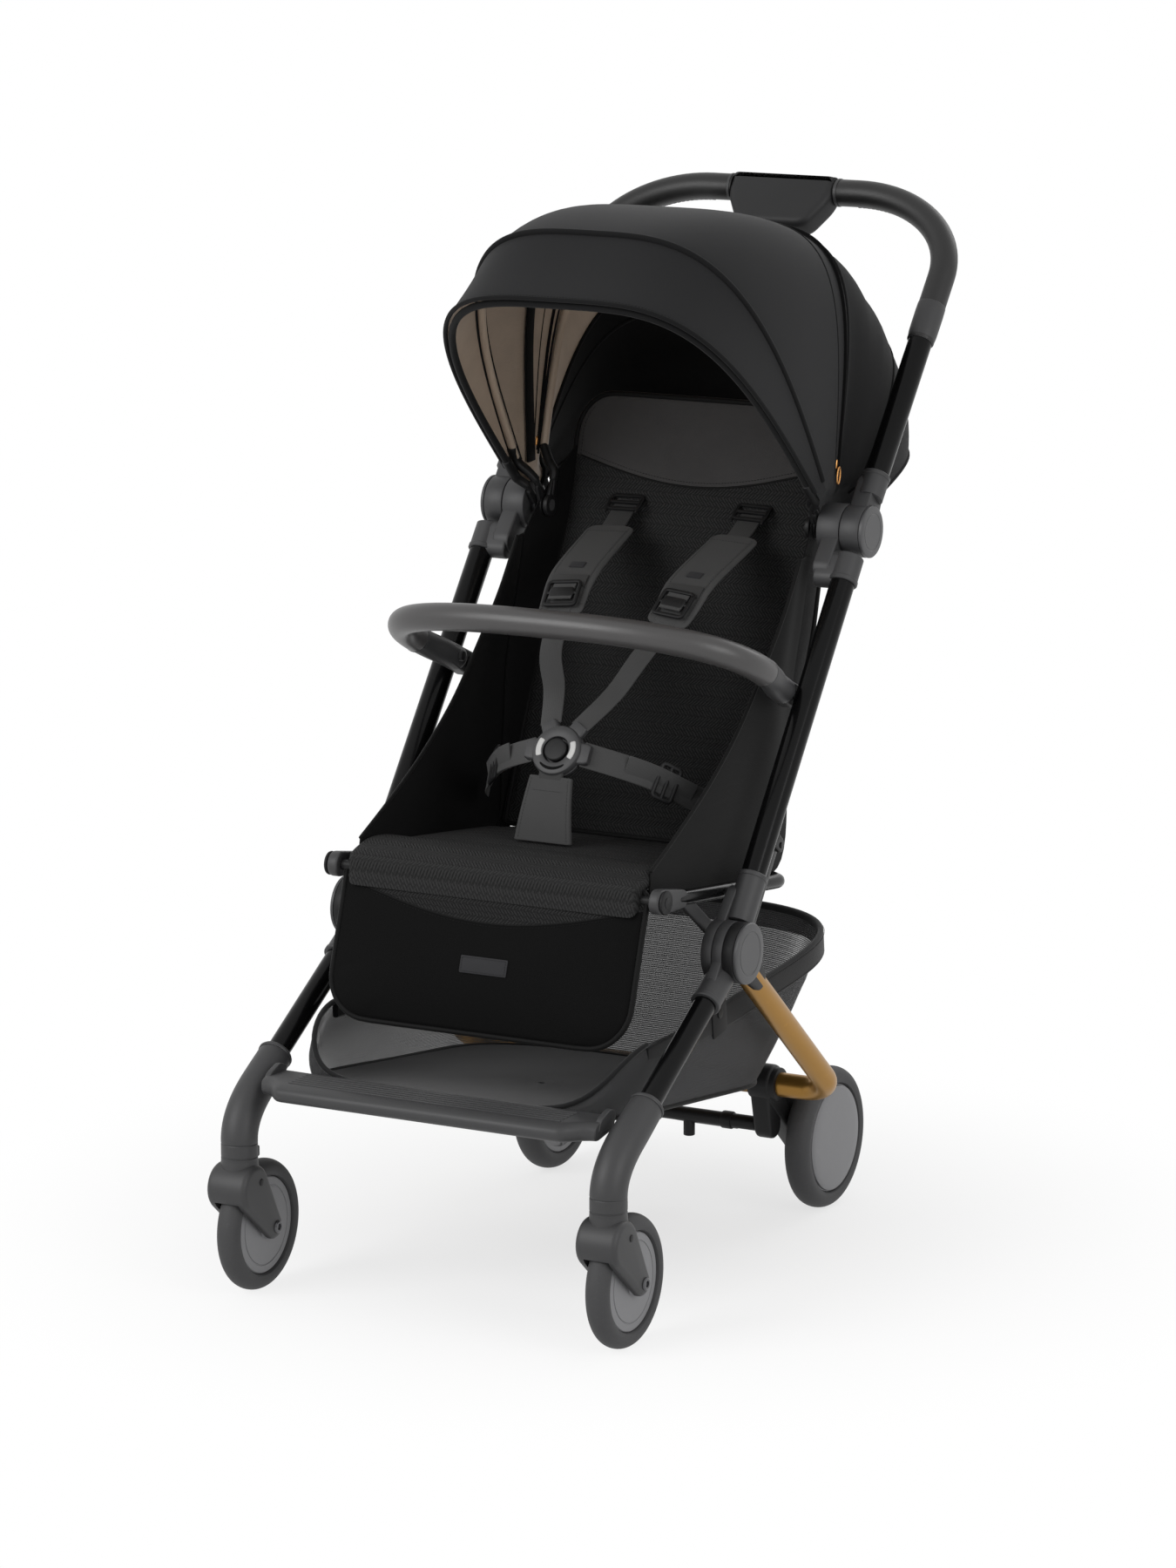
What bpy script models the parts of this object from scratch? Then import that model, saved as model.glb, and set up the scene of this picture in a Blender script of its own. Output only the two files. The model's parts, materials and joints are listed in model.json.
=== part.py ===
"""Compact folding stroller, built as separate pieces.

Units are metres, +Z is up, the child faces -Y, and +X is called the right side. Heights are measured from
the floor. Lengths along Y are measured from the front swivel axis and are moved by Y_CENTRE, so that the
finished object stands centred on the origin.
"""

from math import atan2, cos, degrees, pi, radians, sin, sqrt

import bmesh
import bpy
from mathutils import Matrix, Vector

# Whole object
Y_CENTRE = 0.3830
GAP = 0.0003
SIDES = (("right", 1), ("left", -1))

# Front casters
CASTER_X = 0.2045
CASTER_TRAIL = 0.033
CASTER_WHEEL_R = 0.0655
CASTER_TYRE_HALF = 0.0120
CASTER_HUB_R = 0.0485
CASTER_FORK_HALF = 0.0225
CASTER_SLOT_HALF = 0.0138
SWIVEL_TOP_Z = 0.157
COLLAR_R = 0.0182
LOCK_TRAVEL = 0.004

# Rear wheels
REAR_X = 0.1595
REAR_AXLE = (0.561, 0.074)
REAR_WHEEL_R = 0.074
REAR_TYRE_HALF = 0.0138
REAR_HUB_R = 0.056

# Tubes and hinges, side view points are (y, z)
TUBE_X = 0.207
TUBE_R = 0.0125
SLEEVE_R = 0.0145
LOWER_HINGE = (0.247, 0.343)
LOWER_HUB_R = 0.0305
PUSH_LAYER = (0.1900, 0.2015)
FRONT_LAYER = (0.2018, 0.2130)
REAR_LAYER = (0.2133, 0.2250)
LOWER_CAP = (0.2253, 0.2295)
PIN_R = 0.0060
BORE_R = 0.0064
TUBE_START = 0.035

MID_POLAR = 53.0
MID_LENGTH = 0.4725
KNUCKLE_OFFSET = 0.007
UPPER_HUB_R = 0.0265
INNER_KNUCKLE = (0.1680, 0.1932)
OUTER_KNUCKLE = (0.1936, 0.2150)
UPPER_CAP = (0.2153, 0.2192)

FRONT_LEG_POLAR = 211.3
FRONT_LEG_OFFSET = 0.008
FRONT_LEG_R = 0.0115
FRONT_LEG_LENGTH = 0.222
SHOE_END = 0.207
SHOE_R = 0.0182

REAR_LEG_POLAR = 320.0
REAR_LEG_X = 0.2085
REAR_LEG_LENGTH = 0.305
REAR_BEND_R = 0.034

HANDLE_POLAR = 51.0
HANDLE_LENGTH = 0.395
GRIP_START = 0.222
GRIP_R = 0.0142
HOUSING_HALF = 0.060

# Seat
SEAT_HINGE_DISTANCE = 0.054
SEAT_TUBE_X = 0.178
SEAT_TUBE_R = 0.0075
CALF_HINGE = (0.150, 0.409)
SEAT_REAR = (0.425, 0.376)
BACK_HINGE = (0.446, 0.397)
BACK_POLAR = 67.5
BACK_LENGTH = 0.462
BACK_HALF = 0.155
PAD_HALF = 0.158
PANEL_X = 0.1618

# Canopy, each hoop is (polar angle about the upper hinge, radius, half width, squareness)
HOOP_R = 0.0035
MID_HOOP = (75.0, 0.286, 0.1660, 5.0)
FRONT_HOOP = (122.0, 0.353, 0.1730, 3.45)
VISOR_HOOP = (136.7, 0.356, 0.1715, 3.8)
MID_FOOT = 0.1504
FRONT_FOOT = 0.1572
VISOR_FOOT = 0.1640
COVER_THICKNESS = 0.0016

# Bumper bar
BUMPER_PIVOT = (0.417, 0.5665)
BUMPER_POLAR = 154.5
BUMPER_REACH = 0.198
BUMPER_HALF = 0.197
BUMPER_R = 0.0142


def clear_scene():
    for obj in list(bpy.data.objects):
        bpy.data.objects.remove(obj, do_unlink=True)


def new_collection(name):
    collection = bpy.data.collections.new(name)
    bpy.context.scene.collection.children.link(collection)
    return collection


clear_scene()
PARTS = new_collection("compact_stroller")
CUTTERS = new_collection("cutters")


def place(x, y, z):
    """A point given from the front swivel axis, in the object's own frame."""
    return Vector((x, y - Y_CENTRE, z))


def polar(origin, angle, distance, offset=0.0):
    """Side view point: distance along the angle, offset to the left of it."""
    a = radians(angle)
    y = origin[0] + distance * cos(a) - offset * sin(a)
    z = origin[1] + distance * sin(a) + offset * cos(a)
    return (y, z)


MID_TOP = polar(LOWER_HINGE, MID_POLAR, MID_LENGTH)
UPPER_HINGE = polar(MID_TOP, MID_POLAR, 0.0, -KNUCKLE_OFFSET)
SEAT_HINGE = polar(LOWER_HINGE, MID_POLAR, SEAT_HINGE_DISTANCE)


# Materials
def material(name, colour, roughness, metallic=0.0):
    mat = bpy.data.materials.new(name)
    mat.use_nodes = True
    shader = mat.node_tree.nodes["Principled BSDF"]
    shader.inputs["Base Color"].default_value = (*colour, 1.0)
    shader.inputs["Roughness"].default_value = roughness
    shader.inputs["Metallic"].default_value = metallic
    mat.diffuse_color = (*colour, 1.0)
    return mat


BLACK_TUBE = ("black_tube", (0.012, 0.012, 0.013), 0.30, 0.6)
BRONZE_TUBE = ("bronze_tube", (0.27, 0.165, 0.055), 0.34, 0.85)
BLACK_PLASTIC = ("black_plastic", (0.022, 0.022, 0.023), 0.50, 0.0)
GREY_PLASTIC = ("grey_plastic", (0.055, 0.056, 0.058), 0.55, 0.0)
WHEEL_DISC = ("wheel_disc", (0.085, 0.086, 0.088), 0.50, 0.0)
TYRE_FOAM = ("tyre_foam", (0.040, 0.040, 0.042), 0.70, 0.0)
STEEL = ("steel_pin", (0.20, 0.20, 0.21), 0.35, 0.9)
GRIP_LEATHER = ("grip_leather", (0.035, 0.035, 0.037), 0.55, 0.0)
SEAT_FABRIC = ("seat_fabric", (0.008, 0.008, 0.008), 0.90, 0.0)
CANOPY_FABRIC = ("canopy_fabric", (0.020, 0.020, 0.021), 0.85, 0.0)
BASKET_MESH = ("basket_mesh", (0.050, 0.050, 0.052), 0.85, 0.0)
WEBBING = ("webbing", (0.030, 0.030, 0.031), 0.80, 0.0)


def publish(obj, name, look):
    """Name a finished sub-part, give it its own material and put it in the parts collection."""
    obj.name = name
    obj.data.name = name
    obj.data.materials.clear()
    obj.data.materials.append(material(name + "_" + look[0], *look[1:]))
    for collection in list(obj.users_collection):
        collection.objects.unlink(obj)
    PARTS.objects.link(obj)
    return obj


def put_away(obj, name):
    """Keep a cutter or an added shape out of the model itself."""
    obj.name = name
    for collection in list(obj.users_collection):
        collection.objects.unlink(obj)
    CUTTERS.objects.link(obj)
    obj.hide_render = True
    obj.display_type = "WIRE"


# Basic shapes
def smooth(obj, angle=35.0):
    obj.data.shade_smooth()
    obj.data.set_sharp_from_angle(angle=radians(angle))
    return obj


def mesh_object(name, mesh):
    obj = bpy.data.objects.new(name, mesh)
    PARTS.objects.link(obj)
    return obj


def bevel(obj, width, segments=2, angle=30.0):
    mod = obj.modifiers.new("rounded_edges", "BEVEL")
    mod.width = width
    mod.segments = segments
    mod.limit_method = "ANGLE"
    mod.angle_limit = radians(angle)
    return obj


def box(x0, x1, y0, y1, z0, z1):
    bpy.ops.mesh.primitive_cube_add(size=1.0)
    obj = bpy.context.object
    centre = place((x0 + x1) / 2, (y0 + y1) / 2, (z0 + z1) / 2)
    size = Matrix.Diagonal((abs(x1 - x0), y1 - y0, z1 - z0, 1.0))
    obj.data.transform(size)
    obj.location = centre
    return obj


def rod_x(x0, x1, point, radius, sides=24):
    """Cylinder along X between two x values, on a side view point."""
    bpy.ops.mesh.primitive_cylinder_add(
        vertices=sides,
        radius=radius,
        depth=abs(x1 - x0),
        location=place((x0 + x1) / 2, *point),
        rotation=(0.0, pi / 2, 0.0),
    )
    return smooth(bpy.context.object)


def rod_between(start, end, radius, sides=16):
    """Cylinder between two points of the object's frame."""
    axis = end - start
    bpy.ops.mesh.primitive_cylinder_add(
        vertices=sides, radius=radius, depth=axis.length, location=(start + end) / 2
    )
    obj = bpy.context.object
    obj.rotation_euler = axis.to_track_quat("Z", "Y").to_euler()
    return smooth(obj)


def turned(profile, location, side, steps=28, closed=True):
    """Turn a (radius, distance outwards) profile about the X axis. The first run goes down the outer side."""
    mesh = bpy.data.meshes.new("profile")
    points = [(r, 0.0, a) for r, a in profile]
    edges = [(i, i + 1) for i in range(len(points) - 1)]
    if closed:
        edges.append((len(points) - 1, 0))
    mesh.from_pydata(points, edges, [])
    obj = mesh_object("turned", mesh)
    obj.location = location
    obj.rotation_euler = (0.0, side * pi / 2, 0.0)
    screw = obj.modifiers.new("turn", "SCREW")
    screw.steps = steps
    screw.render_steps = steps
    screw.use_merge_vertices = True
    screw.merge_threshold = 0.00005
    screw.use_smooth_shade = True
    return obj


def curve_tube(points, radius, resolution=4, cyclic=False):
    """Round tube along points of the object's frame, as a closed mesh."""
    data = bpy.data.curves.new("tube", "CURVE")
    data.dimensions = "3D"
    data.bevel_depth = radius
    data.bevel_resolution = resolution
    data.use_fill_caps = not cyclic
    spline = data.splines.new("POLY")
    spline.points.add(len(points) - 1)
    for knot, point in zip(spline.points, points):
        knot.co = (*point, 1.0)
    spline.use_cyclic_u = cyclic
    return curve_to_mesh(data)


def curve_to_mesh(data):
    curve = bpy.data.objects.new("curve", data)
    PARTS.objects.link(curve)
    bpy.context.view_layer.update()
    graph = bpy.context.evaluated_depsgraph_get()
    mesh = bpy.data.meshes.new_from_object(curve.evaluated_get(graph))
    cage = bmesh.new()
    cage.from_mesh(mesh)
    bmesh.ops.remove_doubles(cage, verts=cage.verts, dist=0.00002)
    bmesh.ops.recalc_face_normals(cage, faces=cage.faces)
    cage.to_mesh(mesh)
    cage.free()
    obj = mesh_object("tube", mesh)
    obj.matrix_world = curve.matrix_world.copy()
    bpy.data.objects.remove(curve, do_unlink=True)
    return smooth(obj, 40.0)


def plate(outline, x0, x1):
    """Flat plate: a side view outline of (y, z) points, as thick as x0 to x1."""
    data = bpy.data.curves.new("outline", "CURVE")
    data.dimensions = "2D"
    data.fill_mode = "BOTH"
    data.extrude = abs(x1 - x0) / 2
    spline = data.splines.new("POLY")
    spline.points.add(len(outline) - 1)
    for knot, (y, z) in zip(spline.points, outline):
        knot.co = (y - Y_CENTRE, z, 0.0, 1.0)
    spline.use_cyclic_u = True
    obj = curve_to_mesh(data)
    turn = Matrix(((0, 0, 1, 0), (1, 0, 0, 0), (0, 1, 0, 0), (0, 0, 0, 1)))
    obj.data.transform(Matrix.Translation(((x0 + x1) / 2, 0, 0)) @ turn)
    return obj


def thinner(layer, side, margin=0.0002):
    """Both x values of a hinge layer, drawn in so that joined faces never share a plane."""
    return side * (layer[0] + margin), side * (layer[1] - margin)


def arc(centre, radius, start, end, count):
    """Points on a side view arc, angles in degrees."""
    steps = [start + (end - start) * i / (count - 1) for i in range(count)]
    return [polar(centre, angle, radius) for angle in steps]


def link_outline(a, ra, b, rb, count=6):
    """Outline of a bar with a round end at a and at b."""
    heading = degrees(atan2(b[1] - a[1], b[0] - a[0]))
    reach = sqrt((b[0] - a[0]) ** 2 + (b[1] - a[1]) ** 2)
    taper = degrees(atan2(rb - ra, reach))
    side = 90.0 + taper
    tail = arc(a, ra, heading + side, heading + 360.0 - side, count)
    nose = arc(b, rb, heading - side, heading + side, count)
    return tail + nose


def sheet(rows, thickness, offset=0.0):
    """Shell over a grid of points, given as rows of equal length."""
    width = len(rows[0])
    points = [point for row in rows for point in row]
    faces = []
    for i in range(len(rows) - 1):
        for j in range(width - 1):
            a = i * width + j
            faces.append((a, a + 1, a + width + 1, a + width))
    mesh = bpy.data.meshes.new("sheet")
    mesh.from_pydata(points, [], faces)
    obj = mesh_object("sheet", mesh)
    solid = obj.modifiers.new("wall", "SOLIDIFY")
    solid.thickness = thickness
    solid.offset = offset
    return smooth(obj, 50.0)


def pad(origin, along, up, length, half_width, top, bottom, rows=10, cols=12, power=5.0, width=None,
        bend=None):
    """Pillow shaped pad with a crown, thin edges and sides drawn in between its corners."""
    across = Vector((1.0, 0.0, 0.0))
    run = [sin(pi / 2 * (2 * i / rows - 1)) for i in range(rows + 1)]
    span = [sin(pi / 2 * (2 * j / cols - 1)) for j in range(cols + 1)]
    cage = bmesh.new()
    grids = {1: {}, -1: {}}
    for i, a in enumerate(run):
        reach = half_width * (width(a) if width else 1.0) * (1.0 - 0.02 * (1.0 - a * a))
        for j, b in enumerate(span):
            middle = origin + along * (length * (a + 1) / 2) + across * (reach * b)
            middle += up * (bend(a) if bend else 0.0)
            swell = ((1 - abs(a) ** power) * (1 - abs(b) ** power)) ** 0.5
            if i in (0, rows) or j in (0, cols):
                grids[1][i, j] = grids[-1][i, j] = cage.verts.new(middle)
            else:
                crown = 0.82 + 0.18 * (1 - a * a) * (1 - b * b)
                grids[1][i, j] = cage.verts.new(middle + up * (top * swell * crown))
                grids[-1][i, j] = cage.verts.new(middle - up * (bottom * swell))
    for grid in grids.values():
        for i in range(rows):
            for j in range(cols):
                ring = [grid[i, j], grid[i, j + 1], grid[i + 1, j + 1], grid[i + 1, j]]
                if (i in (0, rows - 1)) and (j in (0, cols - 1)):
                    if (i == 0) == (j == 0):
                        cage.faces.new([ring[0], ring[1], ring[2]])
                        cage.faces.new([ring[0], ring[2], ring[3]])
                    else:
                        cage.faces.new([ring[1], ring[2], ring[3]])
                        cage.faces.new([ring[1], ring[3], ring[0]])
                else:
                    cage.faces.new(ring)
    bmesh.ops.recalc_face_normals(cage, faces=cage.faces)
    mesh = bpy.data.meshes.new("pad")
    cage.to_mesh(mesh)
    cage.free()
    return smooth(mesh_object("pad", mesh), 60.0)


# Joining and cutting
def combine(base, others, operation, label):
    for index, other in enumerate(others):
        put_away(other, f"{label}_{index}")
        mod = base.modifiers.new(f"{label}_{index}", "BOOLEAN")
        mod.operation = operation
        mod.solver = "EXACT"
        mod.object = other
    return base


def join(base, *others):
    return combine(base, others, "UNION", "joined")


def cut(base, *others):
    return combine(base, others, "DIFFERENCE", "cutter")


def axis_empty(name, x, point):
    """Empty on a joint's axis, which carries the pieces that move with it."""
    empty = bpy.data.objects.new(name, None)
    empty.location = place(x, *point)
    empty.empty_display_size = 0.03
    PARTS.objects.link(empty)
    return empty


def carry(empty, *objects):
    for obj in objects:
        obj.parent = empty
        obj.matrix_parent_inverse = Matrix.Translation(-empty.location)


# Front frame
def front_leg(label, side):
    top = polar(LOWER_HINGE, FRONT_LEG_POLAR, TUBE_START, FRONT_LEG_OFFSET)
    sleeve_end = polar(LOWER_HINGE, FRONT_LEG_POLAR, TUBE_START + 0.030, FRONT_LEG_OFFSET)
    foot = polar(LOWER_HINGE, FRONT_LEG_POLAR, FRONT_LEG_LENGTH, FRONT_LEG_OFFSET)
    x0, x1 = (side * value for value in FRONT_LAYER)
    hub = rod_x(x0, x1, LOWER_HINGE, LOWER_HUB_R, 24)
    arm_end = polar(LOWER_HINGE, FRONT_LEG_POLAR, TUBE_START + 0.012, FRONT_LEG_OFFSET)
    arm = plate(link_outline(LOWER_HINGE, 0.020, arm_end, 0.010), *thinner(FRONT_LAYER, side))
    sleeve = rod_between(place(side * TUBE_X, *top), place(side * TUBE_X, *sleeve_end), SLEEVE_R)
    tube = rod_between(place(side * TUBE_X, *arm_end), place(side * TUBE_X, *foot), FRONT_LEG_R)
    leg = join(hub, arm, sleeve, tube)
    cut(leg, rod_x(side * 0.18, side * 0.24, LOWER_HINGE, BORE_R, 12))
    return publish(leg, f"front_leg_{label}", BLACK_TUBE)


def front_shoe(label, side):
    """Elbow from the leg's slope down to the upright swivel."""
    end = polar(LOWER_HINGE, FRONT_LEG_POLAR, SHOE_END, FRONT_LEG_OFFSET)
    slope = radians(FRONT_LEG_POLAR - 180.0)
    corner = (0.0, end[1] - end[0] * sin(slope) / cos(slope))
    low = (0.0, SWIVEL_TOP_Z + 0.0010)
    bend_low = (0.0, corner[1] - 0.024)
    bend_high = (0.034, corner[1] + 0.034 * sin(slope) / cos(slope))
    bend = []
    for i in range(6):
        t = i / 5
        weights = ((1 - t) ** 2, 2 * t * (1 - t), t * t)
        knots = (bend_low, corner, bend_high)
        bend.append(tuple(sum(w * k[axis] for w, k in zip(weights, knots)) for axis in (0, 1)))
    path = [low] + bend + [end]
    xs = [CASTER_X] * (len(path) - 1) + [TUBE_X]
    shoe = curve_tube([place(side * x, *point) for x, point in zip(xs, path)], SHOE_R, 3)
    foot = polar(LOWER_HINGE, FRONT_LEG_POLAR, FRONT_LEG_LENGTH + 0.004, FRONT_LEG_OFFSET)
    mouth = polar(LOWER_HINGE, FRONT_LEG_POLAR, FRONT_LEG_LENGTH - 0.06, FRONT_LEG_OFFSET)
    socket = rod_between(place(side * TUBE_X, *mouth), place(side * TUBE_X, *foot), FRONT_LEG_R + GAP)
    cut(shoe, socket)
    return publish(shoe, f"front_shoe_{label}", GREY_PLASTIC)


def lower_hinge_cap(label, side):
    inner, outer = LOWER_CAP
    reach = PUSH_LAYER[0] - 0.0015
    profile = [
        (0.0, outer),
        (LOWER_HUB_R - 0.0015, outer),
        (LOWER_HUB_R, outer - 0.0015),
        (LOWER_HUB_R, inner),
        (PIN_R, inner),
        (PIN_R, reach),
        (0.0, reach),
    ]
    cap = turned(profile, place(0.0, *LOWER_HINGE), side, 24, closed=False)
    return publish(cap, f"lower_hinge_cap_{label}", GREY_PLASTIC)


FOOTREST_FRONT = -0.012
FOOTREST_REAR = 0.088
FOOTREST_TOP = 0.2320
FOOTREST_BOTTOM = 0.2090
FOOTREST_HALF = 0.1855


def footrest_board():
    lip = FOOTREST_FRONT + 0.010
    outline = [
        (FOOTREST_FRONT, FOOTREST_BOTTOM + 0.006),
        (lip, FOOTREST_BOTTOM),
        (FOOTREST_REAR, FOOTREST_BOTTOM + 0.010),
        (FOOTREST_REAR, FOOTREST_TOP),
        (lip, FOOTREST_TOP),
        (FOOTREST_FRONT, FOOTREST_TOP - 0.009),
    ]
    board = plate(outline, -FOOTREST_HALF, FOOTREST_HALF)
    bevel(board, 0.0025)
    shoes = [rod_between(place(s * CASTER_X, 0.0, 0.15), place(s * CASTER_X, 0.0, 0.26), SHOE_R + 0.0006)
             for _, s in SIDES]
    cut(board, *shoes)
    return publish(board, "footrest_board", GREY_PLASTIC)


BASKET_WALL = 0.0024
BASKET_FRONT = 0.094
BASKET_SIDE_HALF = 0.178
BASKET_REAR = 0.598


def basket_rim(angle):
    """Rim point of the basket for an angle round it, 0 at the right side, 90 at the rear."""
    a = radians(angle)
    front = sin(a) < 0
    depth = (BASKET_SIDE_HALF * 0.9) if not front else 0.20
    mid_y = BASKET_REAR - BASKET_SIDE_HALF * 0.9 if not front else BASKET_FRONT + 0.20
    power = 0.62 if not front else 0.30
    x = BASKET_SIDE_HALF * (1 if cos(a) >= 0 else -1) * abs(cos(a)) ** power
    y = mid_y + depth * (1 if sin(a) >= 0 else -1) * abs(sin(a)) ** power
    rise = (y - BASKET_FRONT) / (BASKET_REAR - BASKET_FRONT)
    z = 0.238 + 0.036 * min(1.0, rise * 2.2) + 0.030 * max(0.0, rise - 0.45) / 0.55
    return x, y, z


def basket_floor_point(x, y):
    """Floor point under a rim point: drawn in, and sloping down to the rear."""
    rise = (y - BASKET_FRONT) / (BASKET_REAR - BASKET_FRONT)
    floor_y = BASKET_FRONT + 0.004 + rise * 0.346
    floor_x = x * (0.985 - 0.17 * rise)
    return floor_x, floor_y, 0.2000 - 0.050 * rise


def storage_basket():
    count = 28
    ring = [basket_rim(360.0 * i / count) for i in range(count)]
    rows = []
    for level in (0.0, 0.5, 1.0):
        row = []
        for x, y, z in ring:
            fx, fy, fz = basket_floor_point(x, y)
            bulge = 1.0 + 0.03 * sin(pi * level)
            row.append(place((fx + (x - fx) * level) * bulge, fy + (y - fy) * level, fz + (z - fz) * level))
        rows.append(row)
    cage = bmesh.new()
    loops = [[cage.verts.new(point) for point in row] for row in rows]
    for low, high in zip(loops, loops[1:]):
        for i in range(count):
            j = (i + 1) % count
            cage.faces.new([low[i], low[j], high[j], high[i]])
    cage.faces.new(list(reversed(loops[0])))
    bmesh.ops.recalc_face_normals(cage, faces=cage.faces)
    mesh = bpy.data.meshes.new("basket")
    cage.to_mesh(mesh)
    cage.free()
    obj = smooth(mesh_object("basket", mesh), 50.0)
    solid = obj.modifiers.new("wall", "SOLIDIFY")
    solid.thickness = BASKET_WALL
    solid.offset = 0.0
    return publish(obj, "storage_basket", BASKET_MESH)


# Front casters
def caster(label, side):
    axle = (CASTER_TRAIL, CASTER_WHEEL_R)
    x = side * CASTER_X
    swivel = axis_empty(f"caster_axis_{label}", x, (0.0, SWIVEL_TOP_Z))
    spin = axis_empty(f"front_axle_axis_{label}", x, axle)
    collar = rod_between(place(x, 0.0, 0.128), place(x, 0.0, SWIVEL_TOP_Z), COLLAR_R, 24)
    crown = (-0.004, 0.112)
    yoke = plate(link_outline(crown, 0.0245, axle, 0.0125), x - CASTER_FORK_HALF, x + CASTER_FORK_HALF)
    bevel(yoke, 0.0035, 1, 50.0)
    fork = join(collar, yoke)
    slot_r = CASTER_WHEEL_R + 0.0022
    cut(fork,
        rod_x(x - CASTER_SLOT_HALF, x + CASTER_SLOT_HALF, axle, slot_r, 32),
        rod_x(x - 0.04, x + 0.04, axle, 0.0045, 16))
    publish(fork, f"caster_fork_{label}", GREY_PLASTIC)

    lock = box(x - 0.0065, x + 0.0065, COLLAR_R + 0.0008, COLLAR_R + 0.0100, 0.1370, 0.1480)
    bevel(lock, 0.0015, 1)
    publish(lock, f"swivel_lock_{label}", BLACK_PLASTIC)

    half = CASTER_FORK_HALF + 0.0022
    bolt_profile = [
        (0.0, half),
        (0.0065, half - 0.0008),
        (0.0065, CASTER_FORK_HALF + GAP),
        (0.0041, CASTER_FORK_HALF + GAP),
        (0.0041, -CASTER_FORK_HALF - GAP),
        (0.0065, -CASTER_FORK_HALF - GAP),
        (0.0065, -half + 0.0008),
        (0.0, -half),
    ]
    bolt = turned(bolt_profile, place(x, *axle), side, 16, closed=False)
    publish(bolt, f"front_axle_{label}", STEEL)

    tyre = wheel_tyre(CASTER_WHEEL_R, CASTER_HUB_R + 2 * GAP, CASTER_TYRE_HALF, place(x, *axle), side)
    publish(tyre, f"front_tyre_{label}", TYRE_FOAM)
    hub_profile = [
        (0.0110, 0.0134),
        (0.0130, 0.0106),
        (CASTER_HUB_R, 0.0088),
        (CASTER_HUB_R, -0.0088),
        (0.0130, -0.0106),
        (0.0110, -0.0134),
        (0.0044, -0.0134),
        (0.0044, 0.0134),
    ]
    hub = turned(hub_profile, place(x, *axle), side, 24)
    publish(hub, f"front_hub_{label}", WHEEL_DISC)

    carry(swivel, fork, lock, bolt)
    carry(spin, tyre, hub)


def wheel_tyre(radius, inner, half, location, side, count=7):
    """Tyre with a rounded tread and a flat seat on its hub."""
    tread = []
    for i in range(count):
        angle = pi * i / (count - 1)
        r = radius - 0.0125 + 0.0125 * sin(angle) ** 0.8
        tread.append((r, half * cos(angle)))
    profile = tread + [(inner, -half + 0.003), (inner, half - 0.003)]
    return turned(profile, location, side, 28)


# Rear frame
REAR_CROSS = polar(LOWER_HINGE, REAR_LEG_POLAR, REAR_LEG_LENGTH)


def rear_frame_tube():
    bend_start = REAR_LEG_LENGTH - REAR_BEND_R
    path = []
    for distance in (TUBE_START, 0.15, bend_start):
        path.append((REAR_LEG_X, *polar(LOWER_HINGE, REAR_LEG_POLAR, distance)))
    for i in range(1, 6):
        a = pi / 2 * i / 5
        x = REAR_LEG_X - REAR_BEND_R * (1 - cos(a))
        path.append((x, *polar(LOWER_HINGE, REAR_LEG_POLAR, bend_start + REAR_BEND_R * sin(a))))
    other = [(-x, y, z) for x, y, z in reversed(path)]
    tube = curve_tube([place(*point) for point in path + other], TUBE_R, 3)
    ends = []
    for _, side in SIDES:
        x0, x1 = (side * value for value in REAR_LAYER)
        ends.append(rod_x(x0, x1, LOWER_HINGE, LOWER_HUB_R, 24))
        arm_end = polar(LOWER_HINGE, REAR_LEG_POLAR, TUBE_START + 0.018)
        arm = plate(link_outline(LOWER_HINGE, 0.020, arm_end, 0.011), *thinner((x0 * side, 0.2195), side))
        ends.append(arm)
    join(tube, *ends)
    bores = [rod_x(side * 0.18, side * 0.24, LOWER_HINGE, BORE_R, 12) for _, side in SIDES]
    cut(tube, *bores)
    return publish(tube, "rear_frame_tube", BRONZE_TUBE)


BRAKE_AXIS = (0.487, 0.100)
HOUSING_X = (0.1190, 0.1430)


def rear_housing(label, side):
    x0, x1 = (side * value for value in HOUSING_X)
    arm = plate(link_outline(REAR_CROSS, 0.0200, REAR_AXLE, 0.0185, 8), x0, x1)
    bevel(arm, 0.0030, 1, 50.0)
    heel = plate(link_outline(REAR_CROSS, 0.0180, BRAKE_AXIS, 0.0130), side * 0.1205, side * 0.1400)
    join(arm, heel)
    cut(
        arm,
        rod_x(side * 0.09, side * 0.17, REAR_CROSS, TUBE_R + GAP, 28),
        rod_x(side * 0.1225, side * 0.17, REAR_AXLE, 0.0056, 16),
    )
    return publish(arm, f"rear_housing_{label}", BLACK_PLASTIC)


def rear_wheel(label, side):
    spin = axis_empty(f"rear_axle_axis_{label}", side * REAR_X, REAR_AXLE)
    centre = place(side * REAR_X, *REAR_AXLE)
    tyre = wheel_tyre(REAR_WHEEL_R, REAR_HUB_R + 2 * GAP, REAR_TYRE_HALF, centre, side)
    publish(tyre, f"rear_tyre_{label}", TYRE_FOAM)
    stub = 0.1240 - REAR_X
    profile = [
        (0.0, 0.0150),
        (REAR_HUB_R - 0.0060, 0.0142),
        (REAR_HUB_R, 0.0115),
        (REAR_HUB_R, -0.0110),
        (0.0140, -0.0110),
        (0.0120, -0.0155),
        (0.0052, -0.0155),
        (0.0052, stub),
        (0.0, stub),
    ]
    hub = turned(profile, centre, side, 28, closed=False)
    publish(hub, f"rear_hub_{label}", WHEEL_DISC)
    carry(spin, tyre, hub)


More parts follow.
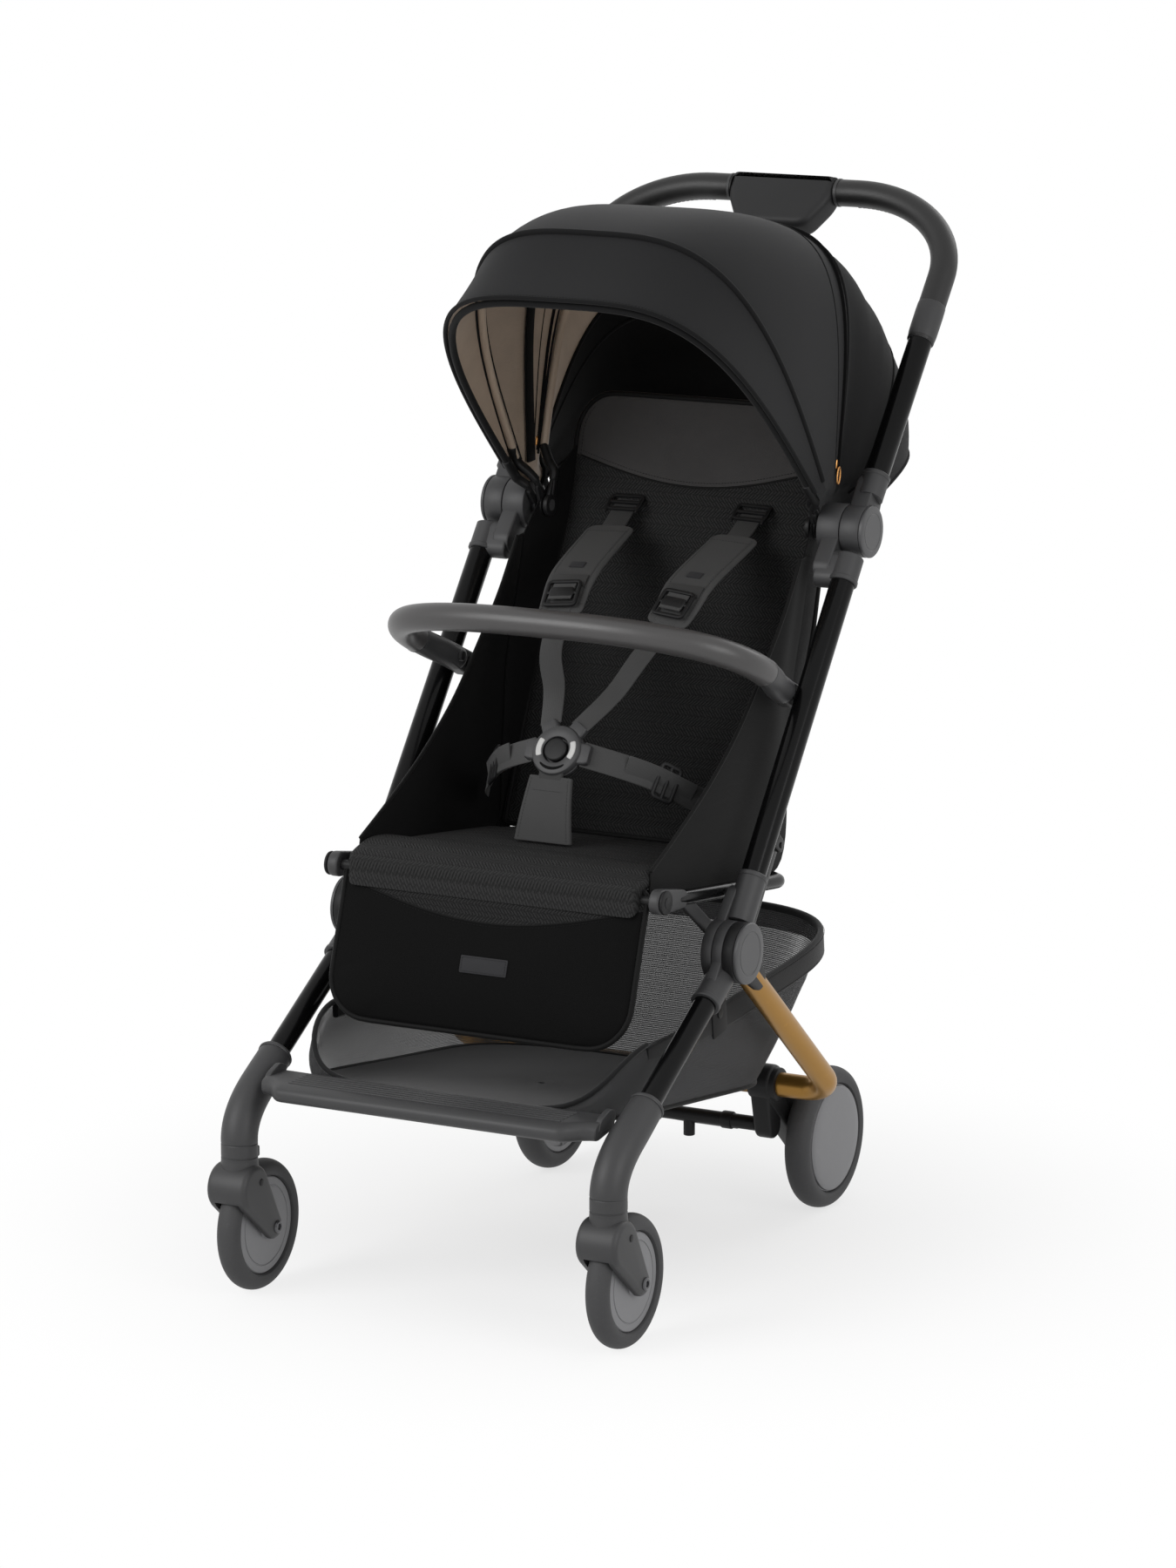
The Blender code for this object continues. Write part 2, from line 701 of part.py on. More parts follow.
def brake_bar():
    end = HOUSING_X[0] - 0.0006
    bar = rod_x(-end, end, BRAKE_AXIS, 0.0075, 24)
    root = polar(BRAKE_AXIS, -20.0, 0.004)
    tip = polar(BRAKE_AXIS, -20.0, 0.060)
    pedal = plate(link_outline(root, 0.0070, tip, 0.0050), 0.010, 0.070)
    bevel(pedal, 0.0020, 1, 50.0)
    peg = rod_between(place(0.040, 0.487, 0.078), place(0.040, 0.487, 0.100), 0.0060, 16)
    join(bar, pedal, peg)
    publish(bar, "brake_bar", BLACK_PLASTIC)
    carry(axis_empty("brake_axis", 0.0, BRAKE_AXIS), bar)


# Push frame
LINK_TOP = polar(LOWER_HINGE, MID_POLAR, 0.130, -0.028)
LINK_END = polar(LOWER_HINGE, MID_POLAR, 0.044, -0.030)
BUMPER_BOSS_X = (0.1795, 0.1935)


def mid_tube(label, side):
    x = side * TUBE_X
    x0, x1 = (side * value for value in PUSH_LAYER)
    hub = rod_x(x0, x1, LOWER_HINGE, LOWER_HUB_R, 24)
    arm_end = polar(LOWER_HINGE, MID_POLAR, TUBE_START + 0.020)
    arm = plate(link_outline(LOWER_HINGE, 0.020, arm_end, 0.0125), *thinner(PUSH_LAYER, side))
    start = polar(LOWER_HINGE, MID_POLAR, TUBE_START)
    sleeve_end = polar(LOWER_HINGE, MID_POLAR, 0.083)
    sleeve = rod_between(place(x, *start), place(x, *sleeve_end), SLEEVE_R)
    tube_start = polar(LOWER_HINGE, MID_POLAR, 0.060)
    collar_start = polar(MID_TOP, MID_POLAR, -0.062)
    tube_end = polar(MID_TOP, MID_POLAR, -0.037)
    tube = rod_between(place(x, *tube_start), place(x, *tube_end), TUBE_R)
    collar = rod_between(place(x, *collar_start), place(x, *tube_end), SLEEVE_R - 0.0003)
    k0, k1 = (side * value for value in INNER_KNUCKLE)
    knuckle = rod_x(k0, k1, UPPER_HINGE, UPPER_HUB_R, 24)
    neck_end = polar(MID_TOP, MID_POLAR, -0.048)
    neck = plate(link_outline(UPPER_HINGE, 0.016, neck_end, 0.0125), side * 0.174, side * 0.1930)
    bridge = plate(link_outline(neck_end, 0.0105, polar(MID_TOP, MID_POLAR, -0.056), 0.0105), side * 0.176, x)
    link_lug_root = polar(LOWER_HINGE, MID_POLAR, 0.130)
    lug = plate(link_outline(link_lug_root, 0.0080, LINK_TOP, 0.0070), side * 0.2072, side * 0.2125)
    seat_stud = rod_x(side * 0.1868, side * 0.1990, SEAT_HINGE, 0.0060, 20)
    boss_pin = rod_x(side * BUMPER_BOSS_X[0], side * 0.1990, BUMPER_PIVOT, 0.0055, 20)
    join(hub, arm, sleeve, tube, collar, knuckle, neck, bridge, lug, seat_stud, boss_pin)
    cut(
        hub,
        rod_x(side * 0.185, side * 0.205, LOWER_HINGE, BORE_R, 12),
        rod_x(side * 0.160, side * 0.195, UPPER_HINGE, BORE_R, 12),
    )
    return publish(hub, f"mid_tube_{label}", BLACK_TUBE)


def fold_link(label, side):
    bar = plate(link_outline(LINK_TOP, 0.0070, LINK_END, 0.0060), side * 0.1990, side * 0.2068)
    publish(bar, f"fold_link_{label}", BLACK_TUBE)
    carry(axis_empty(f"fold_link_axis_{label}", side * 0.203, LINK_TOP), bar)


# Handle frame
def handle_point(x, distance):
    return place(x, *polar(MID_TOP, HANDLE_POLAR, distance))


def upper_tube(label, side):
    x = side * TUBE_X
    x0, x1 = (side * value for value in OUTER_KNUCKLE)
    hub = rod_x(x0, x1, UPPER_HINGE, UPPER_HUB_R, 24)
    neck_end = polar(MID_TOP, HANDLE_POLAR, 0.046)
    neck = plate(link_outline(UPPER_HINGE, 0.017, neck_end, 0.0120), *thinner(OUTER_KNUCKLE, side))
    collar = rod_between(handle_point(x, 0.037), handle_point(x, 0.060), SLEEVE_R - 0.0003)
    tube = rod_between(handle_point(x, 0.040), handle_point(x, GRIP_START - 0.0005), TUBE_R)
    join(hub, neck, collar, tube)
    cut(hub, rod_x(side * 0.185, side * 0.225, UPPER_HINGE, BORE_R, 12))
    return publish(hub, f"upper_tube_{label}", BLACK_TUBE)


def upper_hinge_cap(label, side):
    inner, outer = UPPER_CAP
    reach = MID_FOOT - 0.0026
    profile = [
        (0.0, outer),
        (UPPER_HUB_R - 0.0015, outer),
        (UPPER_HUB_R, outer - 0.0015),
        (UPPER_HUB_R, inner),
        (PIN_R, inner),
        (PIN_R, reach),
        (0.0, reach),
    ]
    cap = turned(profile, place(0.0, *UPPER_HINGE), side, 24, closed=False)
    return publish(cap, f"upper_hinge_cap_{label}", GREY_PLASTIC)


def handle_grip(label, side):
    straight_end = 0.300
    corner_width = TUBE_X - 0.085
    points = [handle_point(side * TUBE_X, GRIP_START), handle_point(side * TUBE_X, 0.262)]
    for i in range(9):
        a = pi / 2 * i / 8
        x = TUBE_X - corner_width * (1 - cos(a))
        points.append(handle_point(side * x, straight_end + (HANDLE_LENGTH - straight_end) * sin(a)))
    points.append(handle_point(side * (HOUSING_HALF + 0.0004), HANDLE_LENGTH))
    return publish(curve_tube(points, GRIP_R, 3), f"handle_grip_{label}", GRIP_LEATHER)


def button_housing():
    half = HOUSING_HALF
    low = HANDLE_LENGTH - 0.050
    top = HANDLE_LENGTH + 0.0125
    outline = [(-half, top), (half, top), (half, HANDLE_LENGTH - 0.016), (half * 0.62, low),
               (-half * 0.62, low), (-half, HANDLE_LENGTH - 0.016)]
    data = bpy.data.curves.new("housing", "CURVE")
    data.dimensions = "2D"
    data.fill_mode = "BOTH"
    data.extrude = 0.0150
    spline = data.splines.new("POLY")
    spline.points.add(len(outline) - 1)
    for knot, (x, s) in zip(spline.points, outline):
        knot.co = (x, s, 0.0, 1.0)
    spline.use_cyclic_u = True
    housing = curve_to_mesh(data)
    tilt = Matrix.Rotation(radians(HANDLE_POLAR), 4, "X")
    origin = Matrix.Translation(place(0.0, *MID_TOP))
    housing.data.transform(origin @ tilt)
    bevel(housing, 0.0060, 2, 40.0)
    pocket = box(-0.0255, 0.0255, 0.0, 0.020, 0.0, 0.02)
    pocket.location = handle_point(0.0, low + 0.004)
    pocket.rotation_euler = (radians(HANDLE_POLAR), 0.0, 0.0)
    cut(housing, pocket)
    publish(housing, "button_housing", GREY_PLASTIC)

    button = box(-0.0245, 0.0245, 0.0, 0.0165, 0.0, 0.017)
    button.location = handle_point(0.0, low + 0.0005)
    button.rotation_euler = (radians(HANDLE_POLAR), 0.0, 0.0)
    bevel(button, 0.0025, 1)
    publish(button, "fold_button", BLACK_PLASTIC)
    return housing, button


# Canopy
def hoop_point(hoop, turn, foot):
    """Point on a hoop, turn from 0 at the right foot to 180 at the left foot. Its feet are drawn in."""
    angle, radius, half, power = hoop
    a = radians(turn)
    size = (abs(cos(a)) ** power + abs(sin(a)) ** power) ** (-1 / power)
    reach = radius * sin(a) * size
    neck = foot + 0.8 * max(0.0, reach - 0.036)
    x = max(-neck, min(neck, half * cos(a) * size))
    return place(x, *polar(UPPER_HINGE, angle, reach))


def hoop_bow(name, hoop, foot):
    """Wire hoop with a flat eye on each upper hinge pin."""
    turns = [2.0, 5.4, 9.0] + [16.0 + 148.0 * i / 11 for i in range(12)] + [171.0, 174.6, 178.0]
    points = [hoop_point(hoop, turn, foot) for turn in turns]
    wire = curve_tube(points, HOOP_R, 1)
    eyes = []
    for _, side in SIDES:
        eyes.append(rod_x(side * (foot - 0.0025), side * (foot + 0.0025), UPPER_HINGE, 0.0120, 16))
        arm_end = polar(UPPER_HINGE, hoop[0], 0.022)
        arm = plate(link_outline(UPPER_HINGE, 0.0086, arm_end, 0.0047, 4), side * (foot - 0.0021),
                    side * (foot + 0.0021))
        eyes.append(arm)
    join(wire, *eyes)
    cut(wire, *[rod_x(side * 0.14, side * 0.18, UPPER_HINGE, BORE_R, 12) for _, side in SIDES])
    publish(wire, name, BLACK_PLASTIC)
    return wire


def blend_hoops(first, last, t):
    return tuple(a + (b - a) * t for a, b in zip(first, last))


def canopy_panel(name, hoops, crown, look):
    """Fabric panel stretched over hoops, drawn in a little between them."""
    turns = [10.0 + 160.0 * i / 18 for i in range(19)]
    rows = []
    for hoop, lift in hoops:
        angle, radius, half, power = hoop
        grown = (angle, radius + 0.0085 + crown * lift, half + 0.0056, power)
        rows.append([hoop_point(grown, turn, 0.1780) for turn in turns])
    panel = sheet(rows, COVER_THICKNESS)
    return publish(panel, name, look)


REAR_HOOPS = [(73.5, 0.286, 0.1660, 5.0), (60.0, 0.268, 0.1740, 4.8), (46.0, 0.250, 0.1800, 5.0),
              (32.0, 0.230, 0.1840, 5.5), (17.0, 0.210, 0.1820, 6.0)]


def canopy(handle_axis):
    feet = {"canopy_mid_bow": (MID_HOOP, MID_FOOT), "canopy_front_bow": (FRONT_HOOP, FRONT_FOOT),
            "canopy_visor_bow": (VISOR_HOOP, VISOR_FOOT)}
    bows = {name: hoop_bow(name, hoop, foot) for name, (hoop, foot) in feet.items()}
    main = [(blend_hoops(MID_HOOP, FRONT_HOOP, t), sin(pi * t)) for t in (0.03, 0.3, 0.5, 0.7, 0.97)]
    canopy_panel("canopy_front_cover", main, -0.003, CANOPY_FABRIC)
    brim = [(blend_hoops(FRONT_HOOP, VISOR_HOOP, t), sin(pi * t)) for t in (0.06, 0.3, 0.5, 0.75, 1.0)]
    canopy_panel("canopy_visor_cover", brim, -0.002, CANOPY_FABRIC)
    rear = [(hoop, 0.0) for hoop in REAR_HOOPS]
    canopy_panel("canopy_rear_cover", rear, 0.0, CANOPY_FABRIC)
    for name, bow in bows.items():
        empty = axis_empty(f"{name}_axis", 0.0, UPPER_HINGE)
        carry(empty, bow)
        carry(handle_axis, empty)


# Bumper bar
def bumper_point(x, distance):
    return place(x, *polar(BUMPER_PIVOT, BUMPER_POLAR, distance))


def bumper_bar():
    points = [bumper_point(0.1865, 0.022), bumper_point(0.1885, 0.040), bumper_point(0.1945, 0.062)]
    start = 0.085
    for i in range(9):
        a = pi / 2 * i / 8
        x = BUMPER_HALF * cos(a) ** 0.75 if i < 8 else 0.0
        points.append(bumper_point(x, start + (BUMPER_REACH - start) * sin(a) ** 0.75))
    mirrored = [Vector((-p.x, p.y, p.z)) for p in reversed(points[:-1])]
    bar = curve_tube(points + mirrored, BUMPER_R, 2)
    extras = []
    for _, side in SIDES:
        x0, x1 = (side * value for value in BUMPER_BOSS_X)
        inner = side * (BUMPER_BOSS_X[0] - 0.0020)
        end = polar(BUMPER_PIVOT, BUMPER_POLAR, 0.032)
        extras.append(plate(link_outline(BUMPER_PIVOT, 0.0125, end, 0.0110), inner, x1))
    join(bar, *extras)
    cuts = []
    for _, side in SIDES:
        cuts.append(rod_x(side * 0.1780, side * 0.20, BUMPER_PIVOT, 0.0060, 20))
        button_at = polar(BUMPER_PIVOT, BUMPER_POLAR, 0.030)
        cuts.append(rod_x(side * 0.165, side * 0.1812, button_at, 0.0060, 16))
    cut(bar, *cuts)
    publish(bar, "bumper_bar", GRIP_LEATHER)
    axis = axis_empty("bumper_axis", 0.0, BUMPER_PIVOT)
    carry(axis, bar)
    for label, side in SIDES:
        button_at = polar(BUMPER_PIVOT, BUMPER_POLAR, 0.030)
        button = rod_x(side * 0.1700, side * 0.1780, button_at, 0.0055, 16)
        publish(button, f"bumper_button_{label}", BLACK_PLASTIC)
        carry(axis, button)
    return axis


# Seat
SEAT_SLOPE = degrees(atan2(SEAT_REAR[1] - CALF_HINGE[1], SEAT_REAR[0] - CALF_HINGE[0]))
PAD_UP = Vector((0.0, -sin(radians(SEAT_SLOPE)), cos(radians(SEAT_SLOPE))))


def seat_point(x, distance, height=0.0):
    return place(x, *polar(CALF_HINGE, SEAT_SLOPE, distance, height))


def seat_frame():
    rear = sqrt((SEAT_REAR[0] - CALF_HINGE[0]) ** 2 + (SEAT_REAR[1] - CALF_HINGE[1]) ** 2)
    front = 0.030
    path = [(SEAT_TUBE_X, front), (SEAT_TUBE_X, 0.150), (SEAT_TUBE_X, rear - 0.020),
            (SEAT_TUBE_X - 0.008, rear - 0.006), (SEAT_TUBE_X - 0.022, rear)]
    path += [(-x, s) for x, s in reversed(path)]
    path += [(-SEAT_TUBE_X + 0.010, front - 0.004), (SEAT_TUBE_X - 0.010, front - 0.004)]
    loop = curve_tube([seat_point(x, s) for x, s in path], SEAT_TUBE_R, 2, cyclic=True)
    extras = []
    for _, side in SIDES:
        fork_end = polar(CALF_HINGE, SEAT_SLOPE, front + 0.012)
        x0, x1 = side * 0.1735, side * 0.1848
        extras.append(plate(link_outline(CALF_HINGE, 0.0125, fork_end, 0.0093), x0, x1))
        strut_top = polar(CALF_HINGE, SEAT_SLOPE, 0.052)
        strut_end = (0.272, 0.352)
        extras.append(plate(link_outline(strut_top, 0.0070, strut_end, 0.0070), side * 0.1743, side * 0.1792))
    join(loop, *extras)
    cut(loop, *[rod_x(side * 0.160, side * 0.195, CALF_HINGE, 0.0056, 16) for _, side in SIDES])
    publish(loop, "seat_frame", BLACK_TUBE)
    return loop


def seat_pad():
    along = (seat_point(0.0, 1.0) - seat_point(0.0, 0.0)).normalized()
    origin = seat_point(0.0, 0.0145, 0.0185)
    cushion = pad(origin, along, PAD_UP, 0.262, PAD_HALF, 0.0130, 0.0090, 9, 10)
    return publish(cushion, "seat_pad", SEAT_FABRIC)


CALF_POLAR = 252.0
CALF_LENGTH = 0.150


def calf_rest():
    start = place(0.0, *polar(CALF_HINGE, CALF_POLAR, -0.010))
    tip = place(0.0, *polar(CALF_HINGE, CALF_POLAR, CALF_LENGTH))
    along = (tip - start).normalized()
    up = Vector((0.0, -sin(radians(CALF_POLAR - 180.0)), cos(radians(CALF_POLAR - 180.0))))

    def rounded(a):
        tail = max(0.0, a - 0.45) / 0.55
        return 1.0 - 0.20 * tail ** 3

    panel = pad(start, along, up, (tip - start).length, 0.1680, 0.0095, 0.0085, 8, 10, 6.0, rounded)
    stubs = [rod_x(side * 0.1500, side * 0.1875, CALF_HINGE, 0.0050, 16) for _, side in SIDES]
    knobs = [rod_x(side * 0.1855, side * 0.1885, CALF_HINGE, 0.0120, 20) for _, side in SIDES]
    join(panel, *stubs, *knobs)
    publish(panel, "calf_rest", SEAT_FABRIC)
    carry(axis_empty("calf_axis", 0.0, CALF_HINGE), panel)
    return panel


BACK_UP = Vector((0.0, -sin(radians(BACK_POLAR)), cos(radians(BACK_POLAR))))


def backrest():
    start = place(0.0, *BACK_HINGE)
    tip = place(0.0, *polar(BACK_HINGE, BACK_POLAR, BACK_LENGTH))
    along = (tip - start).normalized()

    def rounded(a):
        tail = max(0.0, a - 0.70) / 0.30
        return 1.0 - 0.10 * max(0.0, a) - 0.10 * tail ** 3

    def header(a):
        return 0.040 * (max(0.0, a - 0.30) / 0.70) ** 1.5

    panel = pad(start, along, BACK_UP, BACK_LENGTH, BACK_HALF, 0.0100, 0.0090, 12, 10, 6.0, rounded, header)
    publish(panel, "backrest", SEAT_FABRIC)
    carry(axis_empty("recline_axis", 0.0, BACK_HINGE), panel)
    return panel


def side_panel(label, side):
    outline = [(0.170, 0.440), (0.300, 0.420), (0.420, 0.4150), (0.470, 0.560), (0.508, 0.690),
               (0.485, 0.685), (0.405, 0.585), (0.290, 0.495)]
    panel = plate(outline, side * (PANEL_X - 0.0008), side * (PANEL_X + 0.0008))
    return publish(panel, f"side_panel_{label}", SEAT_FABRIC)


# Harness
CROTCH_ROOT = (0.246, 0.432)
BUCKLE_CENTRE = (0.278, 0.516)
BUCKLE_POLAR = 148.0
BUCKLE_R = 0.0270


def buckle_point(x, up_along, outwards):
    return place(x, *polar(BUCKLE_CENTRE, BUCKLE_POLAR, outwards, -up_along))


def harness_buckle():
    back = buckle_point(0.0, 0.0, -0.0070)
    front = buckle_point(0.0, 0.0, 0.0070)
    body = rod_between(back, front, BUCKLE_R, 28)
    bevel(body, 0.0020, 1, 50.0)
    pocket = rod_between(buckle_point(0.0, 0.0, 0.0005), buckle_point(0.0, 0.0, 0.02), 0.0125, 20)
    cut(body, pocket)
    publish(body, "harness_buckle", BLACK_PLASTIC)
    button = rod_between(buckle_point(0.0, 0.0, 0.0035), buckle_point(0.0, 0.0, 0.0090), 0.0120, 20)
    bevel(button, 0.0012, 1, 50.0)
    publish(button, "buckle_button", GREY_PLASTIC)
    axis = axis_empty("harness_axis", 0.0, CROTCH_ROOT)
    carry(axis, body, button)


def strap(name, points, width_axis, widths, thickness):
    """Flat strap: a ribbon along points, with a width along width_axis for each point."""
    rows = [[p - width_axis * (width / 2), p + width_axis * (width / 2)] for p, width in zip(points, widths)]
    return publish(sheet(rows, thickness), name, WEBBING)


def harness_straps():
    across = Vector((1.0, 0.0, 0.0))
    for label, side in SIDES:
        slot = place(side * 0.073, *polar(BACK_HINGE, BACK_POLAR, 0.335, 0.0185))
        chest = place(side * 0.060, 0.462, 0.640)
        waist = place(side * 0.034, 0.335, 0.565)
        lead = (slot - chest).normalized()
        out = across - lead * across.dot(lead)
        end = buckle_point(side * 0.0165, BUCKLE_R * 0.86 + 0.0055, 0.0)
        widths = (0.040, 0.040, 0.038, 0.024)
        strap(f"shoulder_strap_{label}", [slot, chest, waist, end], out.normalized(), widths, 0.0050)
        hip = place(side * 0.150, 0.372, 0.452)
        hook = buckle_point(side * (BUCKLE_R + 0.0015), 0.0, 0.0)
        belly = place(side * 0.085, 0.315, 0.492)
        upright = Vector((0.0, 0.35, 0.94)).normalized()
        strap(f"waist_strap_{label}", [hip, belly, hook], upright, (0.026,) * 3, 0.0030)
    root = place(0.0, *CROTCH_ROOT)
    end = buckle_point(0.0, -BUCKLE_R - 0.0015, 0.0)
    strap("crotch_strap", [root, (root + end) / 2, end], across, (0.046,) * 3, 0.0060)


def build():
    for label, side in SIDES:
        front_leg(label, side)
        front_shoe(label, side)
        lower_hinge_cap(label, side)
        caster(label, side)
    footrest_board()
    storage_basket()

    rear_axis = axis_empty("rear_fold_axis", 0.0, LOWER_HINGE)
    carry(rear_axis, rear_frame_tube(), *[rear_housing(label, side) for label, side in SIDES])
    for label, side in SIDES:
        rear_wheel(label, side)
    brake_bar()

    push_axis = axis_empty("fold_axis", 0.0, LOWER_HINGE)
    for label, side in SIDES:
        carry(push_axis, mid_tube(label, side))
        fold_link(label, side)

    handle_axis = axis_empty("handle_fold_axis", 0.0, UPPER_HINGE)
    for label, side in SIDES:
        carry(handle_axis, upper_tube(label, side), upper_hinge_cap(label, side), handle_grip(label, side))
    carry(handle_axis, *button_housing())
    canopy(handle_axis)
    bumper_bar()

    seat_axis = axis_empty("seat_fold_axis", 0.0, SEAT_HINGE)
    carry(seat_axis, seat_frame(), seat_pad())
    calf_rest()
    backrest()
    for label, side in SIDES:
        side_panel(label, side)
    harness_buckle()
    harness_straps()


build()
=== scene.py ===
"""Looks of a compact folding stroller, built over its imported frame.

Lengths are metres. The floor is z = 0, the child faces -Y and +X is the right side. Side view points are
(y, z), with y measured from the front swivel axis, and at() moves them into the frame of the object.
"""

import json
from math import atan2, cos, degrees, pi, radians, sin, sqrt

import bmesh
import bpy
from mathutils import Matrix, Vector
from mathutils.bvhtree import BVHTree

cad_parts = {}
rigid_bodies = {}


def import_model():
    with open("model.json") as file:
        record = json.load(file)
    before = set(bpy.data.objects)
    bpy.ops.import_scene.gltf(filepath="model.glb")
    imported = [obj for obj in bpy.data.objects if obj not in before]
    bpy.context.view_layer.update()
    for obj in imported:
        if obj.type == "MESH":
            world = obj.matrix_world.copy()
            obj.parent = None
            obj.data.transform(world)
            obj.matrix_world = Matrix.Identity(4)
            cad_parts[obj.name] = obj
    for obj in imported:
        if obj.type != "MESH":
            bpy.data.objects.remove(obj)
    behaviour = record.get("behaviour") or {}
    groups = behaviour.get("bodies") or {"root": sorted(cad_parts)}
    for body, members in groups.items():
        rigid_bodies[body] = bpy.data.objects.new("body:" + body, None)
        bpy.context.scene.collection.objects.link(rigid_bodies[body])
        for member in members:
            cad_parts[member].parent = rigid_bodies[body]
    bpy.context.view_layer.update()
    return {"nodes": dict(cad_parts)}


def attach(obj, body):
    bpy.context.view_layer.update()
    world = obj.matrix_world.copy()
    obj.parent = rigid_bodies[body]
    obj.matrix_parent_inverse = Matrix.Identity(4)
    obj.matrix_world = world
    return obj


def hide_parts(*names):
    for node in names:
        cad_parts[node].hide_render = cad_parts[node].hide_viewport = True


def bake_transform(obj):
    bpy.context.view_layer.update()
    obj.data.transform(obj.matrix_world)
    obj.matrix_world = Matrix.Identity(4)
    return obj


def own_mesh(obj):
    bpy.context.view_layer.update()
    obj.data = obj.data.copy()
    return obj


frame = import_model()

bl_info = {
    "name": "Compact stroller",
    "version": (1, 0, 0),
    "blender": (4, 5, 0),
    "location": "3D View > Sidebar > Stroller",
    "description": "Builds the fabric, tubes, wheels and mouldings of a compact folding stroller",
    "category": "Object",
}


# Sizes that repeat the frame. A polar is the side view angle of a part, a pair a side view point, and a
# hoop its angle, height, half width and power
Y_CENTRE = 0.3830
SIDES = (("right", 1), ("left", -1))
TUBE_X = 0.207
TUBE_R = 0.0125
SLEEVE_R = 0.0145
BASKET_FRONT = 0.046
CASTER_X = 0.2045
CASTER_AXLE = (0.033, 0.0655)
REAR_X = 0.1595
REAR_AXLE = (0.561, 0.074)
LOWER_HINGE = (0.247, 0.343)
MID_POLAR = 53.0
HANDLE_POLAR = 51.0
REAR_POLAR = 320.0
FRONT_POLAR = 211.3
FRONT_OFFSET = 0.008
HANDLE_LENGTH = 0.395
CALF_HINGE = (0.150, 0.409)
SEAT_REAR = (0.425, 0.376)
BACK_HINGE = (0.446, 0.397)
BACK_POLAR = 67.5
BACK_LENGTH = 0.462
BACK_SHOWN = 0.453
HEAD_SEAM = (0.392, -0.027, 0.145)
CALF_POLAR = 252.0
BUMPER_PIVOT = (0.417, 0.5665)
BUMPER_POLAR = 154.5
BUCKLE_CENTRE = (0.278, 0.516)
BUCKLE_POLAR = 148.0
BUCKLE_R = 0.0270
MID_HOOP = (75.0, 0.2860, 0.1660, 5.0)
FRONT_HOOP = (122.0, 0.3530, 0.1730, 3.45)
VISOR_HOOP = (136.7, 0.3560, 0.1715, 3.8)
REAR_HOOPS = [(73.5, 0.2860, 0.1660, 5.0), (60.0, 0.268, 0.1740, 4.8), (46.0, 0.250, 0.1800, 5.0),
              (32.0, 0.230, 0.1840, 5.5), (17.0, 0.210, 0.1820, 6.0)]
ACROSS = Vector((1.0, 0.0, 0.0))
# Name of a bow: its hoop and the x of its hinge ends
CANOPY_BOWS = {"mid": (MID_HOOP, 0.1504), "front": (FRONT_HOOP, 0.1572), "visor": (VISOR_HOOP, 0.1640)}
CLOTH_FOOT = 0.1690
UP = Vector((0.0, 0.0, 1.0))
HUB_R = 0.0305
HUB_ARM_R = 0.021
UPPER_HUB_R = 0.0265
PUSH_LENGTH = 0.4725
LINK_HEIGHT = 0.130
LEATHER_UP = Vector((0, -0.3, 1))
BRAKE_AXIS = (0.487, 0.100)
BRAKE_SLOPE = -20.0
# Insides that the faces of the cloth turn away from
CANOPY_HEART = Vector((0.0, 0.50 - Y_CENTRE, 0.80))
SEAT_HEART = Vector((0.0, 0.40 - Y_CENTRE, 0.50))
# Side view of a side panel's two edges
PANEL_FRONT = ((0.166, 0.434), (0.225, 0.462), (0.290, 0.497), (0.352, 0.540), (0.405, 0.590),
               (0.452, 0.640), (0.488, 0.690))
PANEL_BACK = ((0.162, 0.412), (0.300, 0.3940), (0.440, 0.3840), (0.462, 0.480), (0.470, 0.560),
              (0.492, 0.630), (0.510, 0.692))
COVER_THICKNESS = 0.0015
SEAM_LIFT = 0.0002
PUFF_FRAMES = 20


def at(x, y, z):
    """A point measured from the front swivel axis, in the frame of the object."""
    return Vector((x, y - Y_CENTRE, z))


def polar(origin, angle, distance, offset=0.0):
    """Side view point: distance along the angle, offset to the left of it."""
    a = radians(angle)
    return (origin[0] + distance * cos(a) - offset * sin(a), origin[1] + distance * sin(a) + offset * cos(a))


MID_TOP = polar(LOWER_HINGE, MID_POLAR, PUSH_LENGTH)
UPPER_HINGE = polar(MID_TOP, MID_POLAR, 0.0, -0.007)
SEAT_HINGE = polar(LOWER_HINGE, MID_POLAR, 0.054)
REAR_CROSS = polar(LOWER_HINGE, REAR_POLAR, 0.305)
SEAT_SLOPE = degrees(atan2(SEAT_REAR[1] - CALF_HINGE[1], SEAT_REAR[0] - CALF_HINGE[0]))
HANDLE_LIFT = (at(0, *polar(MID_TOP, HANDLE_POLAR, 0, 1.0)) - at(0, *MID_TOP)).normalized()


def linear(level):
    """Light level of an 8 bit screen value."""
    level /= 255.0
    return level / 12.92 if level <= 0.04045 else ((level + 0.055) / 1.055) ** 2.4


def tone(r, g, b):
    """Colour from 8 bit screen values."""
    return (linear(r), linear(g), linear(b))


# Shader graphs
def arithmetic(operation, turned=False):
    """Method of a wire that adds one math node. Turned puts the wire last."""
    def method(self, *others):
        inputs = (*others, self) if turned else (self, *others)
        return self.graph.add("ShaderNodeMath", {"operation": operation}, dict(enumerate(inputs)))[0]
    return method


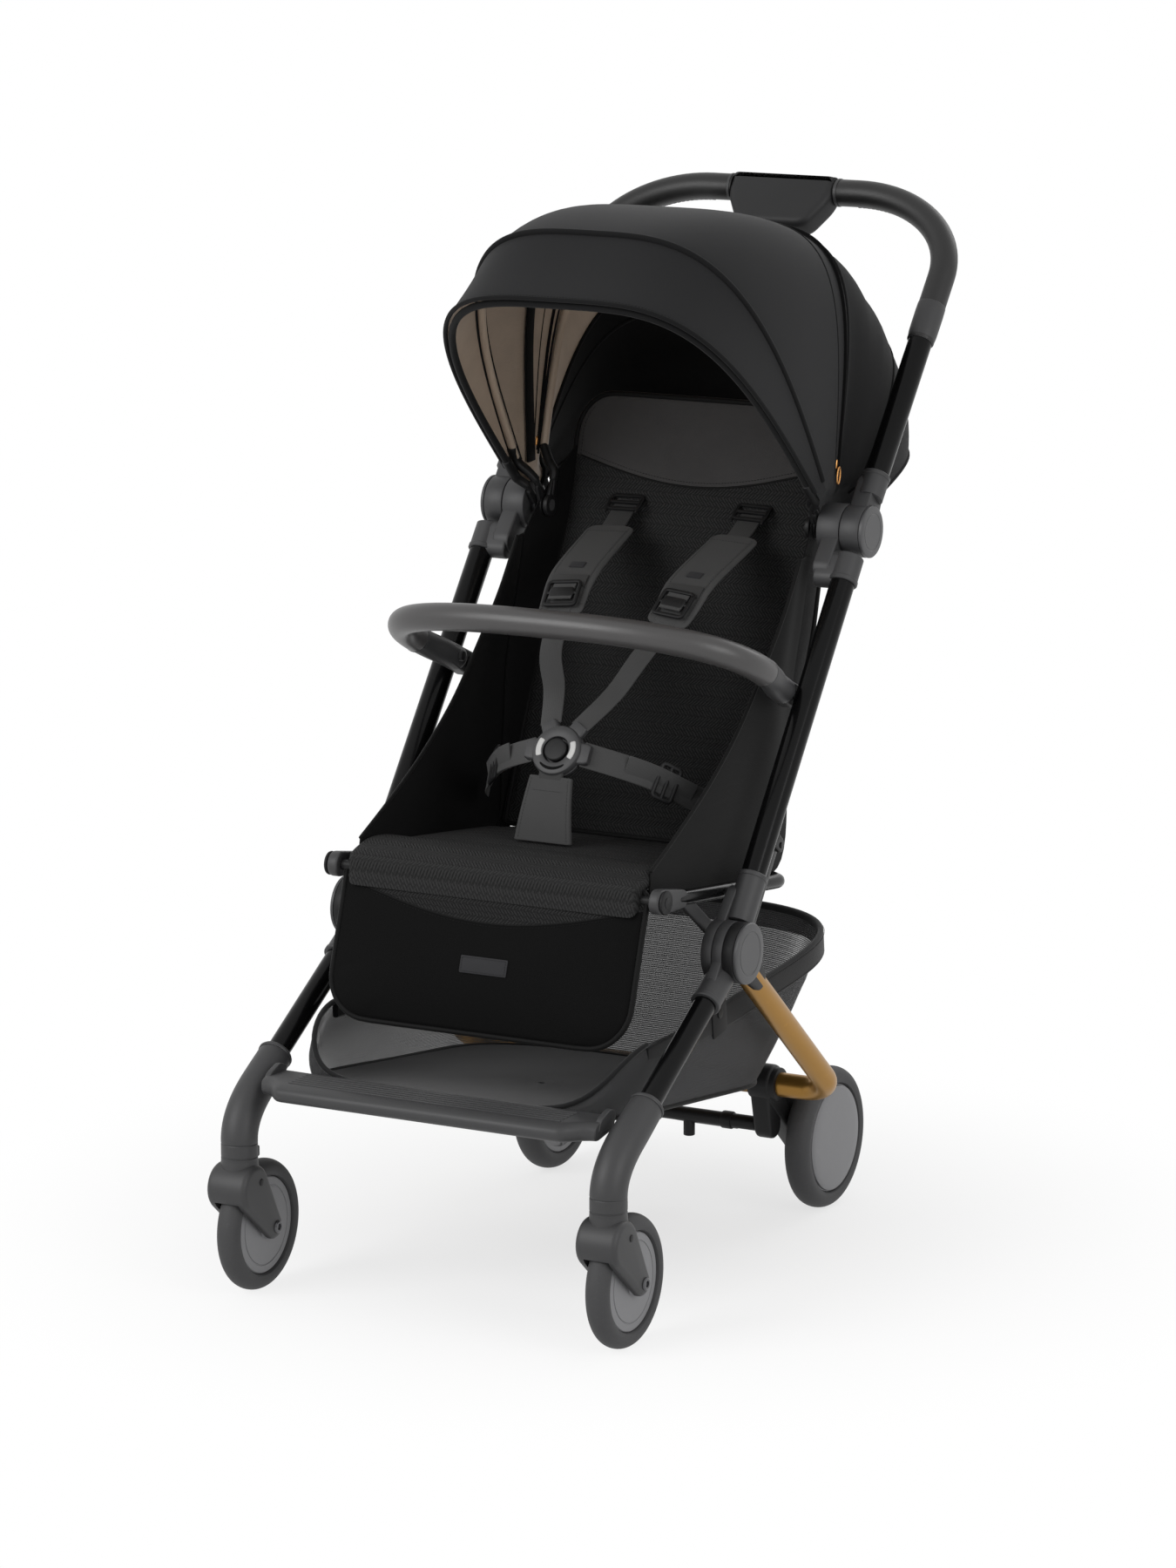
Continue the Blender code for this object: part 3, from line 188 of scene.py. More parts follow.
class Wire:
    """An output socket that takes part in plain arithmetic."""

    def __init__(self, graph, socket):
        self.graph = graph
        self.socket = socket

    __add__, __radd__ = arithmetic("ADD"), arithmetic("ADD", True)
    __sub__, __rsub__ = arithmetic("SUBTRACT"), arithmetic("SUBTRACT", True)
    __mul__, __rmul__ = arithmetic("MULTIPLY"), arithmetic("MULTIPLY", True)
    __pow__ = arithmetic("POWER")
    __abs__ = arithmetic("ABSOLUTE")
    sin, cos = arithmetic("SINE"), arithmetic("COSINE")
    zigzag = arithmetic("PINGPONG")
    most = arithmetic("MAXIMUM")

    def step(self, low, high):
        """Smooth step from 0 at low to 1 at high."""
        values = {"Value": self, "From Min": low, "From Max": high}
        return self.graph.add("ShaderNodeMapRange", {"interpolation_type": "SMOOTHSTEP"}, values)[0]


class Graph:
    """A material, or the world, under construction."""

    def __init__(self, name, kind="materials"):
        self.material = getattr(bpy.data, kind).new(name)
        self.material.use_nodes = True
        self.tree = self.material.node_tree
        self.tree.nodes.clear()

    def add(self, kind, settings, values):
        """Make a node: its settings first, then its sockets. Gives its visible outputs."""
        node = self.tree.nodes.new(kind)
        for key, value in settings.items():
            if key == "stops":
                ramp = node.color_ramp
                while len(ramp.elements) < len(value):
                    ramp.elements.new(0.5)
                for element, (position, colour) in zip(ramp.elements, value):
                    element.position = position
                    element.color = (*colour, 1.0)
            else:
                setattr(node, key, value)
        for key, value in values.items():
            socket = node.inputs[key]
            if isinstance(value, Wire):
                self.tree.links.new(value.socket, socket)
            else:
                socket.default_value = value
        return [Wire(self, socket) for socket in node.outputs if socket.enabled]

    def spot(self):
        """Object coordinates."""
        return self.add("ShaderNodeTexCoord", {}, {})[3]

    def split(self, vector):
        """Three wires of a vector."""
        return self.add("ShaderNodeSeparateXYZ", {}, {0: vector})

    def plane(self, angle):
        """Coordinates in metres on a plane that holds X and the side view angle."""
        x, y, z = self.split(self.spot())
        a = radians(angle)
        return x, y * cos(a) + z * sin(a)

    def uv(self):
        """Coordinates in metres on the piece's own UV map."""
        u, v, _ = self.split(self.add("ShaderNodeTexCoord", {}, {})[2])
        return u, v

    def vector(self, u, v, w=0.0):
        """Vector of three values."""
        return self.add("ShaderNodeCombineXYZ", {}, {0: u, 1: v, 2: w})[0]

    def noise(self, vector, scale, detail, rough=0.5):
        """Cloudy value round 0.5."""
        values = {"Vector": vector, "Scale": scale, "Detail": detail, "Roughness": rough}
        return self.add("ShaderNodeTexNoise", {}, values)[0]

    def cells(self, vector, scale):
        """Distance to the nearest of scattered points."""
        return self.add("ShaderNodeTexVoronoi", {"feature": "F1"}, {"Vector": vector, "Scale": scale})[0]

    def mix(self, factor, first, second):
        """Colour between first and second."""
        first, second = ((*c, 1.0) if isinstance(c, tuple) else c for c in (first, second))
        return self.add("ShaderNodeMix", {"data_type": "RGBA"}, {0: factor, 6: first, 7: second})[0]

    def tint(self, factor, colour, low, high):
        """A colour that runs between two shares of itself."""
        return self.mix(factor, shade(colour, low), shade(colour, high))

    def seen(self):
        """1 for camera, glossy and transmission rays."""
        path = self.add("ShaderNodeLightPath", {}, {})
        camera, glossy, through = (w for w in path if w.socket.name in
                                   ("Is Camera Ray", "Is Glossy Ray", "Is Transmission Ray"))
        return camera.most(glossy).most(through)

    def finish(self, colour, roughness, height, depth, strength, alpha=None, **constants):
        """Close the graph with a shader. Constants are socket names with _ for a space."""
        bump = {"Height": height, "Distance": depth, "Strength": strength}
        values = {"Base Color": colour, "Roughness": roughness,
                  "Normal": self.add("ShaderNodeBump", {}, bump)[0]}
        if alpha is not None:
            values["Alpha"] = alpha
        for key, value in constants.items():
            values[key.replace("_", " ")] = value
        shader = self.add("ShaderNodeBsdfPrincipled", {}, values)[0]
        self.add("ShaderNodeOutputMaterial", {}, {"Surface": shader})
        return self.material


def shade(colour, factor):
    """Colour at a share of its level."""
    return tuple(min(1.0, c * factor) for c in colour)


LOOKS = {}


def look(name, maker, *args, **settings):
    """Make a material once and hand the same one out after that."""
    if name not in LOOKS:
        LOOKS[name] = maker(name, *args, **settings)
    return LOOKS[name]


def painted(name, colour, roughness, metallic, coat, gloss=0.5):
    """Sprayed and baked paint on tube: orange peel under a clear coat, and faint handling marks."""
    g = Graph(name)
    where = g.spot()
    peel = g.noise(where, 520.0, 2.0)
    speck = g.noise(where, 2600.0, 1.0)
    cloud = g.noise(where, 9.0, 4.0, 0.6)
    rub = g.noise(where, 70.0, 5.0, 0.7).step(0.60, 0.78)
    base = g.tint(cloud, colour, 0.88, 1.12)
    base = g.mix(rub * 0.25, base, shade(colour, 1.7))
    rough = roughness + (cloud - 0.5) * 0.10 + rub * 0.08 + (speck - 0.5) * 0.05
    return g.finish(base, rough, peel * 0.7 + speck * 0.3, 0.00006, 0.5, Metallic=metallic,
                    Specular_IOR_Level=gloss, Coat_Weight=coat, Coat_Roughness=0.12)


def moulded(name, colour, roughness, grain=0.00010, gloss=0.42):
    """Satin moulded plastic: spark grain from the tool, cloudier gloss and pale rubbed places."""
    g = Graph(name)
    where = g.spot()
    spark = g.noise(where, 1500.0, 3.0, 0.6)
    pits = g.cells(where, 900.0)
    cloud = g.noise(where, 14.0, 3.0)
    rub = g.noise(where, 55.0, 5.0, 0.7).step(0.62, 0.80)
    base = g.tint(cloud, colour, 0.90, 1.10)
    base = g.mix(rub * 0.20, base, shade(colour, 1.5))
    rough = roughness + (spark - 0.5) * 0.16 + (cloud - 0.5) * 0.08
    return g.finish(base, rough, spark * 0.6 + pits * 0.4, grain, 0.6, Specular_IOR_Level=gloss)


def rubber(name, colour):
    """Foamed tyre: matt skin with tiny pores and a trace of dust low in the tread."""
    g = Graph(name)
    where = g.spot()
    pores = g.cells(where, 1100.0)
    soft = g.noise(where, 420.0, 3.0)
    cloud = g.noise(where, 22.0, 4.0, 0.6)
    base = g.tint(cloud, colour, 0.85, 1.18)
    base = g.mix(soft.step(0.55, 0.75) * 0.3, base, shade(colour, 1.5))
    return g.finish(base, 0.66 + (cloud - 0.5) * 0.12, pores * 0.5 + soft * 0.5, 0.00016, 0.6,
                    Specular_IOR_Level=0.35)


def bright_metal(name, colour, roughness):
    """Turned and plated metal with fine machining lines."""
    g = Graph(name)
    where = g.spot()
    x, y, z = g.split(where)
    lines = g.noise(g.vector(x * 40.0, y * 3.0, z * 3.0), 60.0, 3.0)
    cloud = g.noise(where, 60.0, 3.0)
    base = g.tint(cloud, colour, 0.85, 1.12)
    return g.finish(base, roughness + (lines - 0.5) * 0.2, lines, 0.00004, 0.5, Metallic=0.9)


def leatherette(name, colour, roughness):
    """Coated fabric: pebbled grain with creases between the pebbles."""
    g = Graph(name)
    where = g.spot()
    warp = g.noise(where, 240.0, 2.0)
    pebble = g.cells(where, 780.0)
    crease = g.cells(where, 330.0)
    cloud = g.noise(where, 12.0, 3.0)
    height = pebble * 0.6 + crease * 0.25 + warp * 0.3
    base = g.tint(cloud, colour, 0.90, 1.10)
    # Painted shade: the pits of the grain are darker.
    base = g.mix(pebble.step(0.0, 0.35), shade(colour, 0.78), base)
    return g.finish(base, roughness + (pebble - 0.4) * 0.12, height, 0.00014, 0.6, Specular_IOR_Level=0.45)


def weave_height(u, v, thread):
    """Plain weave: one thread over, one under."""
    k = pi / thread
    return (u * k).sin() * (v * k).sin()


def woven(name, colour, thread=0.0007, roughness=0.78, sheen=0.10, plane=None):
    """Plain woven cloth with uneven yarn and soft colour drift."""
    g = Graph(name)
    u, v = g.plane(plane) if plane is not None else g.uv()
    flat = g.vector(u, v)
    weave = weave_height(u, v, thread)
    across = g.noise(g.vector(u * 0.15, v), 2.2 / thread, 1.0)
    along = g.noise(g.vector(u, v * 0.15), 2.2 / thread, 1.0)
    cloud = g.noise(flat, 18.0, 4.0, 0.6)
    yarn = (across + along) * 0.5
    base = g.tint(cloud, colour, 0.88, 1.12)
    # Painted shade: the cloth is darker where the weave dips between threads.
    base = g.mix((weave * 0.5 + 0.5) * 0.6 + yarn * 0.12, shade(colour, 0.72), base)
    height = weave * 0.5 + yarn * 0.5
    return g.finish(base, roughness + (yarn - 0.5) * 0.15, height, 0.00012, 0.6,
                    Sheen_Weight=sheen, Sheen_Roughness=0.5, Specular_IOR_Level=0.10)


def knit_parts(u, v, pitch):
    """Spacer knit: herringbone rows of loops with small holes between them. Gives height and holes."""
    lean = v.zigzag(pitch * 3.0) * 0.9
    row = ((u + lean) * (2 * pi / pitch)).sin()
    loop = (v * (2 * pi / (pitch * 1.5)) + (u * (2 * pi / (pitch * 2.0))).sin()).sin()
    height = row * 0.6 + row * loop * 0.4
    holes = (row * loop).step(0.25, 0.85)
    return height, holes


def knitted(name, colour, pitch, plane):
    """Herringbone spacer mesh."""
    g = Graph(name)
    u, v = g.plane(plane)
    height, holes = knit_parts(u, v, pitch)
    cloud = g.noise(g.vector(u, v), 15.0, 3.0)
    # Painted highlight and shade: the loops are lighter on top and darker low down, and the holes darker
    # still.
    base = g.tint(height * 0.5 + 0.5, colour, 0.35, 1.9)
    base = g.mix(holes * 0.8, base, shade(colour, 0.25))
    base = g.mix(cloud * 0.3, base, shade(colour, 0.8))
    return g.finish(base, 0.62 + holes * 0.2, height - holes * 0.6, 0.0006, 0.8, Specular_IOR_Level=0.14)


def open_net(name, colour):
    """Open basket mesh: a hexagon-like net whose holes let the light through."""
    g = Graph(name)
    u, v = g.uv()
    pitch = bpy.context.scene.stroller_sizes.net_pitch
    k = 2 * pi / pitch
    shift = (v * (k / 2)).sin() * (pitch * 0.16)
    net = ((u + shift) * k).sin() * (v * k * 0.80).sin()
    fine = g.noise(g.vector(u, v), 900.0, 2.0)
    drift = g.noise(g.vector(u, v), 16.0, 3.0)
    hole = abs(net).step(0.36, 0.50)
    base = g.tint(fine, colour, 0.7, 1.3)
    base = g.mix(drift * 0.4, base, shade(colour, 0.8))
    return g.finish(base, 0.7 + (fine - 0.5) * 0.2, (1.0 - hole) + fine * 0.3, 0.0003, 0.6,
                    alpha=1.0 - hole * 0.64, Specular_IOR_Level=0.3)


def ribbed_webbing(name, colour, rib=0.0011):
    """Narrow woven webbing: close ribs across its run and bound edges."""
    g = Graph(name)
    u, v = g.uv()
    ribs = (v * (2 * pi / rib)).sin()
    cord = (u * (2 * pi / (rib * 1.6))).sin()
    weave = ribs * 0.55 + cord * ribs * 0.45
    fuzz = g.noise(g.vector(u, v), 1300.0, 3.0)
    cloud = g.noise(g.vector(u, v), 26.0, 3.0)
    # Painted highlight and shade: lighter on the ribs, darker between them.
    base = g.tint(weave * 0.5 + 0.5, colour, 0.70, 1.20)
    base = g.mix(cloud * 0.4, base, shade(colour, 0.82))
    return g.finish(base, 0.62 + (fuzz - 0.5) * 0.2, weave * 0.7 + fuzz * 0.3, 0.00018, 0.7,
                    Sheen_Weight=0.12, Specular_IOR_Level=0.3)


def lining_cloth(name, colour):
    """Calendered lining: shiny, with fine uneven lines down its length and soft creases."""
    g = Graph(name)
    u, v = g.uv()
    lines = g.noise(g.vector(u * 9.0, v * 0.5), 110.0, 3.0, 0.6)
    creases = g.noise(g.vector(u * 2.0, v * 0.7), 22.0, 3.0)
    base = g.tint(lines, colour, 0.80, 1.16)
    # Painted shade: darker along the creases.
    base = g.mix(creases.step(0.35, 0.7) * 0.35, base, shade(colour, 0.75))
    return g.finish(base, 0.42 + (lines - 0.5) * 0.2, lines * 0.6 + creases * 1.4, 0.0005, 0.5,
                    Sheen_Weight=0.15)


def light_inlay(name, colour):
    """Pale soft-touch inlay."""
    g = Graph(name)
    where = g.spot()
    speck = g.noise(where, 1200.0, 2.0)
    base = g.tint(speck, colour, 0.90, 1.06)
    return g.finish(base, 0.45 + (speck - 0.5) * 0.1, speck, 0.00005, 0.5)


# Meshes
class Shape:
    """Points, faces and UVs of one piece before they become a mesh. UVs are in metres."""

    def __init__(self):
        self.points = []
        self.faces = []
        self.slots = []
        self.uvs = []

    def add(self, points, faces, uvs, slot=0):
        """Take in points, faces over them and a UV for each corner."""
        base = len(self.points)
        self.points.extend(points)
        for face, corners in zip(faces, uvs):
            self.faces.append([base + i for i in face])
            self.uvs.append(corners)
            self.slots.append(slot)
        return self


def loft(shape, rings, slot=0, closed=True, caps=True):
    """Skin over rings of equal length."""
    count = len(rings[0])
    wide = max(rings, key=lambda ring: sum((b - a).length for a, b in zip(ring, ring[1:])))
    around = [0.0]
    for a, b in zip(wide, wide[1:] + wide[:1]):
        around.append(around[-1] + (b - a).length)
    along = [0.0]
    for a, b in zip(rings, rings[1:]):
        along.append(along[-1] + sum((q - p).length for p, q in zip(a, b)) / count)
    points = [point for ring in rings for point in ring]
    faces, uvs = [], []
    for i in range(len(rings) - 1):
        for j in range(count if closed else count - 1):
            k = (j + 1) % count
            faces.append([i * count + j, i * count + k, (i + 1) * count + k, (i + 1) * count + j])
            uvs.append([(around[j], along[i]), (around[j + 1], along[i]), (around[j + 1], along[i + 1]),
                        (around[j], along[i + 1])])
    if caps and closed:
        for start in (0, (len(rings) - 1) * count):
            ring = points[start:start + count]
            centre = sum(ring, Vector()) / count
            axis = max(range(3), key=lambda i: max(p[i] for p in ring) - min(p[i] for p in ring))
            other = (axis + 1) % 3
            faces.append(list(range(start, start + count)))
            uvs.append([(p[axis] - centre[axis], p[other] - centre[other]) for p in ring])
    return shape.add(points, faces, uvs, slot)


def frames(path, up):
    """Tangent, side and up vector along a path, carried without twist."""
    result = []
    for i, point in enumerate(path):
        ahead = path[min(i + 1, len(path) - 1)]
        behind = path[max(i - 1, 0)]
        tangent = (ahead - behind).normalized()
        up = (up - tangent * up.dot(tangent)).normalized()
        result.append((tangent, tangent.cross(up), up))
    return result


def circle(radius, sides):
    """Round section."""
    return [(radius * cos(2 * pi * i / sides), radius * sin(2 * pi * i / sides)) for i in range(sides)]


def rounded_section(width, height, radius, steps=4):
    """Outline of a bar with rounded corners."""
    points = []
    for cx, cy, start in ((1, 1, 0), (-1, 1, 90), (-1, -1, 180), (1, -1, 270)):
        for i in range(steps + 1):
            a = radians(start + 90 * i / steps)
            points.append((cx * (width / 2 - radius) + radius * cos(a),
                           cy * (height / 2 - radius) + radius * sin(a)))
    return points


def sweep(shape, path, section, up, sizes=None, slot=0, soft_end=0.0):
    """Carry a section along a path. Sizes scale it at each point, soft_end rounds both ends."""
    path = [Vector(p) for p in path]
    sizes = [Vector(s if isinstance(s, tuple) else (s, s)) for s in sizes or [1.0] * len(path)]
    if soft_end:
        reach = max(sqrt(a * a + b * b) for a, b in section)
        head, tail = (path[0] - path[1]).normalized(), (path[-1] - path[-2]).normalized()
        start, end, first, last = [], [], sizes[0], sizes[-1]
        for i in (0, 1, 2):
            a = radians(30 * i)
            start.append((path[0] + head * soft_end * cos(a), first * (1 - soft_end / reach * (1 - sin(a)))))
            end.append((path[-1] + tail * soft_end * sin(a + radians(30)),
                        last * (1 - soft_end / reach * (1 - cos(a + radians(30))))))
        path = [p for p, _ in start] + path + [p for p, _ in end]
        sizes = [s for _, s in start] + sizes + [s for _, s in end]
    rings = []
    for point, (_, side, top), size in zip(path, frames(path, up), sizes):
        rings.append([point + side * (a * size.x) + top * (b * size.y) for a, b in section])
    return loft(shape, rings, slot)


def tube(shape, path, radius, sides=36, slot=0, up=Vector((0.3, 0.2, 1)), soft_end=0.0):
    """Carry a circle along a path."""
    return sweep(shape, path, circle(radius, sides), up, None, slot, soft_end)


def turned(shape, profile, origin, axis, sides=64, slot=0):
    """Turn (radius, height) points about an axis through origin."""
    axis = axis.normalized()
    first = axis.orthogonal().normalized()
    second = axis.cross(first)
    rings = []
    for radius, height in profile:
        ring = []
        for i in range(sides):
            a = 2 * pi * i / sides
            ring.append(origin + axis * height + (first * cos(a) + second * sin(a)) * max(radius, 0.00002))
        rings.append(ring)
    closed = (Vector(profile[0]) - Vector(profile[-1])).length < 1e-7
    return loft(shape, rings, slot, True, not closed)


def rod(shape, start, end, radius, edge=0.0008, sides=36, slot=0):
    """Short straight bar with softened ends."""
    length = (end - start).length
    profile = [(radius - edge, 0.0), (radius - edge * 0.3, edge * 0.3), (radius, edge),
               (radius, length - edge), (radius - edge * 0.3, length - edge * 0.3), (radius - edge, length)]
    return turned(shape, profile, start, end - start, sides, slot)


def rod_x(shape, x0, x1, point, radius, edge=0.0008, sides=48, slot=0):
    """Rod across the object over a side view point."""
    return rod(shape, at(x0, *point), at(x1, *point), radius, edge, sides, slot)


def arc(centre, radius, start, end, count):
    """Side view points round a centre."""
    return [polar(centre, start + (end - start) * i / (count - 1), radius) for i in range(count)]


def link_outline(a, ra, b, rb, count=16):
    """Outline of a bar with a round end at a and at b."""
    heading = degrees(atan2(b[1] - a[1], b[0] - a[0]))
    reach = sqrt((b[0] - a[0]) ** 2 + (b[1] - a[1]) ** 2)
    side = 90.0 + degrees(atan2(rb - ra, reach))
    return arc(a, ra, heading + side, heading + 360.0 - side, count) + arc(b, rb, heading - side,
                                                                           heading + side, count)


def slab(shape, outline, out, thickness, edge=0.001, slot=0, steps=3):
    """Flat piece over an outline of points, as thick as given along out, with rounded edges."""
    count = len(outline)
    inward = []
    centre = sum(outline, Vector()) / count
    for i, point in enumerate(outline):
        run = (outline[(i + 1) % count] - outline[i - 1]).normalized()
        normal = out.cross(run)
        if normal.dot(centre - point) < 0:
            normal.negate()
        inward.append(normal)
    rings = []
    levels = [(edge * (1 - sin(pi / 2 * i / steps)), edge * (1 - cos(pi / 2 * i / steps)))
              for i in range(steps + 1)]
    for inset, height in levels:
        rings.append([p + n * inset + out * height for p, n in zip(outline, inward)])
    for inset, height in reversed(levels):
        rings.append([p + n * inset + out * (thickness - height) for p, n in zip(outline, inward)])
    return loft(shape, rings, slot)


def plate(shape, outline, x0, x1, edge=0.001, slot=0):
    """Slab over a side view outline, between two x values."""
    points = [at(x0, *p) for p in outline]
    return slab(shape, points, ACROSS * (1 if x1 > x0 else -1), abs(x1 - x0), edge, slot)


def smooth_path(knots, steps=6):
    """Curve through knots, which may be vectors of any kind."""
    result = []
    for i in range(len(knots) - 1):
        a, b = knots[max(i - 1, 0)], knots[i]
        c, d = knots[i + 1], knots[min(i + 2, len(knots) - 1)]
        for j in range(steps):
            t = j / steps
            result.append(0.5 * ((2 * b) + (c - a) * t + (2 * a - 5 * b + 4 * c - d) * t ** 2
                                 + (3 * b - a - 3 * c + d) * t ** 3))
    result.append(knots[-1])
    return result


def smooth_shade(mesh, sharp):
    """Smooth shading, apart from edges over the sharp angle."""
    mesh.shade_smooth()
    mesh.set_sharp_from_angle(angle=radians(sharp))


def materials_of(finishes):
    """Materials from a string of finish names, or materials as they are."""
    return [finish_of(name) for name in finishes.split()] if isinstance(finishes, str) else finishes


def to_mesh(name, shape, finishes, sharp=35.0, closed=True):
    """Mesh of a shape, with its UVs and materials. Edges over the sharp angle stay sharp."""
    mesh = bpy.data.meshes.new(name)
    mesh.from_pydata(shape.points, [], shape.faces)
    layer = mesh.uv_layers.new(name="surface")
    flat = [c for corners in shape.uvs for c in corners]
    for loop, corner in zip(layer.data, flat):
        loop.uv = corner
    mesh.polygons.foreach_set("material_index", shape.slots)
    for material in materials_of(finishes):
        mesh.materials.append(material)
    cage = bmesh.new()
    cage.from_mesh(mesh)
    bmesh.ops.remove_doubles(cage, verts=cage.verts, dist=0.000008)
    if closed:
        bmesh.ops.recalc_face_normals(cage, faces=cage.faces)
    cage.to_mesh(mesh)
    cage.free()
    smooth_shade(mesh, sharp)
    return mesh


def new_object(name, mesh):
    """Object in the scene around a mesh."""
    obj = bpy.data.objects.new(name, mesh)
    bpy.context.scene.collection.objects.link(obj)
    return obj


def settle(obj):
    """Replace an object's mesh by its modified mesh and drop the modifiers."""
    graph = bpy.context.evaluated_depsgraph_get()
    mesh = bpy.data.meshes.new_from_object(obj.evaluated_get(graph), preserve_all_data_layers=True,
                                           depsgraph=graph)
    obj.modifiers.clear()
    old = obj.data
    obj.data = mesh
    bpy.data.meshes.remove(old)
    mesh.name = obj.name
    return obj

def piece(name, shape, finishes, body, replaces, sharp=35.0):
    """Finished piece, put on its body when one is given."""
    return hand_over(new_object(name, to_mesh(name, shape, finishes, sharp)), body, replaces)


def stand_in(node, shape, finishes, body, sharp=35.0):
    """Piece that replaces one node of the frame and carries its name."""
    return piece("visual_" + node, shape, finishes, body, node, sharp)


def hand_over(obj, body=None, replaces=()):
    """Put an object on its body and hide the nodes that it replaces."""
    if body:
        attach(obj, body)
    if replaces:
        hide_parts(*([replaces] if isinstance(replaces, str) else replaces))
    return obj


def cut_away(obj, *cutters):
    """Cut shapes out of an object, exactly."""
    for index, shape in enumerate(cutters):
        other = new_object(f"cutter_{index}", to_mesh(f"cutter_{index}", shape, []))
        mod = obj.modifiers.new(f"cut_{index}", "BOOLEAN")
        mod.operation = "DIFFERENCE"
        mod.solver = "EXACT"
        mod.object = other
    settle(obj)
    for index in range(len(cutters)):
        bpy.data.objects.remove(bpy.data.objects[f"cutter_{index}"], do_unlink=True)
    smooth_shade(obj.data, 35)
    return obj


# Repeated details
def socket_id(tree, name):
    """Identifier of a tree's input."""
    return next(s.identifier for s in tree.interface.items_tree if s.name == name and s.in_out == "INPUT")


def new_tree(name, inputs):
    """Geometry Nodes tree with named inputs and a helper that adds nodes."""
    tree = bpy.data.node_groups.new(name, "GeometryNodeTree")
    tree.interface.new_socket(name="Geometry", in_out="INPUT", socket_type="NodeSocketGeometry")
    for label, kind in inputs:
        tree.interface.new_socket(name=label, in_out="INPUT", socket_type=f"NodeSocket{kind}")
    tree.interface.new_socket(name="Geometry", in_out="OUTPUT", socket_type="NodeSocketGeometry")
    source = tree.nodes.new("NodeGroupInput")

    def add(kind, values=None, **settings):
        """Node with its settings, input values and links."""
        node = tree.nodes.new(kind)
        for key, value in settings.items():
            setattr(node, key, value)
        for key, value in (values or {}).items():
            if isinstance(value, bpy.types.NodeSocket):
                tree.links.new(value, node.inputs[key])
            else:
                node.inputs[key].default_value = value
        return node

    return tree, source.outputs, add


def close_tree(tree, add, instances, material):
    """End a tree with real, smooth geometry in its material."""
    real = add("GeometryNodeRealizeInstances", {"Geometry": instances})
    smooth = add("GeometryNodeSetShadeSmooth", {"Geometry": real.outputs[0]})
    painted_over = add("GeometryNodeSetMaterial", {"Geometry": smooth.outputs[0], "Material": material})
    end = tree.nodes.new("NodeGroupOutput")
    tree.links.new(painted_over.outputs[0], end.inputs[0])
    return tree

def stitch_tree(name):
    """Beads of thread, teeth or rivets along a line, each turned to the line."""
    inputs = [("Pitch", "Float"), ("Length", "Float"), ("Width", "Float"), ("Height", "Float"),
              ("Material", "Material")]
    tree, source, add = new_tree(name, inputs)
    line = add("GeometryNodeMeshToCurve", {"Mesh": source["Geometry"]})
    spaced = add("GeometryNodeResampleCurve", {"Curve": line.outputs[0], "Length": source["Pitch"]},
                 mode="LENGTH")
    bead = add("GeometryNodeMeshUVSphere", {"Segments": 8, "Rings": 5, "Radius": 0.5})
    tangent = add("GeometryNodeInputTangent")
    turn = add("FunctionNodeAlignRotationToVector", {"Vector": tangent.outputs[0]}, axis="X")
    size = add("ShaderNodeCombineXYZ", {0: source["Length"], 1: source["Width"], 2: source["Height"]})
    beads = add("GeometryNodeInstanceOnPoints", {
        "Points": spaced.outputs[0], "Instance": bead.outputs["Mesh"], "Rotation": turn.outputs[0],
        "Scale": size.outputs[0]})
    return close_tree(tree, add, beads.outputs[0], source["Material"])

def rib_tree(name):
    """Row of straight round-nosed ribs, side by side."""
    inputs = [("Count", "Int"), ("Start", "Vector"), ("Step", "Vector"), ("Length", "Float"),
              ("Radius", "Float"), ("Flatness", "Float"), ("Material", "Material")]
    tree, source, add = new_tree(name, inputs)
    row = add("GeometryNodeMeshLine", {"Count": source["Count"], "Start Location": source["Start"],
                                       "Offset": source["Step"]}, mode="OFFSET")
    rib = add("GeometryNodeMeshCylinder", {"Vertices": 12, "Radius": source["Radius"],
                                           "Depth": source["Length"]})
    flat = add("ShaderNodeCombineXYZ", {0: source["Flatness"], 1: 1.0, 2: 1.0})
    laid = add("GeometryNodeTransform", {"Geometry": rib.outputs["Mesh"], "Scale": flat.outputs[0],
                                         "Rotation": (0.0, pi / 2, 0.0)})
    ribs = add("GeometryNodeInstanceOnPoints", {"Points": row.outputs[0], "Instance": laid.outputs[0]})
    return close_tree(tree, add, ribs.outputs[0], source["Material"])


def grown(name, tree, base, body, slot=None, **inputs):
    """Run a tree on a base object, keep its plain mesh and ride on a body."""
    obj = new_object(name, base)
    mod = obj.modifiers.new("rule", "NODES")
    mod.node_group = tree
    for key, value in inputs.items():
        mod[socket_id(tree, key)] = value
    settle(obj)
    if not obj.data.polygons:
        raise RuntimeError(f"{name}: the rule made nothing")
    return hand_over(obj, body, ())


def lines_mesh(name, lines):
    """Mesh of open lines, the base of stitches."""
    mesh = bpy.data.meshes.new(name)
    points, edges = [], []
    for line in lines:
        start = len(points)
        points.extend(line)
        edges.extend((i, i + 1) for i in range(start, len(points) - 1))
    mesh.from_pydata(points, edges, [])
    return mesh


def stitches(name, lines, body, finish, pitch=1.0, length=1.0, width=0.0008, height=0.0006):
    """Stitches along the lines. pitch and length are shares of the panel's values."""
    sizes = bpy.context.scene.stroller_sizes
    tree = bpy.data.node_groups.get("beads_along_line") or stitch_tree("beads_along_line")
    return grown(name, tree, lines_mesh(name, lines), body, Pitch=pitch * sizes.stitch_pitch,
                 Length=length * sizes.stitch_length, Width=width, Height=height, Material=finish_of(finish))


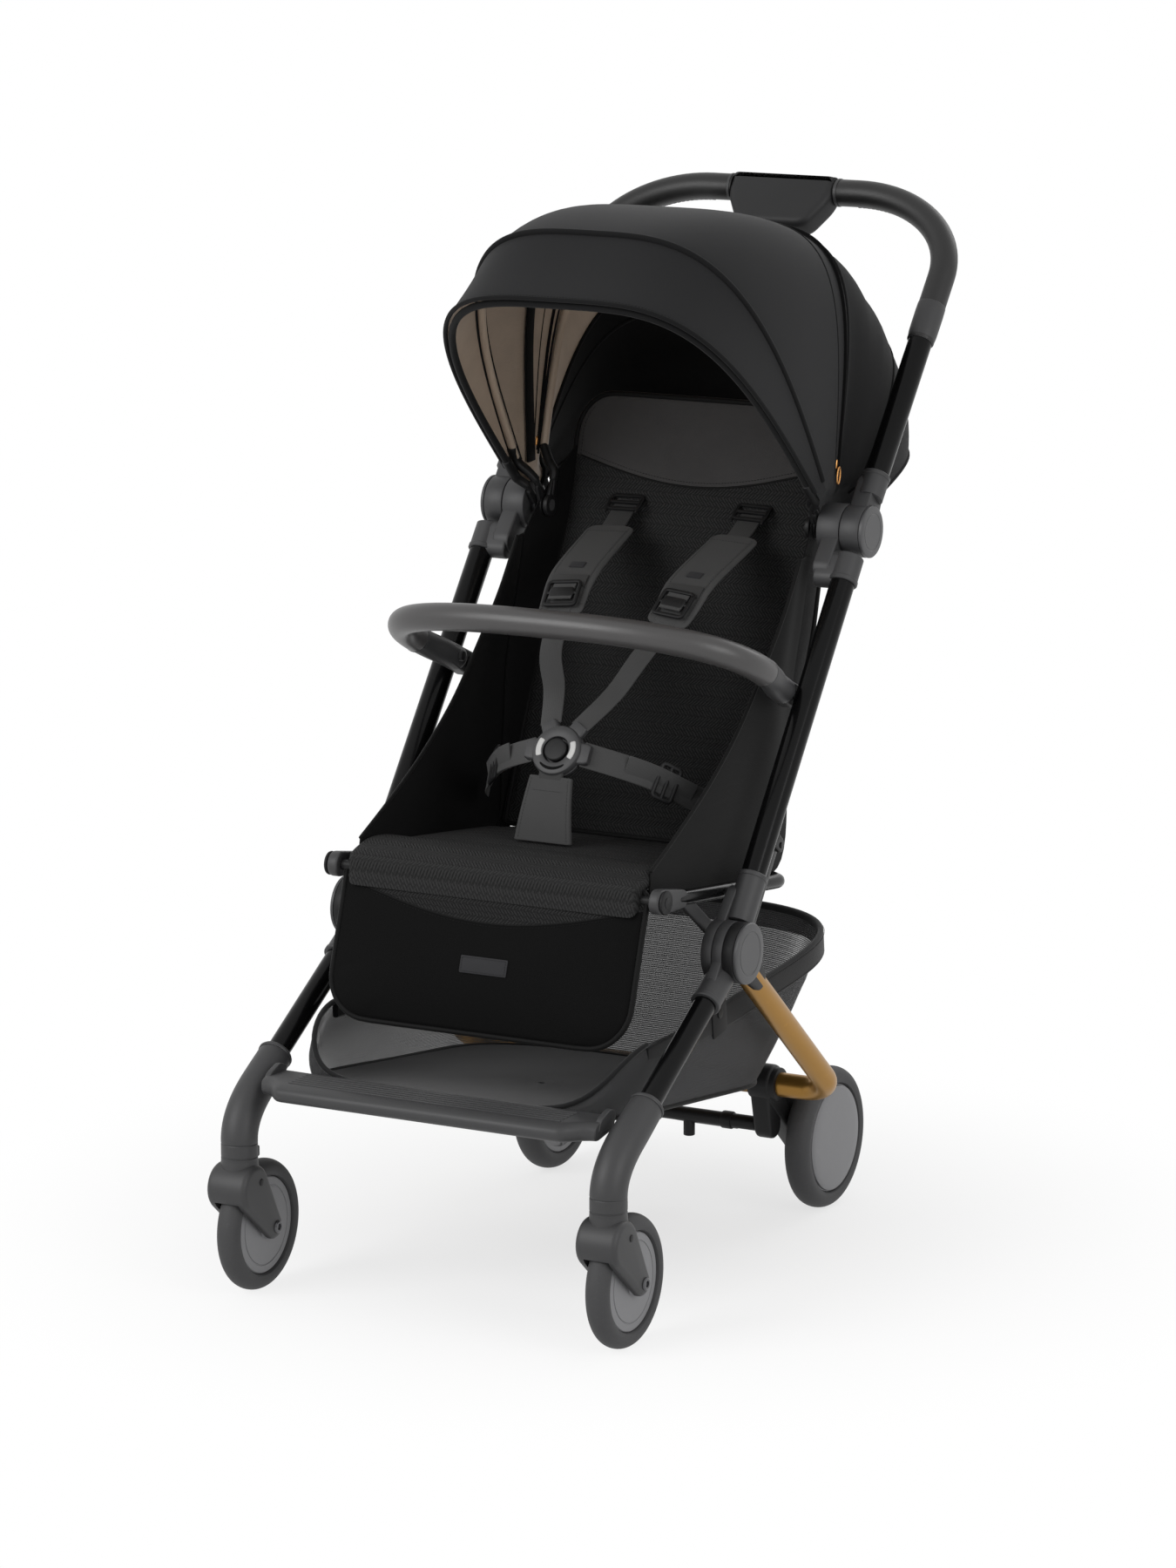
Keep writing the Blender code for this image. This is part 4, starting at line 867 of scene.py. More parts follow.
# Finishes of this stroller: the maker, a colour of the panel or a fixed one, the share of it that is
# used, and the maker's other values
FINISHES = {
    "gloss_black": (painted, "tube", 1.0, {"roughness": 0.22, "metallic": 0.0, "coat": 0.08, "gloss": 0.10}),
    "bronze": (painted, "bronze", 1.0, {"roughness": 0.38, "metallic": 0.80, "coat": 0.12}),
    "satin_grey": (moulded, "moulding", 1.0, {"roughness": 0.50}),
    "satin_black": (moulded, "moulding", 0.30, {"roughness": 0.46, "gloss": 0.20}),
    "housing_grey": (moulded, "moulding", 0.55, {"roughness": 0.50, "gloss": 0.25}),
    "cap_grey": (moulded, "moulding", 1.7, {"roughness": 0.42, "grain": 0.00006}),
    "wheel_disc": (moulded, "disc", 1.0, {"roughness": 0.46, "grain": 0.00006}),
    "tyre": (rubber, "tyre", 1.0, {}),
    "steel": (bright_metal, (0.10, 0.10, 0.105), 1.0, {"roughness": 0.32}),
    "gold": (bright_metal, tone(196, 142, 84), 1.0, {"roughness": 0.26}),
    # The grips and the bumper bar are one leatherette, in a darker copy and a much lighter one: painted shade
    # on the grips and painted highlight on the bumper bar.
    "grip": (leatherette, "leather", 0.15, {"roughness": 0.44}),
    "bumper_grip": (leatherette, "leather", 1.7, {"roughness": 0.34}),
    "thread": (woven, "leather", 0.12, {"thread": 0.0004, "plane": 0.0}),
    "canopy": (woven, "canopy", 1.0, {"thread": 0.0006, "roughness": 0.72, "sheen": 0.06}),
    "canopy_edge": (woven, "canopy", 0.42, {"thread": 0.0006, "roughness": 0.80, "sheen": 0.05}),
    "rear_cloth": (woven, "canopy", 0.50, {"thread": 0.0006, "roughness": 0.80, "sheen": 0.08}),
    "inner_cloth": (woven, "canopy", 0.22, {"thread": 0.0006, "roughness": 0.85, "sheen": 0.03}),
    "lining": (lining_cloth, "lining", 1.0, {}),
    "side_cloth": (woven, "seat", 3.0, {"sheen": 0.05, "plane": 90.0}),
    "basket_net": (open_net, "basket", 1.0, {}),
    "basket_cloth": (woven, "basket_floor", 1.0, {"thread": 0.0009, "roughness": 0.74, "sheen": 0.12}),
    "hem": (woven, "hem", 1.0, {"roughness": 0.66, "sheen": 0.15}),
    "webbing": (ribbed_webbing, "webbing", 0.80, {}),
    "dark_webbing": (ribbed_webbing, "webbing", 0.40, {}),
    "strap_pad": (woven, "webbing", 1.25, {"thread": 0.0006, "roughness": 0.70, "sheen": 0.04}),
    "piping": (woven, "seat", 1.3, {"thread": 0.0005, "roughness": 0.60, "sheen": 0.05}),
    "inlay": (light_inlay, tone(188, 188, 186), 1.0, {}),
    "label": (woven, tone(52, 52, 54), 1.0, {"thread": 0.0005, "roughness": 0.60, "sheen": 0.05,
                                             "plane": CALF_POLAR - 180.0}),
}


def finish_of(name):
    """Material by the name of its finish, with the colours of the panel."""
    maker, colour, share, values = FINISHES[name]
    if isinstance(colour, str):
        colour = tuple(getattr(bpy.context.scene.stroller_colours, colour))
    return look(name, maker, shade(colour, share), **values)


def fillet(points, radius, steps=5):
    """Closed outline of (a, b) points with its corners rounded. radius may be given for each corner."""
    result = []
    for i, point in enumerate(points):
        p, a, b = Vector(point), Vector(points[i - 1]), Vector(points[(i + 1) % len(points)])
        r = radius[i] if isinstance(radius, (list, tuple)) else radius
        r = min(r, (a - p).length * 0.49, (b - p).length * 0.49)
        start, end = p + (a - p).normalized() * r, p + (b - p).normalized() * r
        for j in range(steps + 1):
            t = j / steps
            result.append(tuple((1 - t) ** 2 * start + 2 * t * (1 - t) * p + t * t * end))
    return result


def link(shape, side, span, a, ra, b, rb, edge=0.001, slot=0):
    """Plate with a round end at a and at b, over a span of x on one side."""
    plate(shape, link_outline(a, ra, b, rb, 16), side * span[0], side * span[1], edge, slot)


def peg(shape, side, span, point, radius, edge=0.0008, sides=48, slot=0):
    """Pin across the object, over a span of x on one side."""
    rod_x(shape, side * span[0], side * span[1], point, radius, edge, sides, slot)


def bar(shape, path, width, height, radius, up, steps=4, sizes=None, slot=0, soft_end=0.0):
    """Bar with a rounded box section along a path."""
    sweep(shape, path, rounded_section(width, height, radius, steps), up, sizes, slot, soft_end)


# Hinges and tubes
def hinge_layer(shape, side, layer, arm, angle, distance, radius, offset=0.0):
    """Disc of the lower hinge and the arm that holds a tube. Layer and arm are spans of x."""
    peg(shape, side, layer, LOWER_HINGE, HUB_R, 0.0011, 72, 1)
    link(shape, side, arm, LOWER_HINGE, HUB_ARM_R, polar(LOWER_HINGE, angle, distance, offset), radius,
         0.0015, 1)


def stepped_sleeve(shape, start, end, radius, slot):
    """Plastic sleeve on a tube, with a raised ring at its far end."""
    length = (end - start).length
    ring = length - 0.0045
    profile = [(radius - 0.0012, 0.0), (radius - 0.0003, 0.0006), (radius - 0.0003, ring - 0.0008),
               (radius + 0.0005, ring), (radius + 0.0005, length - 0.0010),
               (radius - 0.0002, length - 0.0002), (radius - 0.0016, length)]
    turned(shape, profile, start, end - start, 48, slot)


def side_point(side, x, origin, angle, distance, offset=0.0):
    """Point on one side, at a distance along an angle from a side view origin."""
    return at(side * x, *polar(origin, angle, distance, offset))

def hinge_cap(node, side, body, pivot, radius, faces, foot):
    """Stepped cap on a hinge, with its pin. Faces are the x of its rings, foot where the pin ends."""
    profile = [(0.0, faces[0]), (radius[0], faces[0]), (radius[1], faces[1]), (radius[2], faces[1]),
               (radius[3], faces[0]), (radius[4], faces[2]), (radius[5], faces[3]), (radius[6], faces[4]),
               (radius[7], faces[5]), (radius[8], faces[6]), (0.0060, faces[7]), (0.0060, foot), (0.0, foot)]
    cap = Shape()
    turned(cap, profile, at(0.0, *pivot), ACROSS * side, 96)
    stand_in(node, cap, "cap_grey", body, 28.0)


def front_legs():
    """Leg tubes, elbow shoes and lower hinge caps."""
    for label, side in SIDES:
        leg = Shape()
        point = lambda d: side_point(side, TUBE_X, LOWER_HINGE, FRONT_POLAR, d, FRONT_OFFSET)
        hinge_layer(leg, side, (0.2018, 0.2130), (0.2021, 0.2127), FRONT_POLAR, 0.047, 0.0125, FRONT_OFFSET)
        stepped_sleeve(leg, point(0.028), point(0.067), SLEEVE_R, 1)
        tube(leg, [point(0.05 + 0.0435 * i) for i in range(5)], 0.0115, 48)
        stand_in(f"front_leg_{label}", leg, "gloss_black satin_grey", "front_frame")

        slope = radians(FRONT_POLAR - 180.0)
        end = polar(LOWER_HINGE, FRONT_POLAR, 0.207, FRONT_OFFSET)
        corner = (0.0, end[1] - end[0] * sin(slope) / cos(slope))
        low, high = (0.0, corner[1] - 0.026), (0.036, corner[1] + 0.036 * sin(slope) / cos(slope))
        path = [at(side * CASTER_X, 0.0, z) for z in (0.1575, 0.1640, 0.1700, 0.1760)]
        path = [p for p in path if p.z < low[1] - 0.002]
        for i in range(15):
            t = i / 14
            w = ((1 - t) ** 2, 2 * t * (1 - t), t * t)
            y, z = (sum(a * k[axis] for a, k in zip(w, (low, corner, high))) for axis in (0, 1))
            path.append(at(side * (CASTER_X + 0.0012 * t), y, z))
        last = path[-1]
        tip = at(side * TUBE_X, *end)
        path += [last.lerp(tip, t) for t in (0.25, 0.5, 0.75, 1.0)]
        sizes = [1.0] * (len(path) - 4) + [0.985, 0.965, 0.94, 0.92]
        shoe = Shape()
        sweep(shoe, path, circle(0.0182, 48), Vector((side, 0, 0)), sizes, soft_end=0.0018)
        mouth = tip + (last - tip).normalized() * 0.0035
        collar = [(0.0120, 0.0), (0.0174, 0.0), (0.0177, 0.0005), (0.0177, 0.0026), (0.0172, 0.0031),
                  (0.0120, 0.0031)]
        turned(shoe, collar, mouth, tip - last, 48)
        stand_in(f"front_shoe_{label}", shoe, "satin_grey", "front_frame")
        hinge_cap(f"lower_hinge_cap_{label}", side, "front_frame", LOWER_HINGE,
                  (0.0205, 0.0210, 0.0219, 0.0224, 0.0280, 0.0296, 0.0304, 0.0305, 0.0302),
                  (0.2293, 0.2289, 0.2292, 0.2288, 0.2279, 0.2262, 0.2254, 0.2253), 0.1885)


def rear_frame():
    """Bent rear tube, wheel housings and brake bar."""
    bend, reach = 0.034, 0.2085
    half = [at(reach, *polar(LOWER_HINGE, REAR_POLAR, d)) for d in (0.030, 0.06, 0.12, 0.18, 0.24)]
    for a in (pi / 2 * i / 12 for i in range(13)):
        half.append(at(reach - bend * (1 - cos(a)),
                       *polar(LOWER_HINGE, REAR_POLAR, 0.305 - bend + bend * sin(a))))
    path = half + [at(x, *REAR_CROSS) for x in (0.10, 0.0, -0.10)]
    path += [Vector((-p.x, p.y, p.z)) for p in reversed(half)]
    legs = Shape()
    tube(legs, path, TUBE_R, 48, 0, Vector((0.0, 0.3, 1.0)), 0.002)
    for _, side in SIDES:
        hinge_layer(legs, side, (0.2133, 0.2250), (0.2136, 0.2205), REAR_POLAR, 0.053, 0.0122)
    piece("visual_rear_frame", legs, "bronze satin_black", "rear_frame", "rear_frame_tube")

    for label, side in SIDES:
        arm = Shape()
        body = fillet(link_outline(REAR_CROSS, 0.0200, REAR_AXLE, 0.0185, 10), 0.004, 2)
        plate(arm, body, side * 0.1190, side * 0.1430, 0.0045)
        link(arm, side, (0.1205, 0.1400), REAR_CROSS, 0.0180, BRAKE_AXIS, 0.0130, 0.0035)
        peg(arm, side, (0.1172, 0.1482), REAR_CROSS, 0.0172, 0.0016, 64)
        peg(arm, side, (0.1178, 0.1435), REAR_AXLE, 0.0128, 0.0014, 64)
        for x in (0.1190, 0.1422):
            rim = [polar(REAR_CROSS, a, 0.0160) for a in range(0, 360, 12)]
            tube(arm, [at(side * x, *p) for p in rim + rim[:1]], 0.0006, 6, 0, ACROSS)
        stand_in(f"rear_housing_{label}", arm, "satin_black", "rear_frame")

    pedal = Shape()
    rod_x(pedal, -0.1184, 0.1184, BRAKE_AXIS, 0.0075, 0.0008, 40)
    link(pedal, 1, (0.010, 0.070), polar(BRAKE_AXIS, BRAKE_SLOPE, 0.004), 0.0070,
         polar(BRAKE_AXIS, BRAKE_SLOPE, 0.060), 0.0050, 0.0024)
    for i in range(5):
        ridge = polar(BRAKE_AXIS, BRAKE_SLOPE, 0.022 + 0.008 * i, 0.0066 - 0.0003 * i)
        rod_x(pedal, 0.017, 0.063, ridge, 0.0010, 0.0004, 12)
    rod(pedal, at(0.040, 0.487, 0.078), at(0.040, *BRAKE_AXIS), 0.0060, 0.0010, 32)
    for x in (-0.085, 0.085):
        rod_x(pedal, x - 0.006, x + 0.006, BRAKE_AXIS, 0.0092, 0.0012, 40)
    stand_in("brake_bar", pedal, "satin_black", "brake")


def push_frame():
    """Middle tubes with their hinge parts, and the fold links."""
    on_tube = lambda d, o=0.0: polar(LOWER_HINGE, MID_POLAR, d, o)
    link_top, link_low = on_tube(LINK_HEIGHT, -0.028), on_tube(0.044, -0.030)
    for label, side in SIDES:
        post = Shape()
        point = lambda d: side_point(side, TUBE_X, LOWER_HINGE, MID_POLAR, d)
        hinge_layer(post, side, (0.1900, 0.2015), (0.1903, 0.2012), MID_POLAR, 0.055, 0.0138)
        stepped_sleeve(post, point(0.030), point(0.083), SLEEVE_R, 1)
        tube(post, [point(0.060 + (PUSH_LENGTH - 0.097) * i / 8) for i in range(9)], TUBE_R, 48)
        stepped_sleeve(post, point(PUSH_LENGTH - 0.034), point(PUSH_LENGTH - 0.064), SLEEVE_R - 0.0002, 1)
        peg(post, side, (0.1680, 0.1932), UPPER_HINGE, UPPER_HUB_R, 0.0016, 96, 1)
        link(post, side, (0.1742, 0.1928), UPPER_HINGE, 0.0165, polar(MID_TOP, MID_POLAR, -0.048), 0.0132,
             0.0022, 1)
        link(post, side, (0.1765, 0.2095), polar(MID_TOP, MID_POLAR, -0.040), 0.0118,
             polar(MID_TOP, MID_POLAR, -0.058), 0.0110, 0.0025, 1)
        link(post, side, (0.2072, 0.2125), on_tube(LINK_HEIGHT), 0.0080, link_top, 0.0070)
        peg(post, side, (0.1990, 0.2134), link_top, 0.0034, 0.0008, 24)
        peg(post, side, (0.1868, 0.1990), SEAT_HINGE, 0.0060, 0.0008, 32, 1)
        peg(post, side, (0.1795, 0.1990), BUMPER_PIVOT, 0.0055, 0.0006, 32, 1)
        stand_in(f"mid_tube_{label}", post, "gloss_black satin_grey", "push_frame")

        strut = Shape()
        link(strut, side, (0.1990, 0.2068), link_top, 0.0070, link_low, 0.0060, 0.0012)
        peg(strut, side, (0.1984, 0.2074), link_low, 0.0040, 0.0010, 28)
        stand_in(f"fold_link_{label}", strut, "gloss_black", "fold_links")


# Handle
def handle_point(x, distance, lift=0.0):
    """Point on the plane of the handle, or lifted off it."""
    return at(x, *polar(MID_TOP, HANDLE_POLAR, distance, lift))


def grip_path(side):
    """Half of the handle, from its tube round the corner to the button housing."""
    points = [handle_point(side * TUBE_X, 0.222 + 0.0195 * i) for i in range(5)]
    for i in range(1, 25):
        a = pi / 2 * i / 24
        x = TUBE_X - (TUBE_X - 0.085) * (1 - cos(a))
        points.append(handle_point(side * x, 0.300 + (HANDLE_LENGTH - 0.300) * sin(a)))
    points.append(handle_point(side * 0.0604, HANDLE_LENGTH))
    return points


def grip_stitches(label, path):
    """Two rails of stitches with rungs between them, on the inside of a grip."""
    fine = smooth_path(path, 3)
    inward = (handle_point(0, 0) - handle_point(0, 0.1)).normalized() * 0.60 - HANDLE_LIFT * 0.80
    middle, rails = [], ([], [])
    for point, (tangent, _, _) in zip(fine, frames(fine, LEATHER_UP)):
        inner = (inward - tangent * inward.dot(tangent)).normalized()
        middle.append(point + inner * 0.0142)
        radial = (middle[-1] - point).normalized()
        sidewise = tangent.cross(radial)
        for rail, offset in zip(rails, (-0.0028, 0.0028)):
            rail.append(point + (radial * 0.0142 + sidewise * offset).normalized() * 0.0144)
    stitches(f"grip_rail_stitches_{label}", rails, "handle_frame", "thread", 1.39, 1.54, 0.0012, 0.0010)
    rungs = [[a, a.lerp(b, 0.5) + (m - p) * 0.03, b] for a, b, m, p in zip(*rails, middle, fine)][:-1]
    stitches(f"grip_ladder_stitches_{label}", rungs, "handle_frame", "thread", 0.67, 1.15, 0.0012, 0.0010)


def handle():
    """Upper tubes, hinge caps, wrapped grips, button housing and fold button."""
    for label, side in SIDES:
        post = Shape()
        peg(post, side, (0.1936, 0.2150), UPPER_HINGE, UPPER_HUB_R, 0.0016, 96, 1)
        link(post, side, (0.1940, 0.2146), UPPER_HINGE, 0.0175, polar(MID_TOP, HANDLE_POLAR, 0.046), 0.0128,
             0.0022, 1)
        point = lambda d: handle_point(side * TUBE_X, d)
        stepped_sleeve(post, point(0.034), point(0.062), SLEEVE_R - 0.0002, 1)
        tube(post, [point(0.040 + 0.1815 * i / 6) for i in range(7)], TUBE_R, 48)
        stand_in(f"upper_tube_{label}", post, "gloss_black satin_grey", "handle_frame")
        hinge_cap(f"upper_hinge_cap_{label}", side, "handle_frame", UPPER_HINGE,
                  (0.0178, 0.0182, 0.0190, 0.0194, 0.0243, 0.0257, 0.0264, 0.0265, 0.0262),
                  (0.2190, 0.2187, 0.2189, 0.2185, 0.2177, 0.2162, 0.2154, 0.2153), 0.1478)

        path = grip_path(side)
        grip = Shape()
        sweep(grip, path, circle(0.0141, 48), LEATHER_UP, soft_end=0.0012)
        sleeve = [handle_point(side * TUBE_X, 0.2215 + 0.0085 * i) for i in range(6)]
        sweep(grip, sleeve, circle(0.0148, 48), LEATHER_UP, [0.93, 0.99, 1.0, 1.0, 1.0, 0.985], 1,
              soft_end=0.0009)
        ring = [(0.0130, -0.0030), (0.0146, -0.0028), (0.0148, -0.0020), (0.0148, 0.0), (0.0130, 0.0)]
        turned(grip, ring, path[-1].lerp(path[-2], 0.02), path[-1] - path[-2], 48, 1)
        stand_in(f"handle_grip_{label}", grip, "grip satin_grey", "handle_frame")
        grip_stitches(label, path[4:-1])

    housing = Shape()
    half, low, top = 0.060, HANDLE_LENGTH - 0.050, HANDLE_LENGTH + 0.0130
    outline = [(-half, top), (half, top), (half, HANDLE_LENGTH - 0.0150), (half * 0.66, low),
               (-half * 0.66, low), (-half, HANDLE_LENGTH - 0.0150)]
    outline = fillet(outline, [0.003, 0.003, 0.012, 0.012, 0.012, 0.012], 6)
    points = [handle_point(x, s) - HANDLE_LIFT * 0.0150 for x, s in outline]
    slab(housing, points, HANDLE_LIFT, 0.0300, 0.0085, 0, 6)
    stand_in("button_housing", housing, "housing_grey", "handle_frame")

    button = Shape()
    outline = fillet([(-0.0245, -0.0075), (0.0245, -0.0075), (0.0245, 0.0080), (-0.0245, 0.0080)], 0.005)
    points = [handle_point(x, low + 0.0005 + s) - HANDLE_LIFT * 0.0085 for x, s in outline]
    slab(button, points, HANDLE_LIFT, 0.0170, 0.0030, 0, 4)
    for i in range(5):
        tube(button, [handle_point(x, low - 0.0072, -0.006 + 0.003 * i) for x in (-0.015, 0.015)], 0.0006, 8)
    stand_in("fold_button", button, "satin_black", "fold_button_body")


# Wheels
def mirrored(profile):
    """Profile with its mirror image behind it."""
    return profile + [(r, -h) for r, h in reversed(profile)]


def tyre_profile(radius, inner, half):
    """Round tread over a flat seat."""
    turns = [pi * i / 22 for i in range(23)]
    tread = [(radius - 0.0125 + 0.0125 * sin(a) ** 0.8, half * cos(a)) for a in turns]
    inside = [(inner + 0.0012, -half + 0.0010), (inner, -half + 0.0030), (inner, half - 0.0030),
              (inner + 0.0012, half - 0.0010)]
    return tread + inside + tread[:1]


def add_meshes(obj, *shapes):
    """Join closed shapes to an object's mesh."""
    cage = bmesh.new()
    cage.from_mesh(obj.data)
    for shape in shapes:
        mesh = to_mesh("extra", shape, [])
        cage.from_mesh(mesh)
        bpy.data.meshes.remove(mesh)
    cage.to_mesh(obj.data)
    cage.free()
    smooth_shade(obj.data, 32)


def casters():
    """Front forks with their locks, bolts, rivets, tyres and hubs."""
    for label, side in SIDES:
        x = side * CASTER_X
        centre = at(x, *CASTER_AXLE)
        axle = ACROSS * side
        fork, gap, collar, base = Shape(), Shape(), Shape(), Shape()
        yoke = link_outline((-0.004, 0.112), 0.0245, CASTER_AXLE, 0.0128, 22)
        slab(fork, [at(x - 0.0225, *p) for p in yoke], ACROSS, 0.0450, 0.0060, 0, 5)
        obj = new_object(f"visual_caster_fork_{label}", to_mesh("fork", fork, "satin_grey"))
        rod_x(gap, x - 0.0138, x + 0.0138, CASTER_AXLE, 0.0677, 0.0008, 96)
        cut_away(obj, gap)
        profile = [(0.0, 0.0), (0.0182, 0.0), (0.0182, 0.0145), (0.0176, 0.0150), (0.0176, 0.0158),
                   (0.0182, 0.0163), (0.0182, 0.0278), (0.0174, 0.0289), (0.0, 0.0290)]
        turned(collar, profile, at(x, 0.0, 0.128), UP, 72)
        profile = [(0.0, 0.0), (0.0150, 0.0), (0.0196, 0.0040), (0.0188, 0.0110), (0.0182, 0.0180),
                   (0.0, 0.0185)]
        turned(base, profile, at(x, 0.0, 0.122), UP, 72)
        add_meshes(obj, collar, base)
        hand_over(obj, f"caster_{label}", f"caster_fork_{label}")

        lock = Shape()
        outline = fillet([(-0.0065, 0.1370), (0.0065, 0.1370), (0.0065, 0.1480), (-0.0065, 0.1480)], 0.002)
        slab(lock, [at(x + a, 0.0190, b) for a, b in outline], Vector((0, 1, 0)), 0.0092, 0.0018)
        for i in range(3):
            z = 0.1395 + 0.0026 * i
            tube(lock, [at(x - 0.0045, 0.0283, z), at(x + 0.0045, 0.0283, z)], 0.0005, 8)
        stand_in(f"swivel_lock_{label}", lock, "satin_black", f"swivel_lock_body_{label}")

        bolt = Shape()
        half = 0.0247
        profile = [(0.0, half - 0.0016), (0.0030, half - 0.0016), (0.0032, half - 0.0002),
                   (0.0050, half - 0.0001), (0.0062, half - 0.0008), (0.0065, half - 0.0016),
                   (0.0065, 0.0228), (0.0041, 0.0228)]
        turned(bolt, mirrored(profile), centre, axle, 48)
        stand_in(f"front_axle_{label}", bolt, "steel", f"caster_{label}", 25.0)
        pin = Shape()
        rod(pin, at(x, 0.0170, 0.1275), at(x, 0.0218, 0.1275), 0.0028, 0.0006, 24)
        for s in (-1, 1):
            rod_x(pin, x + s * 0.0222, x + s * 0.0232, (0.004, 0.118), 0.0036, 0.0004, 32)
        piece(f"caster_rivets_{label}", pin, "satin_black", f"caster_{label}", ())

        tyre, hub = Shape(), Shape()
        turned(tyre, tyre_profile(0.0655, 0.0491, 0.0120), centre, axle, 112)
        stand_in(f"front_tyre_{label}", tyre, "tyre", f"front_wheel_{label}")
        face = [(0.0044, 0.0134), (0.0104, 0.0134), (0.0112, 0.0130), (0.0128, 0.0106), (0.0390, 0.0094),
                (0.0394, 0.0086), (0.0404, 0.0086), (0.0408, 0.0093), (0.0474, 0.0090), (0.0485, 0.0080)]
        turned(hub, mirrored(face) + face[:1], centre, axle, 112)
        stand_in(f"front_hub_{label}", hub, "wheel_disc", f"front_wheel_{label}", 25.0)


def rear_wheels():
    """Rear tyres and ribbed hubs with their stub axles."""
    stub = 0.1240 - REAR_X
    for label, side in SIDES:
        centre = at(side * REAR_X, *REAR_AXLE)
        tyre, hub = Shape(), Shape()
        turned(tyre, tyre_profile(0.0740, 0.0566, 0.0138), centre, ACROSS * side, 128)
        stand_in(f"rear_tyre_{label}", tyre, "tyre", f"rear_wheel_{label}")
        profile = [(0.0, 0.0150), (0.0200, 0.0149), (0.0400, 0.0146), (0.0500, 0.0141), (0.0528, 0.0135),
                   (0.0546, 0.0124), (0.0550, 0.0100), (0.0560, 0.0098), (0.0560, -0.0098),
                   (0.0548, -0.0110), (0.0500, -0.0110), (0.0495, -0.0090), (0.0180, -0.0090),
                   (0.0160, -0.0110), (0.0140, -0.0110), (0.0120, -0.0155), (0.0052, -0.0155),
                   (0.0052, stub), (0.0, stub)]
        turned(hub, profile, centre, ACROSS * side, 128)
        back = centre + ACROSS * (side * -0.0093)
        for a in (2 * pi * i / 8 for i in range(8)):
            spoke = [back + Vector((0, cos(a), sin(a))) * r for r in (0.016, 0.050)]
            tube(hub, spoke, 0.0016, 10, 0, ACROSS)
        stand_in(f"rear_hub_{label}", hub, "wheel_disc", f"rear_wheel_{label}", 25.0)


# Footrest
def footrest():
    """Board between the front legs, with its ribs."""
    outline = [(-0.012, 0.2080), (-0.005, 0.2040), (0.047, 0.2095), (0.047, 0.2225), (0.000, 0.2225),
               (-0.012, 0.2180)]
    section = fillet(outline, [0.004, 0.005, 0.003, 0.003, 0.007, 0.005], 6)
    middle = 0.2150
    ends = ((0.1855, 0.58, 0.84), (0.1850, 0.62, 0.92), (0.1838, 0.64, 0.97), (0.1780, 0.66, 0.99),
            (0.1700, 0.74, 1.0), (0.1620, 0.90, 1.0), (0.1570, 0.98, 1.0), (0.1530, 1.0, 1.0))
    steps = [(-x, deep, tall) for x, deep, tall in ends]
    steps += [(-0.1530 + 0.306 * i / 8, 1.0, 1.0) for i in range(1, 8)]
    board = Shape()
    loft(board, [[at(x, 0.047 - (0.047 - y) * deep, middle + (z - middle) * tall) for y, z in section]
                 for x, deep, tall in steps + list(reversed(ends))])
    brace = fillet([(0.014, 0.212), (0.046, 0.212), (0.052, 0.226), (0.040, 0.231), (0.020, 0.224)], 0.005)
    for _, side in SIDES:
        plate(board, brace, side * 0.1800, side * 0.1862, 0.0012)
    stand_in("footrest_board", board, "satin_grey satin_black", "front_frame", 30.0)
    grown("footrest_ribs", rib_tree("rib_row"), bpy.data.meshes.new("rib_base"), "front_frame",
          "grey_plastic", Count=6, Start=tuple(at(0.0, 0.0050, 0.2224)), Step=(0.0, 0.0066, 0.0),
          Length=0.300, Radius=0.0017, Flatness=0.55, Material=finish_of("satin_grey"))


# Bumper bar
def bumper_path():
    """Half of the bumper bar, from its right pivot to the middle."""
    point = lambda x, distance: at(x, *polar(BUMPER_PIVOT, BUMPER_POLAR, distance))
    knots = [point(0.1865, 0.018), point(0.1885, 0.040), point(0.1945, 0.064)]
    start = 0.085
    for i in range(17):
        a = pi / 2 * i / 16
        x = 0.197 * cos(a) ** 0.75 if i < 16 else 0.0
        knots.append(point(x, start + (0.198 - start) * sin(a) ** 0.75))
    return knots


def bumper():
    """Wrapped bar with its elbows, rings, seam and release buttons."""
    half = smooth_path(bumper_path(), 3)
    path = half + [Vector((-p.x, p.y, p.z)) for p in reversed(half[:-1])]
    split, up = 9, Vector((0, 0.3, 1))
    rail = Shape()
    sweep(rail, path[split:len(path) - split], circle(0.0141, 44), up, soft_end=0.0012)
    for ends in (path[:split + 2], path[-split - 2:]):
        sweep(rail, ends, circle(0.0134, 44), up, None, 1, soft_end=0.0030)
    ring = [(0.0120, -0.0016), (0.0140, -0.0014), (0.0144, -0.0006), (0.0144, 0.0006), (0.0140, 0.0014),
            (0.0120, 0.0016)]
    for index in (split, len(path) - split - 1):
        turned(rail, ring, path[index], path[index + 1] - path[index - 1], 44, 1)
    for _, side in SIDES:
        link(rail, side, (0.1775, 0.1935), BUMPER_PIVOT, 0.0125, polar(BUMPER_PIVOT, BUMPER_POLAR, 0.032),
             0.0112, 0.0026, 1)
        peg(rail, side, (0.1766, 0.1780), BUMPER_PIVOT, 0.0078, 0.0005, 40, 1)
    stand_in("bumper_bar", rail, "bumper_grip satin_grey", "bumper")
    seam = [p + Vector((0, 0.35, -1)).normalized() * 0.0142 for p in path[split + 2:len(path) - split - 2]]
    stitches("bumper_seam_stitches", [seam], "bumper", "thread", 1.17, 1.15, 0.0010, 0.0008)
    for label, side in SIDES:
        button = Shape()
        peg(button, side, (0.1780, 0.1700), polar(BUMPER_PIVOT, BUMPER_POLAR, 0.030), 0.0054, 0.0014, 40)
        stand_in(f"bumper_button_{label}", button, "satin_black", f"bumper_button_body_{label}")


# Soft goods
def face_out(mesh, centre):
    """Turn a sheet's faces away from a point."""
    if sum(p.normal.dot(p.center - centre) * p.area for p in mesh.polygons) < 0:
        mesh.flip_normals()


